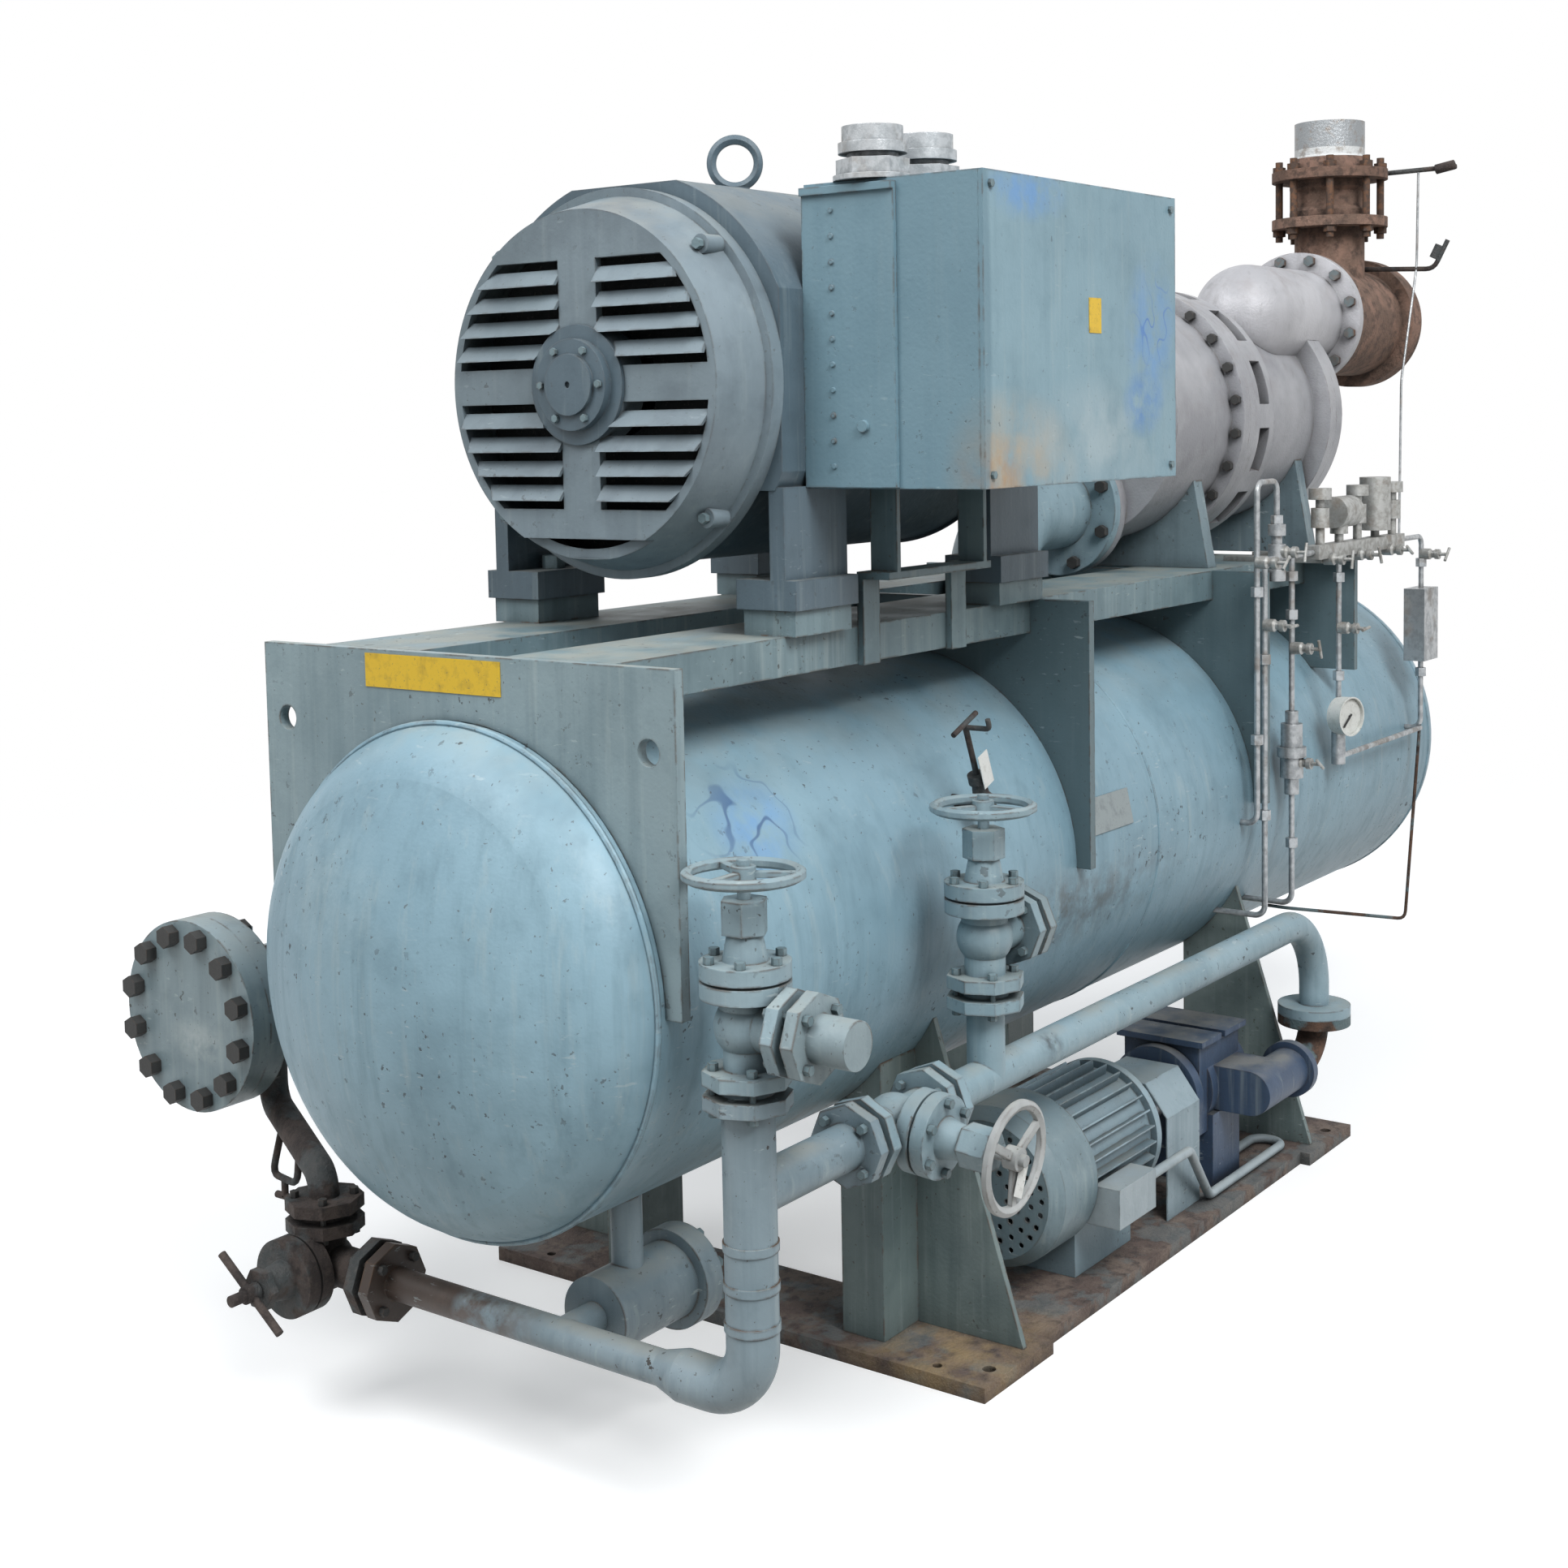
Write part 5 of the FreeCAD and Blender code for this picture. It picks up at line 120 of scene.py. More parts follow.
class Layers:
    """Builds one material as layers of look, from the bare coat up to chips, rust, grime and painted shade.
    """

    def __init__(self, name: str, colour: str, roughness: float, metallic: float = 0.0) -> None:
        """Starts the material from its base colour and roughness.

        Args:
            name: The material's name.
            colour: The base colour as sRGB hex.
            roughness: The base roughness.
            metallic: 1 for bare metal, 0 for paint.
        """
        self.material = bpy.data.materials.new(name)
        self.material.use_nodes = True
        self.tree = self.material.node_tree
        self.tree.nodes.clear()
        self.place = add_node(self.tree, "ShaderNodeTexCoord").outputs["Object"]
        self.colour: object = linear(colour)
        self.roughness: object = roughness
        self.metallic: object = metallic
        self.height: object = 0.0

    def noise(
        self, size_mm: float, stretch: Sequence[float], offset: float, detail: float
    ) -> bpy.types.NodeSocket:
        """Makes a cloudy value from 0 to 1 with patches of the size given.

        Args:
            size_mm: The size of one patch in millimetres.
            stretch: How often the pattern repeats along each axis, against the size given.
            offset: Shift of the pattern.
            detail: Octaves of finer noise.

        Returns:
            A socket with the value.
        """
        spot = add_node(
            self.tree, "ShaderNodeMapping",
            {"Vector": self.place, "Location": (offset, offset, offset), "Scale": tuple(stretch)},
        )
        cloud = add_node(
            self.tree, "ShaderNodeTexNoise",
            {"Vector": spot.outputs[0], "Scale": 1.0 / (size_mm * MILLIMETRE), "Detail": detail,
             "Roughness": NOISE_ROUGHNESS},
        )
        return cloud.outputs[0]

    def patches(
        self,
        size_mm: float,
        low: float,
        high: float,
        stretch: Sequence[float] = (1.0, 1.0, 1.0),
        offset: float = 0.0,
        detail: float = 4.0,
    ) -> bpy.types.NodeSocket:
        """Makes a mask of irregular patches.

        Args:
            size_mm: The size of one patch in millimetres.
            low: Noise value at which a patch begins.
            high: Noise value at which it is full.
            stretch: How often the pattern repeats along each axis, against the size given.
            offset: Shift of the pattern, so that two masks of one size differ.
            detail: Octaves of finer noise.

        Returns:
            A socket from 0 to 1.
        """
        return self.between(self.noise(size_mm, stretch, offset, detail), low, high)

    def strokes(self, size_mm: float, width: float) -> bpy.types.NodeSocket:
        """Makes a mask of loose curved lines, as a marker pen or a scratch leaves.

        Args:
            size_mm: How wide the line's curves are.
            width: Half the line's width, as a share of the noise's range.

        Returns:
            A socket from 0 to 1.
        """
        cloud = self.noise(size_mm, (1.0, 1.0, 1.0), offset=0.0, detail=1.0)
        off_centre = add_node(self.tree, "ShaderNodeMath", {0: cloud, 1: 0.5}, operation="SUBTRACT")
        size = add_node(self.tree, "ShaderNodeMath", {0: off_centre.outputs[0]}, operation="ABSOLUTE")
        return self.between(size.outputs[0], width, width * STROKE_CORE)

    def between(self, source: bpy.types.NodeSocket, low: float, high: float) -> bpy.types.NodeSocket:
        """Stretches a value so that low gives 0 and high gives 1, held within 0 and 1."""
        return add_node(self.tree, "ShaderNodeMapRange", {0: source, 1: low, 2: high}).outputs[0]

    def both(self, first: object, second: object) -> bpy.types.NodeSocket:
        """Multiplies two masks or values."""
        node = add_node(self.tree, "ShaderNodeMath", {0: first, 1: second}, operation="MULTIPLY")
        return node.outputs[0]

    def edges(self, radius_mm: float) -> bpy.types.NodeSocket:
        """Makes a mask of the outer and inner edges.

        Args:
            radius_mm: How far from an edge the mask reaches.

        Returns:
            A socket from 0 to 1.
        """
        rounded = add_node(
            self.tree, "ShaderNodeBevel", {"Radius": radius_mm * MILLIMETRE}, samples=SHADING_SAMPLES
        )
        flat = add_node(self.tree, "ShaderNodeNewGeometry")
        dot = add_node(
            self.tree, "ShaderNodeVectorMath",
            {0: rounded.outputs[0], 1: flat.outputs["Normal"]}, operation="DOT_PRODUCT",
        )
        return self.between(dot.outputs["Value"], *EDGE_COSINES)

    def crevices(self, reach_mm: float) -> bpy.types.NodeSocket:
        """Makes a mask of the hollows, where painted shade falls and dirt gathers.

        Args:
            reach_mm: How near another surface has to be.

        Returns:
            A socket from 0 to 1.
        """
        openness = add_node(
            self.tree, "ShaderNodeAmbientOcclusion", {"Distance": reach_mm * MILLIMETRE},
            samples=SHADING_SAMPLES,
        )
        return self.between(openness.outputs["AO"], *SHADE_AND_DIRT_OPENNESS)

    def facing(self, axis: Sequence[float], low: float, high: float) -> bpy.types.NodeSocket:
        """Makes a mask of the surfaces that face a direction of the package.

        Args:
            axis: The direction.
            low: Cosine of the angle at which the mask begins.
            high: Cosine at which it is full.

        Returns:
            A socket from 0 to 1.
        """
        normal = add_node(self.tree, "ShaderNodeNewGeometry").outputs["Normal"]
        dot = add_node(
            self.tree, "ShaderNodeVectorMath", {0: normal, 1: tuple(axis)}, operation="DOT_PRODUCT"
        )
        return self.between(dot.outputs["Value"], low, high)

    def along(self, axis: Sequence[float], low: float, high: float) -> bpy.types.NodeSocket:
        """Makes a mask that rises from 0 to 1 between two distances along an axis.

        Args:
            axis: The axis.
            low: Distance from the origin at which the mask begins.
            high: Distance at which it is full.

        Returns:
            A socket from 0 to 1.
        """
        dot = add_node(
            self.tree, "ShaderNodeVectorMath", {0: self.place, 1: tuple(axis)}, operation="DOT_PRODUCT"
        )
        return self.between(dot.outputs["Value"], low, high)

    def near(self, centre: Sequence[float], reach: Sequence[float], core: float) -> bpy.types.NodeSocket:
        """Makes an oval mask round one place on the object.

        Args:
            centre: The middle of the place.
            reach: Half widths of the oval along each axis.
            core: The share of the oval within which the mask is full.

        Returns:
            A socket that is 1 in the core and 0 from the rim on.
        """
        scale = [1.0 / r for r in reach]
        moved = add_node(
            self.tree, "ShaderNodeMapping",
            {"Vector": self.place, "Location": tuple(-c * k for c, k in zip(centre, scale)),
             "Scale": tuple(scale)},
        )
        length = add_node(self.tree, "ShaderNodeVectorMath", {0: moved.outputs[0]}, operation="LENGTH")
        return self.between(length.outputs["Value"], 1.0, core)

    def cover(
        self,
        mask: bpy.types.NodeSocket,
        colour: Optional[str] = None,
        share: float = 1.0,
        roughness: Optional[float] = None,
        metallic: Optional[float] = None,
        height_mm: float = 0.0,
        multiply: bool = False,
    ) -> None:
        """Lays one more coat over what is there, where the mask is not 0.

        Args:
            mask: Where the coat lies.
            colour: Its colour as sRGB hex, or None to leave the colour.
            share: How much of the coat covers.
            roughness: Its roughness, or None to leave it.
            metallic: Its metallic value, or None to leave it.
            height_mm: How far it stands out, or lies in if negative.
            multiply: Darkens what is there by the colour, as painted shade and dirt do, in place of hiding
                it.
        """
        amount = self.both(mask, share)
        if colour is not None:
            blend = "MULTIPLY" if multiply else "MIX"
            self.colour = add_node(
                self.tree, "ShaderNodeMix", {0: amount, 6: self.colour, 7: linear(colour)},
                data_type="RGBA", blend_type=blend,
            ).outputs[2]
        if roughness is not None:
            self.roughness = add_node(
                self.tree, "ShaderNodeMix", {0: amount, 2: self.roughness, 3: roughness}
            ).outputs[0]
        if metallic is not None:
            self.metallic = add_node(
                self.tree, "ShaderNodeMix", {0: amount, 2: self.metallic, 3: metallic}
            ).outputs[0]
        if height_mm:
            raised = self.both(mask, height_mm * MILLIMETRE)
            self.height = add_node(
                self.tree, "ShaderNodeMath", {0: self.height, 1: raised}, operation="ADD"
            ).outputs[0]

    def crowned(self, normal: bpy.types.NodeSocket, crown: Crown) -> bpy.types.NodeSocket:
        """Takes the normals round a head's tip, where its facets meet, from the sphere that fits it.

        Args:
            normal: The normals everywhere else.
            crown: The head's tip.

        Returns:
            A socket with the normals.
        """
        outward = add_node(
            self.tree, "ShaderNodeVectorMath", {0: self.place, 1: crown.middle}, operation="SUBTRACT"
        )
        sphere = add_node(
            self.tree, "ShaderNodeVectorMath", {0: outward.outputs[0]}, operation="NORMALIZE"
        )
        mask = self.near(crown.tip, (crown.reach, crown.reach, crown.reach), CROWN_CORE)
        return add_node(
            self.tree, "ShaderNodeMix", {0: mask, 4: normal, 5: sphere.outputs[0]}, data_type="VECTOR"
        ).outputs[1]

    def finished(self, rounding_mm: float = 0.0, crown: Optional[Crown] = None) -> bpy.types.Material:
        """Closes the material with its shader.

        Args:
            rounding_mm: Radius by which the light sees the edges rounded, or 0 for sharp ones.
            crown: The tip of a dished head that the material covers, or None.

        Returns:
            The material.
        """
        shader = add_node(
            self.tree, "ShaderNodeBsdfPrincipled",
            {"Base Color": self.colour, "Roughness": self.roughness, "Metallic": self.metallic},
        )
        normal: Optional[bpy.types.NodeSocket] = None
        if rounding_mm:
            normal = add_node(
                self.tree, "ShaderNodeBevel", {"Radius": rounding_mm * MILLIMETRE}, samples=ROUNDING_SAMPLES
            ).outputs[0]
            if crown is not None:
                normal = self.crowned(normal, crown)
        if isinstance(self.height, bpy.types.NodeSocket):
            inputs: dict[int | str, object] = {"Height": self.height, "Distance": 1.0}
            if normal is not None:
                inputs["Normal"] = normal
            normal = add_node(self.tree, "ShaderNodeBump", inputs).outputs[0]
        if normal is not None:
            self.tree.links.new(normal, shader.inputs["Normal"])
        add_node(self.tree, "ShaderNodeOutputMaterial", {"Surface": shader.outputs[0]})
        return self.material


class Pattern(Enum):
    """How a mark covers its place."""

    EVEN = "even"
    BLOTCHED = "blotched"
    PEN = "pen"


@dataclass(frozen=True)
class Mark:
    """One stain, smear, pen line or differently coloured region at a place on a finish."""

    even_core: ClassVar[float] = 0.85
    soft_core: ClassVar[float] = 0.3
    pen_width: ClassVar[float] = 0.018

    centre: Triple
    reach: Triple
    colour: str
    share: float = 0.6
    patch_mm: float = 45.0
    pattern: Pattern = Pattern.BLOTCHED

    def lay(self, coat: Layers) -> None:
        """Lays the mark over a coat.

        Args:
            coat: The layers beneath it.
        """
        core = self.even_core if self.pattern is Pattern.EVEN else self.soft_core
        place = coat.near(self.centre, self.reach, core)
        if self.pattern is Pattern.PEN:
            place = coat.both(place, coat.strokes(self.patch_mm, self.pen_width))
        if self.pattern is Pattern.BLOTCHED:
            place = coat.both(place, coat.patches(self.patch_mm, 0.36, 0.62, offset=4.4))
        coat.cover(place, self.colour, self.share)


@dataclass(frozen=True)
class Enamel:
    """Machinery enamel on steel, sprayed in one dull colour and weathered outdoors for years.

    It gives a soft sheen of a roughness near 0.4 that has chalked to 0.6 in fields, with dark runs,
    chips down to the primer and rust along the edges.
    """

    roughness: ClassVar[float] = 0.4
    # Sizes of the patterns in millimetres.
    field_mm: ClassVar[float] = 600.0
    shade_mm: ClassVar[float] = 210.0
    blotch_mm: ClassVar[float] = 60.0
    dark_run_mm: ClassVar[float] = 30.0
    pale_run_mm: ClassVar[float] = 22.0
    dust_mm: ClassVar[float] = 90.0
    peel_mm: ClassVar[float] = 7.0
    corner_mm: ClassVar[float] = 80.0
    swarm_mm: ClassVar[float] = 240.0
    chip_mm: ClassVar[float] = 17.0
    pit_mm: ClassVar[float] = 9.0
    scuff_mm: ClassVar[float] = 30.0
    edge_mm: ClassVar[float] = 6.0
    worn_mm: ClassVar[float] = 38.0
    # How far each stands out or lies in, in millimetres.
    peel_height_mm: ClassVar[float] = 0.14
    chip_depth_mm: ClassVar[float] = -0.3
    worn_depth_mm: ClassVar[float] = -0.2
    # Colours that every coat shares.
    chalk: ClassVar[str] = "#b4c0be"
    dust: ClassVar[str] = "#a39f92"
    shade_and_grime: ClassVar[str] = "#3d413f"
    primer: ClassVar[str] = "#37322e"
    pit: ClassVar[str] = "#4a4640"
    scuff: ClassVar[str] = "#b9c6c8"

    name: str
    coat: str
    faded: str
    shaded: str
    rust: str = "#54402f"
    wear: float = 0.75
    dirt_and_shade: float = 0.7
    chips: float = 0.8
    runs: float = 0.45
    rounding_mm: float = 2.0
    crown: Optional[Crown] = None
    marks: tuple[Mark, ...] = ()

    def material(self) -> bpy.types.Material:
        """Lays the coat with its fading, runs, dust, painted shade and grime in the corners, chips and worn
        edges.

        Returns:
            The material.
        """
        coat = Layers(self.name, self.coat, self.roughness)
        # Sun fades broad fields of the coat.
        coat.cover(coat.patches(self.field_mm, 0.40, 0.66), self.faded, 0.8, roughness=0.52)
        coat.cover(coat.patches(self.shade_mm, 0.48, 0.70, offset=3.1), self.shaded, 0.55)
        blotches = coat.patches(self.blotch_mm, 0.52, 0.74, offset=13.7)
        coat.cover(blotches, self.shaded, 0.35, roughness=0.6)
        # Rain leaves dark runs and chalky ones down the sides.
        upright = coat.facing(UP, 0.8, 0.3)
        dark_runs = coat.patches(self.dark_run_mm, 0.50, 0.72, (1.0, 1.0, 0.06), offset=7.3)
        pale_runs = coat.patches(self.pale_run_mm, 0.56, 0.74, (1.0, 1.0, 0.05), offset=19.0)
        coat.cover(coat.both(dark_runs, upright), self.shaded, self.runs, roughness=0.6)
        coat.cover(coat.both(pale_runs, upright), self.chalk, self.runs * 0.6)
        # Dust lies on what faces up.
        dusty = coat.patches(self.dust_mm, 0.35, 0.6, offset=1.7)
        coat.cover(coat.both(coat.facing(UP, 0.6, 0.98), dusty), self.dust, 0.5 * self.dirt_and_shade, roughness=0.85)
        # Orange peel of the spray gun, drawn coarser than its real 3 mm so that it shows.
        coat.cover(coat.patches(self.peel_mm, 0.3, 0.7, detail=1.0), height_mm=self.peel_height_mm)
        # Painted shade and oily grime darken the corners and hollows.
        corners = coat.crevices(self.corner_mm)
        coat.cover(corners, self.shade_and_grime, 0.85 * self.dirt_and_shade, roughness=0.7, multiply=True)
        for mark in self.marks:
            mark.lay(coat)
        # Knocks break the coat down to dark primer in chips that come in swarms.
        swarm = coat.patches(self.swarm_mm, 0.47, 0.62, offset=11.0)
        chips = coat.both(coat.patches(self.chip_mm, 0.655, 0.68, offset=5.2, detail=3.0), swarm)
        coat.cover(chips, self.primer, 0.92 * self.chips, roughness=0.75, height_mm=self.chip_depth_mm)
        pits = coat.patches(self.pit_mm, 0.70, 0.72, offset=15.2, detail=2.0)
        coat.cover(pits, self.pit, 0.7 * self.chips, roughness=0.75)
        # Knocks that only bruise the coat leave pale scuffs.
        scuffs = coat.patches(self.scuff_mm, 0.64, 0.70, (1.0, 1.0, 4.0), offset=9.4)
        coat.cover(coat.both(scuffs, swarm), self.scuff, 0.55 * self.chips)
        # Rust eats in from the edges.
        worn = coat.both(coat.edges(self.edge_mm), coat.patches(self.worn_mm, 0.46, 0.56, offset=2.2))
        coat.cover(worn, self.rust, self.wear, roughness=0.85, height_mm=self.worn_depth_mm)
        return coat.finished(self.rounding_mm, self.crown)


@dataclass(frozen=True)
class SilveredCasting:
    """Cast iron under aluminium paint, which gives a fine metallic grey with a sandy grain."""

    roughness: ClassVar[float] = 0.42
    dull_mm: ClassVar[float] = 190.0
    grain_mm: ClassVar[float] = 5.0
    streak_mm: ClassVar[float] = 26.0
    stain_mm: ClassVar[float] = 70.0
    corner_mm: ClassVar[float] = 60.0
    edge_mm: ClassVar[float] = 4.0
    worn_mm: ClassVar[float] = 30.0
    grain_height_mm: ClassVar[float] = 0.3
    rounding_mm: ClassVar[float] = 3.0
    streak: ClassVar[str] = "#5d5a58"
    stain: ClassVar[str] = "#6e5240"
    shade_and_grime: ClassVar[str] = "#33302e"
    bare: ClassVar[str] = "#5f4a3d"

    name: str
    coat: str
    dull: str
    dirt_and_shade: float = 0.8
    rust: float = 0.35
    metallic: float = 0.35

    def material(self) -> bpy.types.Material:
        """Lays the paint with its dull fields, grain, streaks and rust.

        Returns:
            The material.
        """
        coat = Layers(self.name, self.coat, self.roughness, self.metallic)
        dulled = coat.patches(self.dull_mm, 0.4, 0.65)
        coat.cover(dulled, self.dull, 0.85, roughness=0.6, metallic=0.15)
        # The sand mould's grain shows through the paint.
        coat.cover(coat.patches(self.grain_mm, 0.35, 0.65, detail=2.0), height_mm=self.grain_height_mm)
        streaks = coat.patches(self.streak_mm, 0.58, 0.74, (1.0, 1.0, 0.3), offset=4.0)
        coat.cover(streaks, self.streak, 0.28, metallic=0.0)
        stained = coat.both(coat.patches(self.stain_mm, 0.5, 0.64, offset=9.0), coat.facing(UP, -0.2, 0.7))
        coat.cover(stained, self.stain, self.rust, roughness=0.85, metallic=0.0)
        # Painted shade and grime darken the corners.
        coat.cover(coat.crevices(self.corner_mm), self.shade_and_grime, self.dirt_and_shade, roughness=0.8, multiply=True)
        worn = coat.both(coat.edges(self.edge_mm), coat.patches(self.worn_mm, 0.50, 0.60, offset=2.0))
        coat.cover(worn, self.bare, 0.6, roughness=0.85, metallic=0.0)
        return coat.finished(self.rounding_mm)


@dataclass(frozen=True)
class RustedIron:
    """Iron pipe and fittings without paint, under a flaky crust of rust that is matt all over."""

    roughness: ClassVar[float] = 0.85
    bright_mm: ClassVar[float] = 60.0
    deep_mm: ClassVar[float] = 25.0
    flake_mm: ClassVar[float] = 6.0
    speck_mm: ClassVar[float] = 5.0
    spray_mm: ClassVar[float] = 95.0
    corner_mm: ClassVar[float] = 45.0
    flake_height_mm: ClassVar[float] = 0.7
    rounding_mm: ClassVar[float] = 2.0
    shade_and_soot: ClassVar[str] = "#1e1a17"

    name: str
    crust: str
    bright: str
    deep: str
    paint: Optional[str] = None
    paint_share: float = 0.75
    marks: tuple[Mark, ...] = ()

    def material(self) -> bpy.types.Material:
        """Lays the crust with its fresh and deep rust, its flakes and any leftover paint.

        Returns:
            The material.
        """
        crust = Layers(self.name, self.crust, self.roughness)
        crust.cover(crust.patches(self.bright_mm, 0.42, 0.60), self.bright, 0.8)
        crust.cover(crust.patches(self.deep_mm, 0.48, 0.64, offset=6.0), self.deep, 0.85)
        flakes = crust.patches(self.flake_mm, 0.4, 0.62, offset=1.0)
        crust.cover(flakes, height_mm=self.flake_height_mm)
        crust.cover(crust.patches(self.speck_mm, 0.60, 0.68, offset=8.0), self.bright, 0.6)
        if self.paint is not None:
            # Leftover spray from the painted parts.
            sprayed = crust.patches(self.spray_mm, 0.50, 0.56, offset=12.0)
            crust.cover(sprayed, self.paint, self.paint_share, roughness=0.6)
        for mark in self.marks:
            mark.lay(crust)
        # Painted shade and soot darken the corners.
        crust.cover(crust.crevices(self.corner_mm), self.shade_and_soot, 0.85, multiply=True)
        return crust.finished(self.rounding_mm)


@dataclass(frozen=True)
class PlatedMetal:
    """Zinc-plated or stainless fittings, bright with a faint spangle, with painted shade in the corners."""

    metallic: ClassVar[float] = 0.6
    dull_mm: ClassVar[float] = 16.0
    bloom_mm: ClassVar[float] = 60.0
    spangle_mm: ClassVar[float] = 3.0
    corner_mm: ClassVar[float] = 25.0
    spangle_height_mm: ClassVar[float] = 0.08
    rounding_mm: ClassVar[float] = 1.5
    bloom: ClassVar[str] = "#77695a"
    shade_and_grime: ClassVar[str] = "#2f2f2f"

    name: str
    metal: str
    dull: str
    roughness: float = 0.35

    def material(self) -> bpy.types.Material:
        """Lays the plating with its dulled patches, brown bloom and spangle.

        Returns:
            The material.
        """
        metal = Layers(self.name, self.metal, self.roughness, self.metallic)
        dulled = metal.patches(self.dull_mm, 0.42, 0.6)
        metal.cover(dulled, self.dull, 0.7, roughness=self.roughness + 0.2)
        bloomed = metal.patches(self.bloom_mm, 0.55, 0.66, offset=5.0)
        metal.cover(bloomed, self.bloom, 0.5, roughness=0.8, metallic=0.1)
        metal.cover(metal.patches(self.spangle_mm, 0.4, 0.6), height_mm=self.spangle_height_mm)
        # Painted shade and grime darken the corners.
        metal.cover(metal.crevices(self.corner_mm), self.shade_and_grime, 0.8, roughness=0.8, multiply=True)
        return metal.finished(self.rounding_mm)


@dataclass(frozen=True)
class GroundSteel:
    """Steel turned or ground to size, a clear metal gloss broken by fine tool marks."""

    roughness: ClassVar[float] = 0.28
    metallic: ClassVar[float] = 1.0
    mark_mm: ClassVar[float] = 1.5
    oil_mm: ClassVar[float] = 40.0
    mark_height_mm: ClassVar[float] = 0.03

    name: str
    metal: str
    oiled: str

    def material(self) -> bpy.types.Material:
        """Lays the steel with its tool marks and oil film.

        Returns:
            The material.
        """
        metal = Layers(self.name, self.metal, self.roughness, self.metallic)
        # Tool marks of a tenth of a millimetre, drawn far coarser so that they show.
        cuts = metal.patches(self.mark_mm, 0.4, 0.6, (1.0, 0.05, 0.05))
        metal.cover(cuts, height_mm=self.mark_height_mm)
        metal.cover(metal.patches(self.oil_mm, 0.5, 0.65), self.oiled, 0.5, roughness=0.4)
        return metal.finished()


@dataclass(frozen=True)
class Trim:
    """Small even parts: vinyl strips, tags, a dial, black paint and the painted shade behind the motor's
    louvres, flat in colour and a little soiled.
    """

    soil_mm: ClassVar[float] = 18.0
    speck_mm: ClassVar[float] = 4.0
    corner_mm: ClassVar[float] = 12.0
    speck: ClassVar[str] = "#5b574e"
    shade_and_grime: ClassVar[str] = "#5a5a56"

    name: str
    colour: str
    soiled: str
    roughness: float = 0.5

    def material(self) -> bpy.types.Material:
        """Lays the colour with its soiled patches and specks.

        Returns:
            The material.
        """
        coat = Layers(self.name, self.colour, self.roughness)
        soiled = coat.patches(self.soil_mm, 0.50, 0.70)
        coat.cover(soiled, self.soiled, 0.55, roughness=self.roughness + 0.15)
        coat.cover(coat.patches(self.speck_mm, 0.62, 0.68, offset=3.0), self.speck, 0.5)
        # Painted shade and grime darken the corners.
        coat.cover(coat.crevices(self.corner_mm), self.shade_and_grime, 0.5, multiply=True)
        return coat.finished()


@dataclass(frozen=True)
class Fasteners:
    """Bolts and studs in the colours of what they hold: sprayed over, blackened or rusted."""

    # Middle and half widths of each place with blackened heads: the cooler's end flange, the two
    # joints of the compressor's casings, the discharge flange and the bar-handle valve.
    blackened: ClassVar[tuple[tuple[Triple, Triple], ...]] = (
        ((-1.32, 0.64, 0.577), (0.25, 0.22, 0.25)),
        ((0.74, 0.0, 1.522), (0.12, 0.40, 0.40)),
        ((1.27, 0.0, 1.522), (0.14, 0.40, 0.40)),
        ((0.40, 0.0, 1.338), (0.16, 0.20, 0.20)),
        ((-1.31, 0.25, 0.26), (0.16, 0.30, 0.18)),
    )
    blackened_core: ClassVar[float] = 0.9
    # The suction line lies past this length and above this height, each with the start of its fade.
    suction_past: ClassVar[tuple[float, float]] = (1.38, 1.40)
    suction_above: ClassVar[tuple[float, float]] = (1.58, 1.60)
    roughness: ClassVar[float] = 0.5
    shade_mm: ClassVar[float] = 30.0
    rust_mm: ClassVar[float] = 12.0
    grain_mm: ClassVar[float] = 5.0
    corner_mm: ClassVar[float] = 25.0
    edge_mm: ClassVar[float] = 3.0
    grain_height_mm: ClassVar[float] = 0.2
    rounding_mm: ClassVar[float] = 1.5
    shaded: ClassVar[str] = "#5c6f74"
    black: ClassVar[str] = "#2f2c2a"
    rust: ClassVar[str] = "#4a372c"
    fresh_rust: ClassVar[str] = "#75533c"
    shade_and_grime: ClassVar[str] = "#262422"
    bare: ClassVar[str] = "#4d3f36"

    name: str
    painted: str

    def material(self) -> bpy.types.Material:
        """Lays the paint, the blackened places and the rust of the suction line's bolts.

        Returns:
            The material.
        """
        metal = Layers(self.name, self.painted, self.roughness)
        metal.cover(metal.patches(self.shade_mm, 0.45, 0.6), self.shaded, 0.6)
        for centre, reach in self.blackened:
            place = metal.near(centre, reach, self.blackened_core)
            metal.cover(place, self.black, 0.95, roughness=0.7)
        # The suction studs and the strainer's bolts are bare and rusted.
        suction = metal.both(
            metal.along(ALONG, *self.suction_past), metal.along(UP, *self.suction_above)
        )
        metal.cover(suction, self.rust, 0.95, roughness=0.85)
        metal.cover(metal.both(suction, metal.patches(self.rust_mm, 0.45, 0.6)), self.fresh_rust, 0.8)
        metal.cover(metal.patches(self.grain_mm, 0.4, 0.6, offset=2.0), height_mm=self.grain_height_mm)
        # Painted shade and grime darken the corners.
        metal.cover(metal.crevices(self.corner_mm), self.shade_and_grime, 0.8, roughness=0.8, multiply=True)
        worn = metal.both(metal.edges(self.edge_mm), metal.patches(self.rust_mm, 0.45, 0.55, offset=3.0))
        metal.cover(worn, self.bare, 0.7, roughness=0.8)
        return metal.finished(self.rounding_mm)


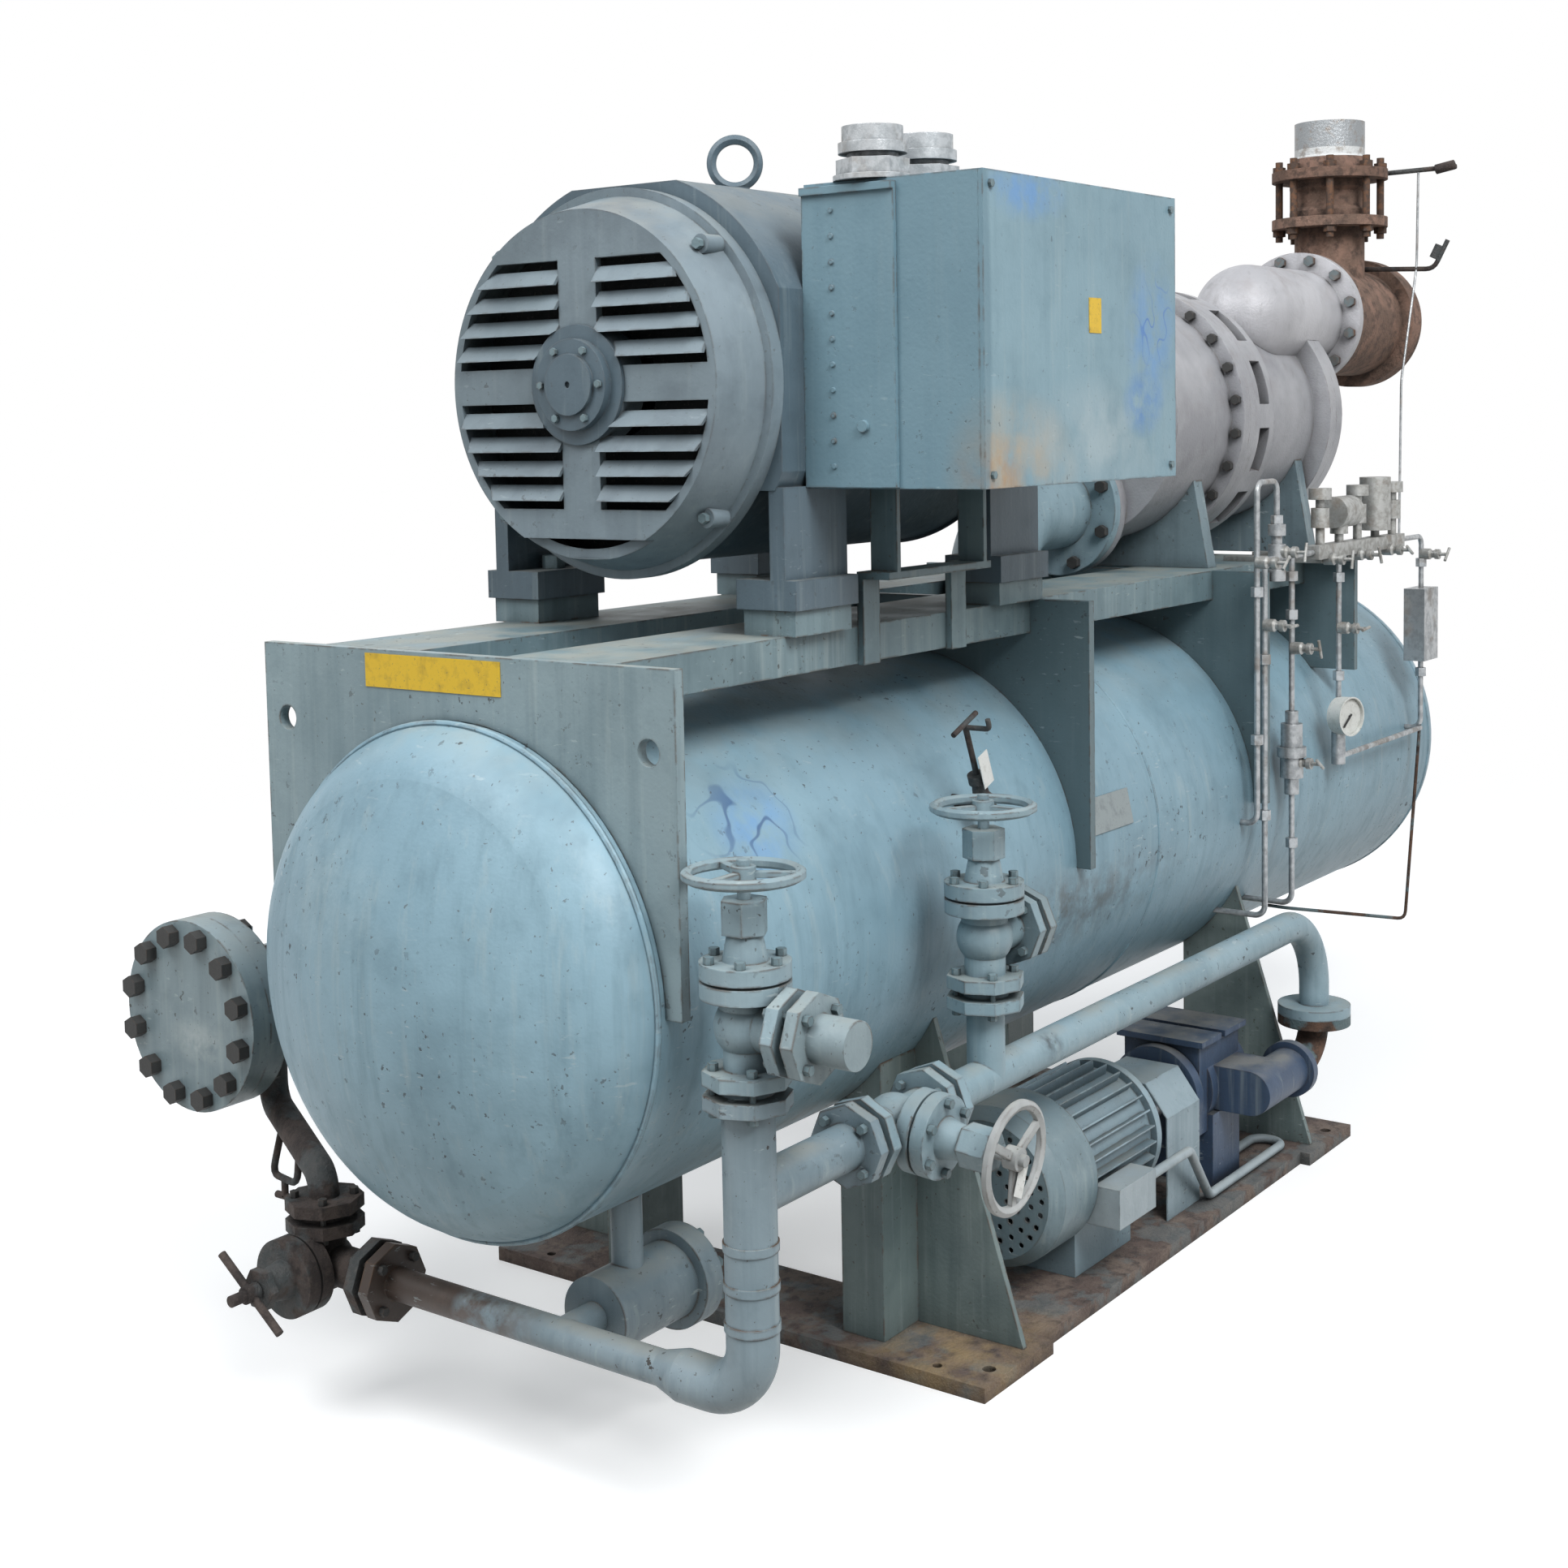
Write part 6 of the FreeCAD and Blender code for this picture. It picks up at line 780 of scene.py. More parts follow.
@dataclass(frozen=True)
class PipeStub:
    """Cut pipe end over a rusted flange: silver paint, with a white band where it was taped."""

    name: str
    silver_low: float = 2.172
    band_low: float = 2.150
    paint_edge: float = 0.002
    roughness: float = 0.85
    crust: str = "#6a5448"
    bright: str = "#86685a"
    deep: str = "#483a33"
    tape_white: str = "#dfe2e2"
    end_silver: str = "#9b9fa2"
    tape_soil: str = "#8b7d70"
    shade_and_grime: str = "#241d19"
    rust_mm: float = 45.0
    deep_mm: float = 20.0
    flake_mm: float = 6.0
    soil_mm: float = 25.0
    corner_mm: float = 45.0
    flake_height_mm: float = 0.5
    rounding_mm: float = 2.0

    def material(self) -> bpy.types.Material:
        """Lays the flange's rust, the white band and the silver end.

        Returns:
            The material.
        """
        metal = Layers(self.name, self.crust, self.roughness)
        metal.cover(metal.patches(self.rust_mm, 0.42, 0.6), self.bright, 0.8)
        metal.cover(metal.patches(self.deep_mm, 0.48, 0.62, offset=6.0), self.deep, 0.8)
        metal.cover(metal.patches(self.flake_mm, 0.4, 0.6, offset=1.0), height_mm=self.flake_height_mm)
        band = metal.along(UP, self.band_low - self.paint_edge, self.band_low)
        metal.cover(band, self.tape_white, 0.95, roughness=0.6)
        silver = metal.along(UP, self.silver_low - self.paint_edge, self.silver_low)
        metal.cover(silver, self.end_silver, 1.0, roughness=0.4, metallic=0.5)
        soiled = metal.patches(self.soil_mm, 0.52, 0.66, offset=8.0)
        metal.cover(metal.both(band, soiled), self.tape_soil, 0.7)
        # Painted shade and grime darken the corners.
        metal.cover(metal.crevices(self.corner_mm), self.shade_and_grime, 0.8, multiply=True)
        return metal.finished(self.rounding_mm)


class Finish(Enum):
    """Every finish on the package, by what it covers."""

    # Blue-grey enamel on rolled plate, sky blue where it is lit, with pen and smear marks, a painted
    # highlight on the head and a darker band low on the shell.
    VESSEL = Enamel(
        "vessel_enamel", "#7f9fae", "#94b4c2", "#688592",
        crown=Crown((-1.505, 0.0, 0.729), (-0.826, 0.0, 0.729), 0.0365), marks=(
            Mark((-1.04, -0.34, 0.95), (0.11, 0.12, 0.09), "#6f9fd2", 0.75, 70),
            Mark((-1.05, -0.34, 0.975), (0.15, 0.12, 0.12), "#35547f", 0.85, 90, Pattern.PEN),
            # A pale blotch on the head's upper left, where the light falls most, is painted highlight.
            Mark((-1.44, 0.10, 0.86), (0.12, 0.16, 0.13), "#adc5cd", 0.4),
            Mark((-0.2, -0.36, 0.66), (0.5, 0.12, 0.09), "#4b4a47", 0.7),
            # A dark grey blotched band along the bottom of the shell.
            Mark((-0.6, -0.25, 0.42), (0.8, 0.2, 0.10), "#54564f", 0.6, 70),
        ),
    )
    # The same coat on flame-cut plate, greyer, with painted shade that makes it much darker behind the
    # front plate.
    PLATES = Enamel(
        "saddle_enamel", "#809399", "#90a4aa", "#677c83", wear=0.85, dirt_and_shade=0.9, marks=(
            # Painted shade over the plates behind the front plate.
            Mark((0.35, 0.0, 0.95), (1.35, 0.9, 0.9), "#455a60", 0.72, pattern=Pattern.EVEN),
        ),
    )
    # Rolled channels under a thin dull coat, with rust on their corners.
    RAILS = Enamel("rail_enamel", "#697f86", "#879ca1", "#4f646b", wear=0.9, dirt_and_shade=1.0)
    # Stands near the ground, greyed by splashes and worn to rust at the edges.
    STANDS = Enamel("stand_enamel", "#6f7f7f", "#84928f", "#4c5d60", rust="#5d4738", wear=0.9, chips=1.0)
    # Thick forged flanges under the coat, pale where water dried on them.
    COOLER = Enamel(
        "cooler_enamel", "#7f9197", "#93a3a8", "#65767c", wear=0.9, marks=(
            Mark((-1.37, 0.62, 0.54), (0.1, 0.09, 0.05), "#c2cccb", 0.6, 30),
        ),
    )
    # Slate-blue machine enamel on cast iron, the darkest coat and the least worn.
    MOTOR = Enamel(
        "motor_enamel", "#4c5d67", "#5b6d78", "#3f4f58", rust="#4b4642", wear=0.4, chips=0.45, runs=0.3,
    )
    # The end bell's grey enamel, painted lighter than the frame's as painted highlight on the louvre bars,
    # with crisp louvre edges.
    LOUVRES = Enamel(
        "louvre_enamel", "#6c7b82", "#82919a", "#535f68", rust="#4b4642", wear=0.5, chips=0.5, runs=0.2,
        rounding_mm=1.0,
    )
    # Smooth enamel on folded sheet, with blue chalk smears, an ochre rust stain and painted shade on the
    # front face.
    BOX = Enamel(
        "sheet_steel_enamel", "#7a98a5", "#8ba8b3", "#6a8793", wear=0.7, dirt_and_shade=0.35, chips=0.45, runs=0.3,
        marks=(
            Mark((-0.34, -0.61, 1.66), (0.10, 0.06, 0.14), "#5e93d0", 0.55, 50),
            Mark((-0.33, -0.61, 1.68), (0.09, 0.06, 0.09), "#3d70b4", 0.8, 60, Pattern.PEN),
            Mark((-0.37, -0.61, 1.55), (0.08, 0.06, 0.06), "#4a7ebd", 0.7, 34),
            Mark((-0.74, -0.61, 1.86), (0.13, 0.06, 0.05), "#5e93d0", 0.6, 40),
            Mark((-0.80, -0.61, 1.45), (0.22, 0.08, 0.13), "#bb9c70", 0.6, 90),
            Mark((-0.84, -0.61, 1.44), (0.10, 0.08, 0.07), "#a5763f", 0.5, 30),
            Mark((-0.50, -0.61, 1.50), (0.30, 0.08, 0.10), "#b4c2c6", 0.5, 120),
            # Painted shade darkens the box's front face.
            Mark((-0.885, -0.45, 1.66), (0.05, 0.35, 0.5), "#5d7c8a", 0.6, pattern=Pattern.EVEN),
        ),
    )
    # Pale blue-grey enamel on steel pipe, dusty along its top.
    PIPE = Enamel(
        "pipe_enamel", "#849da7", "#99b0ba", "#69828c", wear=0.8, dirt_and_shade=0.9, marks=(
            Mark((-0.535, -0.53, 0.53), (0.04, 0.03, 0.04), "#2e3133", 0.8, 25),
        ),
    )
    # Pipe enamel on the low pipes, burnt brown next to the bar-handle valve.
    LEG = Enamel(
        "cross_pipe_enamel", "#788b94", "#8f9fa7", "#5d6f77", wear=0.9, dirt_and_shade=1.0, chips=1.0, marks=(
            Mark((-1.31, 0.19, 0.225), (0.14, 0.17, 0.14), "#3d322c", 1.0, pattern=Pattern.EVEN),
            Mark((-1.31, 0.0, 0.225), (0.12, 0.14, 0.12), "#57483f", 0.9, 30),
            Mark((-1.31, -0.5, 0.17), (0.12, 0.12, 0.06), "#5a4b42", 0.5, 25),
        ),
    )
    # Enamel brushed over rough cast valves and their handwheels.
    WHEEL = Enamel("valve_enamel", "#839aa3", "#98adb5", "#677b84", wear=0.9, dirt_and_shade=0.8)
    # One handwheel in plain light grey, worn by hands.
    GREY_WHEEL = Enamel("grey_handwheel_enamel", "#a3a6a6", "#b9bcbc", "#85898a", wear=0.6, dirt_and_shade=0.6)
    # Base plates walked on for years: brown steel with rests of coat.
    BASE = RustedIron(
        "worn_base_steel", "#665852", "#82746a", "#4a4240", paint="#6c7b7e", paint_share=0.45, marks=(
            Mark((-0.70, -0.42, 0.02), (0.30, 0.20, 0.08), "#a18a66", 0.8, 60),
        ),
    )
    # Grey cast iron under aluminium paint, matt and slightly metallic.
    CASTING = SilveredCasting("aluminium_painted_casting", "#acadb1", "#909196", rust=0.18, metallic=0.2)
    # The suction casting's newer, brighter coat of the same paint.
    ELBOW = SilveredCasting(
        "bright_aluminium_paint", "#c3c3c7", "#a6a6aa", dirt_and_shade=0.6, rust=0.15, metallic=0.2
    )
    # Dark, oil-stained enamel between the motor and the compressor.
    DISCHARGE = Enamel("discharge_enamel", "#6c7f87", "#80939a", "#515f66", wear=0.8, dirt_and_shade=1.0)
    # Bare cast iron, evenly red-brown from the weather.
    SUCTION = RustedIron("rusted_suction_iron", "#715c50", "#947667", "#4d3f38")
    # The cut pipe with its silver end and white band.
    STUB = PipeStub("banded_pipe_stub")
    # Iron black with oil and grime, which hides most of its rust.
    DARK = RustedIron("grimy_iron", "#3b3432", "#544a45", "#262120", paint="#4d5a5d", paint_share=0.4)
    # Steel pipe that has lost most of its coat to dark rust.
    RUSTY = RustedIron("rusted_pipe", "#4c3c33", "#6b5040", "#2f2723", paint="#5f7a80", paint_share=0.7)
    # Factory enamel on the small motor's fins, cleaner and smoother.
    PUMP_MOTOR = Enamel("pump_motor_enamel", "#8ba2ad", "#9fb3bb", "#708690", wear=0.5, dirt_and_shade=0.9, runs=0.3)
    # Pressed sheet cowl, a thin coat gone dull.
    COWL = Enamel("cowl_enamel", "#6f838b", "#83979e", "#58696f", wear=0.7, dirt_and_shade=0.8, rounding_mm=1.0)
    # Folded sheet guard, pale and hardly chipped.
    GUARD = Enamel("guard_enamel", "#8c9fa8", "#9fb1b9", "#6f838c", wear=0.5, dirt_and_shade=0.6)
    # Light grey enamel on the wiring box and its conduit.
    WIRING = Enamel("wiring_box_enamel", "#9daab0", "#b1bcc0", "#7e8c92", wear=0.4, dirt_and_shade=0.6, chips=0.4)
    # Dark blue enamel on the pump's iron, under an oily film.
    PUMP = Enamel("pump_enamel", "#36475f", "#43566f", "#28364a", rust="#3a3432", wear=0.6, dirt_and_shade=1.0)
    # Bolt heads and nuts, sprayed with what they hold.
    BOLTS = Fasteners("sprayed_and_rusted_bolts", "#71858b")
    # Zinc-plated steel, pale and spangled.
    ZINC = PlatedMetal("zinc_plate", "#b9bdc0", "#8f9497")
    # Plated brass fittings gone grey.
    BRASS = PlatedMetal("tarnished_fittings", "#b1b2b0", "#898883", 0.4)
    # Drawn stainless tube, a little brighter than the zinc.
    STAINLESS = PlatedMetal("stainless_tube", "#b3b6b8", "#888c8f", 0.32)
    # Bright ground steel inside the machine.
    GROUND = GroundSteel("ground_steel", "#b5b8bb", "#8f8f8c")
    # Stacked core plates, brown with varnish.
    CORE = GroundSteel("varnished_core_plates", "#5b5450", "#463f3b")
    # Baked white enamel behind the gauge's glass.
    DIAL = Trim("white_dial_enamel", "#dadcd8", "#b9bab2", 0.35)
    # Matt black paint.
    POINTER = Trim("black_pointer_paint", "#141416", "#2a2a2c", 0.4)
    # Yellow vinyl, even in colour and a little soiled.
    YELLOW = Trim("yellow_vinyl", "#dcb630", "#a98a35", 0.45)
    # White card or plastic tags.
    TAG = Trim("white_tag", "#dfe1de", "#b0b0a8", 0.5)
    # A weathered plate without a mark on it.
    ALUMINIUM = Trim("dull_aluminium_plate", "#8d9799", "#6b7476", 0.4)
    # The unlit inside that shows between the louvres.
    DARKNESS = Trim("shadowed_motor_inside", "#15191b", "#0f1213", 0.9)


class Shape:
    """One mesh in the making, shaped with bmesh operators and finished as a piece that rides."""

    def __init__(self) -> None:
        """Starts with an empty mesh."""
        self.form = bmesh.new()

    def ring(
        self, centre: Sequence[float], axis: Sequence[float], radius: float, section: float,
        steps: int, corners: int,
    ) -> "Shape":
        """Adds a ring of round section.

        Args:
            centre: The ring's middle.
            axis: The ring's axis.
            radius: Radius of the section's path.
            section: Radius of the section.
            steps: Faces round the ring.
            corners: Faces round the section.

        Returns:
            The shape, so that calls chain.
        """
        turn = Vector(axis).normalized().to_track_quat("Z", "Y").to_matrix().to_4x4()
        place = Matrix.Translation(centre) @ turn
        made = bmesh.ops.create_circle(
            self.form, segments=corners, radius=section,
            matrix=place @ Matrix.Translation((radius, 0, 0)) @ Matrix.Rotation(math.pi / 2, 4, "X"),
        )
        edges = list({edge for vert in made["verts"] for edge in vert.link_edges})
        bmesh.ops.spin(
            self.form, geom=made["verts"] + edges, cent=centre, axis=Vector(axis).normalized(),
            angle=math.tau, steps=steps, use_merge=True,
        )
        return self

    def turned(
        self, start: Sequence[float], axis: Sequence[float], profile: Sequence[tuple[float, float]],
        steps: int,
    ) -> "Shape":
        """Adds a body turned round an axis.

        Args:
            start: The point on the axis from which the profile's lengths count.
            axis: The axis.
            profile: Pairs of length along the axis and radius, closed or with both ends on the axis.
            steps: Faces round the axis.

        Returns:
            The shape, so that calls chain.
        """
        turn = Vector(axis).normalized().to_track_quat("Z", "Y").to_matrix().to_4x4()
        place = Matrix.Translation(start) @ turn
        verts = [self.form.verts.new(place @ Vector((radius, 0, length))) for length, radius in profile]
        edges = [self.form.edges.new(pair) for pair in zip(verts, verts[1:])]
        bmesh.ops.spin(
            self.form, geom=verts + edges, cent=start, axis=Vector(axis).normalized(),
            angle=math.tau, steps=steps, use_merge=True,
        )
        return self

    def block(
        self, centre: Sequence[float], size: Sequence[float], turn: Optional[Matrix] = None
    ) -> "Shape":
        """Adds a block.

        Args:
            centre: Its middle.
            size: Its lengths along its own axes.
            turn: Its rotation, or None to stay square.

        Returns:
            The shape, so that calls chain.
        """
        place = Matrix.Translation(centre) @ (turn or Matrix()) @ Matrix.Diagonal((*size, 1.0))
        bmesh.ops.create_cube(self.form, size=1.0, matrix=place)
        return self

    def tube(
        self, points: Sequence[Triple], radius: float, bend: float = 0.02, corners: int = 10
    ) -> "Shape":
        """Adds a round bar or tube with rounded bends along a line of points.

        Args:
            points: The ends and the corners of the line.
            radius: Radius of the tube.
            bend: How far from a corner its bend begins.
            corners: Faces round the tube.

        Returns:
            The shape, so that calls chain.
        """
        line = [Vector(points[0])]
        for before, corner, after in zip(points, points[1:], points[2:]):
            start = Vector(corner) + (Vector(before) - Vector(corner)).normalized() * bend
            end = Vector(corner) + (Vector(after) - Vector(corner)).normalized() * bend
            for share in BEND_SHARES:
                line.append(start.lerp(Vector(corner), share).lerp(Vector(corner).lerp(end, share), share))
        line.append(Vector(points[-1]))
        turn = (line[1] - line[0]).to_track_quat("Z", "Y")
        heading = line[1] - line[0]
        previous: Optional[list[bmesh.types.BMEdge]] = None
        for number, point in enumerate(line):
            ahead = line[min(number + 1, len(line) - 1)] - line[max(number - 1, 0)]
            turn = heading.rotation_difference(ahead) @ turn
            heading = ahead
            place = Matrix.Translation(point) @ turn.to_matrix().to_4x4()
            made = bmesh.ops.create_circle(
                self.form, segments=corners, radius=radius, matrix=place,
                cap_ends=number in (0, len(line) - 1),
            )
            edges = list({edge for vert in made["verts"] for edge in vert.link_edges})
            if previous is not None:
                bmesh.ops.bridge_loops(self.form, edges=previous + edges)
            previous = edges
        return self

    def finished(
        self, name: str, material: bpy.types.Material, body: str, smooth: bool = True,
        slot: Optional[str] = None,
    ) -> bpy.types.Object:
        """Turns the mesh into a piece that rides on a body.

        Args:
            name: The piece's name.
            material: What it is made of.
            body: The body that carries it.
            smooth: Whether it is shaded smooth up to its sharp edges.
            slot: Not used.

        Returns:
            The finished object.
        """
        bmesh.ops.remove_doubles(self.form, verts=self.form.verts, dist=MERGE_DISTANCE)
        bmesh.ops.recalc_face_normals(self.form, faces=self.form.faces)
        for face in self.form.faces:
            face.smooth = smooth
        mesh = bpy.data.meshes.new(name)
        self.form.to_mesh(mesh)
        self.form.free()
        mesh.set_sharp_from_angle(angle=SHARP_ANGLE)
        mesh.materials.append(material)
        piece = bpy.data.objects.new(name, mesh)
        bpy.context.scene.collection.objects.link(piece)
        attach(piece, body)
        log.info("%s rides on %s", name, body)
        return piece


class SubAssembly:
    """A part of the package that dresses its CAD nodes and adds the small pieces they lack."""

    nodes: ClassVar[Mapping[Finish, tuple[str, ...]]] = {}

    def dress(self, paints: Mapping[Finish, bpy.types.Material]) -> None:
        """Gives each CAD node its finish.

        Args:
            paints: The material of each finish.
        """
        for finish, names in self.nodes.items():
            for name in names:
                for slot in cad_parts[name].material_slots:
                    slot.material = paints[finish]
                log.info("%s is finished in %s", name, finish.name.lower())

    def details(self, paints: Mapping[Finish, bpy.types.Material]) -> None:
        """Adds the pieces that only the eye needs; there are none unless a class says so.

        Args:
            paints: The material of each finish.
        """

    def build(self, paints: Mapping[Finish, bpy.types.Material]) -> None:
        """Dresses the nodes and adds the pieces."""
        self.dress(paints)
        self.details(paints)


@dataclass
class VesselAndBase(SubAssembly):
    """The separator vessel with its saddles, rails, stands and base."""

    nodes: ClassVar[Mapping[Finish, tuple[str, ...]]] = {
        Finish.VESSEL: ("separator_vessel",),
        Finish.PLATES: ("saddle_plates",),
        Finish.RAILS: ("mounting_rails",),
        Finish.STANDS: ("stands",),
        Finish.BASE: ("base_plates",),
        Finish.BOLTS: ("bolts_and_studs",),
    }
    axis_height: float = 0.729
    shell_radius: float = 0.381
    bead_places: tuple[float, ...] = (-1.347, 0.14, 1.597)
    bead_section: float = 0.005
    bead_steps: int = 96
    bead_corners: int = 8
    strip_face: float = -1.333
    strip_sides: tuple[float, float] = (-0.092, 0.183)
    strip_heights: tuple[float, float] = (1.150, 1.200)
    plate_ends: tuple[float, float] = (-0.128, 0.035)
    plate_height: float = 0.8075
    plate_width: float = 0.066
    sheet: float = 0.0015

    def weld_beads(self, paints: Mapping[Finish, bpy.types.Material]) -> None:
        """Runs the weld beads round the joints between the shell and its heads.

        Args:
            paints: The material of each finish.
        """
        for number, place in enumerate(self.bead_places):
            bead = Shape().ring(
                (place, 0.0, self.axis_height), ALONG, self.shell_radius - self.bead_section / 2,
                self.bead_section, steps=self.bead_steps, corners=self.bead_corners,
            )
            bead.finished(f"head_weld_bead_{number}", paints[Finish.VESSEL], PACKAGE, slot="frame_paint")

    def yellow_strip(self, paints: Mapping[Finish, bpy.types.Material]) -> None:
        """Sticks the blank yellow strip on the front saddle plate.

        Args:
            paints: The material of each finish.
        """
        centre = (
            self.strip_face - self.sheet / 2, sum(self.strip_sides) / 2, sum(self.strip_heights) / 2
        )
        size = (
            self.sheet, self.strip_sides[1] - self.strip_sides[0],
            self.strip_heights[1] - self.strip_heights[0],
        )
        Shape().block(centre, size).finished("yellow_strip", paints[Finish.YELLOW], PACKAGE, smooth=False)

    def name_plate(self, paints: Mapping[Finish, bpy.types.Material]) -> None:
        """Fixes a small blank plate on the shell's side.

        Args:
            paints: The material of each finish.
        """
        rise = math.asin((self.plate_height - self.axis_height) / self.shell_radius)
        centre = (
            sum(self.plate_ends) / 2, -self.shell_radius * math.cos(rise), self.plate_height
        )
        size = (self.plate_ends[1] - self.plate_ends[0], self.sheet * 2, self.plate_width)
        Shape().block(centre, size, Matrix.Rotation(-rise, 4, "X")).finished(
            "blank_plate", paints[Finish.ALUMINIUM], PACKAGE, smooth=False
        )

    def details(self, paints: Mapping[Finish, bpy.types.Material]) -> None:
        """Adds the weld beads, the yellow strip and the small plate.

        Args:
            paints: The material of each finish.
        """
        self.weld_beads(paints)
        self.yellow_strip(paints)
        self.name_plate(paints)


@dataclass
class DriveMotor(SubAssembly):
    """The drive motor with its louvred front end."""

    nodes: ClassVar[Mapping[Finish, tuple[str, ...]]] = {
        Finish.MOTOR: (
            "motor_frame", "motor_rear_end_bell", "motor_bearing_cap", "motor_eye_bolt",
        ),
        Finish.LOUVRES: ("motor_front_end_bell",),
        Finish.GROUND: ("motor_rotor", "shaft_bearings"),
        Finish.CORE: ("motor_stator",),
    }
    axis: tuple[float, float] = (0.0, 1.592)
    shade_disc_place: float = -0.962
    shade_disc_radii: tuple[float, float] = (0.085, 0.268)
    shade_disc_thick: float = 0.003
    shade_disc_steps: int = 64

    def details(self, paints: Mapping[Finish, bpy.types.Material]) -> None:
        """Sets a dark disc behind the louvres as painted shade of the motor's unlit inside.

        Args:
            paints: The material of each finish.
        """
        inner, outer = self.shade_disc_radii
        profile = ((0.0, inner), (0.0, outer), (self.shade_disc_thick, outer), (self.shade_disc_thick, inner),
                   (0.0, inner))
        # The disc is painted shade, standing for the unlit inside of the motor.
        shade_disc = Shape().turned((self.shade_disc_place, *self.axis), ALONG, profile, self.shade_disc_steps)
        shade_disc.finished("motor_painted_shade_disc", paints[Finish.DARKNESS], PACKAGE)


@dataclass
class TerminalBox(SubAssembly):
    """The sheet steel terminal box with its conduit hubs and bracket."""

    nodes: ClassVar[Mapping[Finish, tuple[str, ...]]] = {
        Finish.BOX: ("terminal_box", "terminal_box_covers"),
        Finish.ZINC: ("conduit_hubs",),
        Finish.RAILS: ("terminal_box_bracket",),
    }
    sticker_centre: Triple = (-0.5325, -0.6105, 1.685)
    sticker_size: Triple = (0.039, 0.001, 0.054)

    def details(self, paints: Mapping[Finish, bpy.types.Material]) -> None:
        """Sticks the small blank yellow strip on the cover.

        Args:
            paints: The material of each finish.
        """
        Shape().block(self.sticker_centre, self.sticker_size).finished(
            "yellow_sticker", paints[Finish.YELLOW], PACKAGE, smooth=False
        )


@dataclass
class ScrewCompressor(SubAssembly):
    """The compressor's castings, rotors and slide, with its coupling housing and pedestals."""

    nodes: ClassVar[Mapping[Finish, tuple[str, ...]]] = {
        Finish.DISCHARGE: ("coupling_housing", "compressor_pedestals"),
        Finish.PIPE: ("discharge_elbow",),
        Finish.CASTING: ("discharge_casing", "rotor_casing", "suction_end_cover"),
        Finish.GROUND: ("male_rotor", "female_rotor", "slide_valve"),
    }


@dataclass
class SuctionLine(SubAssembly):
    """The suction elbow, strainer, stop and check valve and the cut pipe stub."""

    nodes: ClassVar[Mapping[Finish, tuple[str, ...]]] = {
        Finish.ELBOW: ("suction_elbow",),
        Finish.SUCTION: ("suction_strainer", "stop_check_valve"),
        Finish.STUB: ("suction_stub",),
    }
    rod_radius: float = 0.006
    grip_radius: float = 0.012
    line_radius: float = 0.003
    upper_rod: tuple[Triple, ...] = ((1.70, -0.19, 2.112), (1.70, -0.405, 2.115))
    upper_grip: tuple[Triple, ...] = ((1.70, -0.355, 2.112), (1.70, -0.400, 2.120))
    lower_rod: tuple[Triple, ...] = ((1.70, -0.14, 1.882), (1.70, -0.351, 1.872), (1.70, -0.385, 1.940))
    lower_grip: tuple[Triple, ...] = ((1.70, -0.351, 1.898), (1.70, -0.366, 1.928))
    impulse_line: tuple[Triple, ...] = (
        (1.70, -0.311, 2.116), (1.70, -0.308, 1.880), (1.62, -0.300, 1.60), (1.30, -0.415, 1.232),
    )

    def details(self, paints: Mapping[Finish, bpy.types.Material]) -> None:
        """Adds the two rods at the check valve and the thin line that runs down from them.

        Args:
            paints: The material of each finish.
        """
        rods = Shape()
        for rod in (self.upper_rod, self.lower_rod):
            rods.tube(rod, self.rod_radius)
        for grip in (self.upper_grip, self.lower_grip):
            rods.tube(grip, self.grip_radius)
        rods.finished("check_valve_rods", paints[Finish.DARK], PACKAGE, slot="rusty_iron")
        Shape().tube(self.impulse_line, self.line_radius).finished(
            "impulse_line", paints[Finish.STAINLESS], PACKAGE
        )


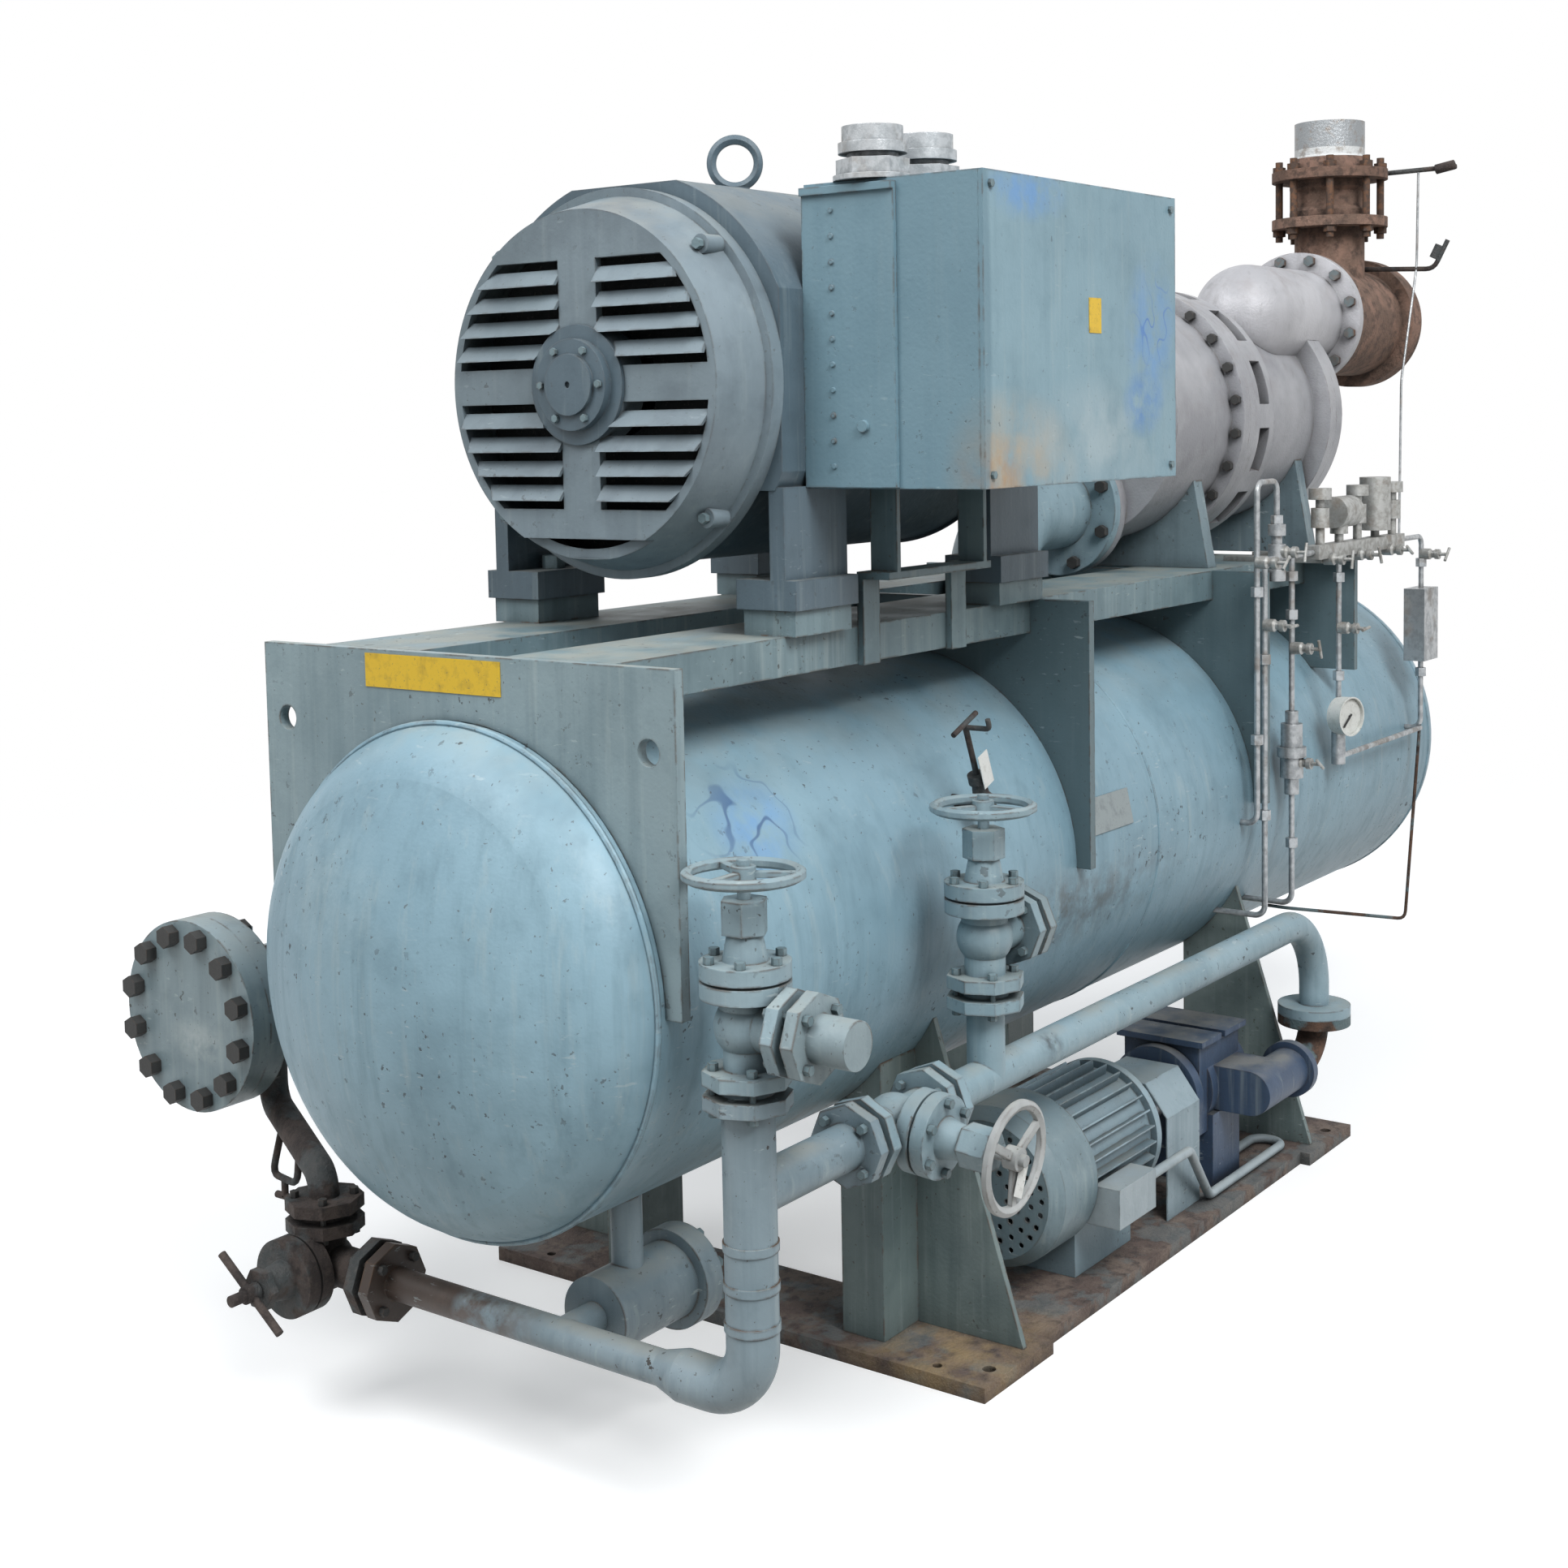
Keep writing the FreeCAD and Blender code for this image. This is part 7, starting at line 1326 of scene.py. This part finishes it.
@dataclass
class OilPiping(SubAssembly):
    """The oil pipes, filter and cooler with their valves."""

    nodes: ClassVar[Mapping[Finish, tuple[str, ...]]] = {
        Finish.PIPE: ("oil_header_pipe",),
        Finish.LEG: ("oil_riser_pipe", "oil_filter"),
        Finish.COOLER: ("oil_cooler_shell", "blank_flanges"),
        Finish.WHEEL: ("valve_1_body", "valve_2_body", "valve_3_body", "valve_1_wheel", "valve_2_wheel"),
        Finish.GREY_WHEEL: ("valve_3_wheel",),
        Finish.DARK: ("drain_valve_body", "drain_valve_handle", "cooler_feed_pipe"),
        Finish.RUSTY: ("pump_inlet_pipe",),
        Finish.GROUND: ("valve_1_disc", "valve_2_disc", "valve_3_disc", "drain_valve_disc"),
    }
    tag_centre: Triple = (-0.955, -0.709, 0.458)
    tag_size: Triple = (0.022, 0.0015, 0.048)
    tag_lean: float = 25.0
    cock_body: Triple = (-0.525, -0.395, 0.899)
    cock_stem: Triple = (-0.373, 0.0, 0.928)
    cock_reach: float = 0.150
    cock_ball: float = 0.021
    cock_neck: float = 0.01155
    cock_profile: tuple[tuple[float, float], ...] = (
        (0.0, 0.0), (0.002, 0.014), (0.014, 0.021), (0.03, 0.021), (0.04, 0.014), (0.062, 0.012),
        (0.062, 0.016), (0.078, 0.016), (0.078, 0.005), (0.171, 0.005), (0.171, 0.0),
    )
    cock_steps: int = 24
    cock_bar: float = 0.038
    cock_bar_radius: float = 0.0045
    hook_drop: float = 0.006
    hook_reach: float = 0.0456
    hook_rise: float = 0.018
    hook_bend: float = 0.008
    shell_point: Triple = (-0.525, -0.335, 0.899)
    cock_tag_size: Triple = (0.030, 0.0015, 0.058)
    cock_tag_rise: float = 0.0675
    cock_tag_out: float = 0.02
    loop_radius: float = 0.006
    loops: tuple[tuple[Triple, ...], ...] = (
        ((-1.255, 0.465, 0.370), (-1.262, 0.465, 0.310), (-1.245, 0.545, 0.308), (-1.220, 0.545, 0.385)),
        ((-1.254, 0.505, 0.312), (-1.254, 0.505, 0.280)),
        ((-1.254, 0.485, 0.280), (-1.254, 0.525, 0.280)),
    )

    def shell_cock(self, paints: Mapping[Finish, bpy.types.Material]) -> None:
        """Builds the small cross-handled cock on the shell with its blank tag.

        Args:
            paints: The material of each finish.
        """
        body = Vector(self.cock_body)
        stem = Vector(self.cock_stem).normalized()
        side = Vector((0, 1, 0)).cross(stem).normalized()
        tip = body + stem * self.cock_reach
        cock = Shape()
        cock.tube((self.shell_point, self.cock_body), self.cock_neck, corners=16)
        cock.turned(tuple(body - stem * self.cock_ball), stem, self.cock_profile, self.cock_steps)
        cock.tube((tuple(tip - side * self.cock_bar), tuple(tip + side * self.cock_bar)),
                  self.cock_bar_radius)
        near_tip = tip - stem * self.hook_drop
        hook = near_tip - Vector((0, self.hook_reach, 0))
        cock.tube((tuple(near_tip), tuple(hook), tuple(hook + stem * self.hook_rise)),
                  self.cock_bar_radius, self.hook_bend)
        cock.finished("shell_cock", paints[Finish.DARK], PACKAGE, slot="dark_iron")
        turn = Matrix((side, Vector((0, 1, 0)), stem)).transposed().to_4x4()
        hang = body + stem * self.cock_tag_rise - Vector((0, self.cock_tag_out, 0))
        Shape().block(tuple(hang), self.cock_tag_size, turn).finished(
            "shell_cock_tag", paints[Finish.TAG], PACKAGE, smooth=False
        )

    def details(self, paints: Mapping[Finish, bpy.types.Material]) -> None:
        """Adds the tags, the cock on the shell and the small loops at the cooler's riser.

        Args:
            paints: The material of each finish.
        """
        lean = Matrix.Rotation(math.radians(self.tag_lean), 4, "Y")
        Shape().block(self.tag_centre, self.tag_size, lean).finished(
            "valve_tag", paints[Finish.TAG], "valve_3_hand", smooth=False
        )
        self.shell_cock(paints)
        loops = Shape()
        for loop in self.loops:
            loops.tube(loop, self.loop_radius)
        loops.finished("cooler_drain_loops", paints[Finish.DARK], PACKAGE, slot="dark_iron")


@dataclass
class PumpSet(SubAssembly):
    """The oil pump, its motor, guard and wiring."""

    nodes: ClassVar[Mapping[Finish, tuple[str, ...]]] = {
        Finish.PUMP_MOTOR: ("pump_motor_frame",),
        Finish.COWL: ("pump_motor_cowl",),
        Finish.GUARD: ("coupling_guard",),
        Finish.WIRING: ("pump_wiring",),
        Finish.PUMP: ("oil_pump_casing",),
        Finish.GROUND: ("pump_rotor",),
    }


@dataclass
class Instruments(SubAssembly):
    """The cocks, tubes and pressure gauge."""

    nodes: ClassVar[Mapping[Finish, tuple[str, ...]]] = {
        Finish.BRASS: ("instrument_manifold",),
        Finish.STAINLESS: ("instrument_tubing",),
        Finish.DIAL: ("gauge_case",),
        Finish.POINTER: ("gauge_pointer",),
    }
    line_y: float = -0.415
    nut_radius: float = 0.0125
    nut_length: float = 0.02
    nut_sides: int = 6
    nut_places: tuple[tuple[float, float], ...] = (
        (0.548, 0.70), (0.548, 1.02), (0.511, 0.86), (0.511, 1.16), (0.685, 0.62), (0.685, 1.10),
        (0.685, 1.18), (0.939, 0.945), (0.939, 1.16), (0.609, 1.30), (1.445, 0.90), (1.445, 1.16),
    )
    cock_places: tuple[tuple[float, float], ...] = (
        (0.548, 1.10), (0.511, 1.23), (0.609, 1.245), (0.685, 1.04), (0.685, 0.80), (0.939, 1.06),
        (1.445, 1.19), (0.86, 1.215), (1.02, 1.215), (1.20, 1.215),
    )
    cock_profile: tuple[tuple[float, float], ...] = (
        (0.0, 0.0), (0.0, 0.013), (0.022, 0.013), (0.026, 0.009), (0.034, 0.009), (0.034, 0.012),
        (0.044, 0.012), (0.044, 0.004), (0.062, 0.004), (0.062, 0.0),
    )
    cock_steps: int = 16
    cock_bar: float = 0.020
    cock_bar_radius: float = 0.0035
    cock_lean: float = 37.0
    relief_line: tuple[Triple, ...] = (
        (1.445, -0.415, 0.80), (1.445, -0.380, 0.31), (1.204, -0.181, 0.36), (1.204, -0.060, 0.362),
    )
    relief_radius: float = 0.004
    dial_centre: Triple = (0.939, -0.415, 0.868)
    dial_way: Triple = (-0.27, -0.96, 0.0)
    dial_depth: float = 0.0225
    tick_circle: float = 0.031
    tick_size: Triple = (0.0016, 0.006, 0.001)
    tick_count: int = 11
    tick_sweep: float = 270.0

    def union_nuts(self, paints: Mapping[Finish, bpy.types.Material]) -> None:
        """Screws the union nuts on the tubes.

        Args:
            paints: The material of each finish.
        """
        nuts = Shape()
        for place, height in self.nut_places:
            start = (place, self.line_y, height)
            profile = ((0.0, 0.0), (0.0, self.nut_radius), (self.nut_length, self.nut_radius),
                       (self.nut_length, 0.0))
            nuts.turned(start, UP, profile, self.nut_sides)
        nuts.finished("tube_union_nuts", paints[Finish.ZINC], PACKAGE, smooth=False, slot="zinc")

    def needle_valves(self, paints: Mapping[Finish, bpy.types.Material]) -> None:
        """Sets the small bar-handled valves on the tubes and the manifold.

        Args:
            paints: The material of each finish.
        """
        cocks = Shape()
        for number, (place, height) in enumerate(self.cock_places):
            cocks.turned((place, self.line_y, height), (0, -1, 0), self.cock_profile, self.cock_steps)
            end = self.line_y - self.cock_profile[-1][0]
            lean = math.radians(self.cock_lean * number)
            reach = Vector((math.cos(lean), 0, math.sin(lean))) * self.cock_bar
            middle = Vector((place, end, height))
            cocks.tube((tuple(middle - reach), tuple(middle + reach)), self.cock_bar_radius, corners=8)
        cocks.finished("needle_valves", paints[Finish.BRASS], PACKAGE, slot="zinc")

    def dial_marks(self, paints: Mapping[Finish, bpy.types.Material]) -> None:
        """Prints the marks on the dial.

        Args:
            paints: The material of each finish.
        """
        ticks = Shape()
        way = Vector(self.dial_way).normalized()
        base = Vector(self.dial_centre) + way * self.dial_depth
        turn = Matrix((Vector(UP).cross(way), Vector(UP), way)).transposed().to_4x4()
        for number in range(self.tick_count):
            angle = math.radians(self.tick_sweep * (number / (self.tick_count - 1) - 0.5))
            spin = turn @ Matrix.Rotation(angle, 4, "Z")
            ticks.block(base + spin @ Vector((0, self.tick_circle, 0)), self.tick_size, spin)
        ticks.finished("dial_marks", paints[Finish.POINTER], PACKAGE, smooth=False)

    def details(self, paints: Mapping[Finish, bpy.types.Material]) -> None:
        """Adds the nuts, the small valves, the relief line and the dial's marks.

        Args:
            paints: The material of each finish.
        """
        self.union_nuts(paints)
        self.needle_valves(paints)
        Shape().tube(self.relief_line, self.relief_radius).finished(
            "relief_line", paints[Finish.RUSTY], PACKAGE, slot="rusty_iron"
        )
        self.dial_marks(paints)


@dataclass
class Studio:
    """Pale floor, soft light and the camera at the photograph's angle."""

    camera_place: Triple = (-3.515, -2.2006, 1.5321)
    camera_yaw: float = 36.399
    camera_pitch: float = -4.676
    camera_roll: float = -1.082
    lens_mm: float = 49.23
    sensor_mm: float = 36.0
    rise: float = -0.12
    floor_span: float = 80.0
    floor_colour: str = "#e9e9e9"
    floor_glow: float = 0.36
    dusky_colour: str = "#7f786f"
    white: str = "#ffffff"
    white_strength: float = 1.0
    fade: tuple[float, float] = (2.2, 6.0)
    sky_colour: str = "#f1f6fb"
    horizon: tuple[float, float] = (-0.25, 0.35)
    sky_strength: float = 0.61
    ground_strength: float = 0.13
    key_place: Triple = (-2.4, -5.0, 6.0)
    key_span: float = 3.0
    key_watts: float = 415.0
    fill_place: Triple = (-4.6, 1.2, 6.0)
    fill_span: float = 3.5
    fill_watts: float = 215.0
    package_middle: Triple = (0.0, 0.0, 0.9)

    def camera(self) -> None:
        """Sets up the camera that the photograph was taken with."""
        data = bpy.data.cameras.new("camera")
        data.lens = self.lens_mm
        data.sensor_width = self.sensor_mm
        data.shift_y = self.rise
        camera = bpy.data.objects.new("camera", data)
        turn = (
            Matrix.Rotation(math.radians(self.camera_yaw - 90), 4, "Z")
            @ Matrix.Rotation(math.radians(90 + self.camera_pitch), 4, "X")
            @ Matrix.Rotation(math.radians(self.camera_roll), 4, "Z")
        )
        camera.matrix_world = Matrix.Translation(self.camera_place) @ turn
        bpy.context.scene.collection.objects.link(camera)
        bpy.context.scene.camera = camera

    def lamp(self, name: str, place: Sequence[float], span: float, watts: float) -> None:
        """Adds one soft square lamp that looks at the middle of the package.

        Args:
            name: The lamp's name.
            place: Where it hangs.
            span: Its width.
            watts: Its power.
        """
        data = bpy.data.lights.new(name, "AREA")
        data.size = span
        data.energy = watts
        lamp = bpy.data.objects.new(name, data)
        aim = (Vector(self.package_middle) - Vector(place)).to_track_quat("-Z", "Y")
        lamp.matrix_world = Matrix.Translation(place) @ aim.to_matrix().to_4x4()
        bpy.context.scene.collection.objects.link(lamp)

    def seeing(self, tree: bpy.types.NodeTree) -> bpy.types.NodeSocket:
        """Tells the rays that show the background, straight or in metal or glass, from those that light.

        Args:
            tree: The node tree of the floor or the sky.

        Returns:
            A socket that is 1 for a ray that shows it.
        """
        rays = add_node(tree, "ShaderNodeLightPath")
        shown = rays.outputs["Is Camera Ray"]
        for kind in ("Is Glossy Ray", "Is Transmission Ray"):
            shown = add_node(
                tree, "ShaderNodeMath", {0: shown, 1: rays.outputs[kind]}, operation="MAXIMUM"
            ).outputs[0]
        return shown

    def sky(self) -> None:
        """Lights the package from above and shows white behind it."""
        world = bpy.data.worlds.new("sky")
        bpy.context.scene.world = world
        world.use_nodes = True
        tree = world.node_tree
        tree.nodes.clear()
        ray = add_node(tree, "ShaderNodeNewGeometry").outputs["Incoming"]
        height = add_node(
            tree, "ShaderNodeVectorMath", {0: ray, 1: (0.0, 0.0, -1.0)}, operation="DOT_PRODUCT"
        )
        strength = add_node(
            tree, "ShaderNodeMapRange",
            {0: height.outputs["Value"], 1: self.horizon[0], 2: self.horizon[1],
             3: self.ground_strength, 4: self.sky_strength},
        )
        light = add_node(
            tree, "ShaderNodeBackground",
            {"Color": linear(self.sky_colour), "Strength": strength.outputs[0]},
        )
        white = add_node(
            tree, "ShaderNodeBackground", {"Color": linear(self.white), "Strength": self.white_strength}
        )
        mix = add_node(
            tree, "ShaderNodeMixShader", {0: self.seeing(tree), 1: light.outputs[0], 2: white.outputs[0]}
        )
        add_node(tree, "ShaderNodeOutputWorld", {"Surface": mix.outputs[0]})

    def floor(self) -> None:
        """Lays the pale floor, which keeps the package's shadow and fades to white far out."""
        mesh = bpy.data.meshes.new("floor")
        floor = bpy.data.objects.new("floor", mesh)
        bpy.context.scene.collection.objects.link(floor)
        form = bmesh.new()
        bmesh.ops.create_grid(form, x_segments=1, y_segments=1, size=self.floor_span / 2)
        form.to_mesh(mesh)
        form.free()
        material = bpy.data.materials.new("pale_floor")
        material.use_nodes = True
        tree = material.node_tree
        tree.nodes.clear()
        place = add_node(tree, "ShaderNodeTexCoord").outputs["Object"]
        far = add_node(tree, "ShaderNodeVectorMath", {0: place}, operation="LENGTH")
        fade = add_node(
            tree, "ShaderNodeMapRange",
            {0: far.outputs["Value"], 1: self.fade[0], 2: self.fade[1]}, interpolation_type="SMOOTHSTEP",
        )
        matt = add_node(tree, "ShaderNodeBsdfDiffuse", {"Color": linear(self.floor_colour)})
        glow = add_node(
            tree, "ShaderNodeEmission", {"Color": linear(self.white), "Strength": self.floor_glow}
        )
        lifted = add_node(tree, "ShaderNodeAddShader", {0: matt.outputs[0], 1: glow.outputs[0]})
        white = add_node(
            tree, "ShaderNodeEmission", {"Color": linear(self.white), "Strength": self.white_strength}
        )
        shown = add_node(
            tree, "ShaderNodeMixShader", {0: fade.outputs[0], 1: lifted.outputs[0], 2: white.outputs[0]}
        )
        dusky = add_node(tree, "ShaderNodeBsdfDiffuse", {"Color": linear(self.dusky_colour)})
        mix = add_node(
            tree, "ShaderNodeMixShader", {0: self.seeing(tree), 1: dusky.outputs[0], 2: shown.outputs[0]}
        )
        add_node(tree, "ShaderNodeOutputMaterial", {"Surface": mix.outputs[0]})
        mesh.materials.append(material)

    def build(self) -> None:
        """Sets the whole studio up."""
        bpy.context.scene.view_settings.view_transform = "Standard"
        self.camera()
        self.sky()
        self.floor()
        self.lamp("key", self.key_place, self.key_span, self.key_watts)
        self.lamp("fill", self.fill_place, self.fill_span, self.fill_watts)


def main() -> None:
    """Builds the studio and then each sub-assembly's looks."""
    logging.basicConfig(level=logging.INFO, format="%(message)s")
    Studio().build()
    paints = {finish: finish.value.material() for finish in Finish}
    for assembly in (
        VesselAndBase(), DriveMotor(), TerminalBox(), ScrewCompressor(), SuctionLine(), OilPiping(),
        PumpSet(), Instruments(),
    ):
        assembly.build(paints)


if __name__ == "__main__":
    main()
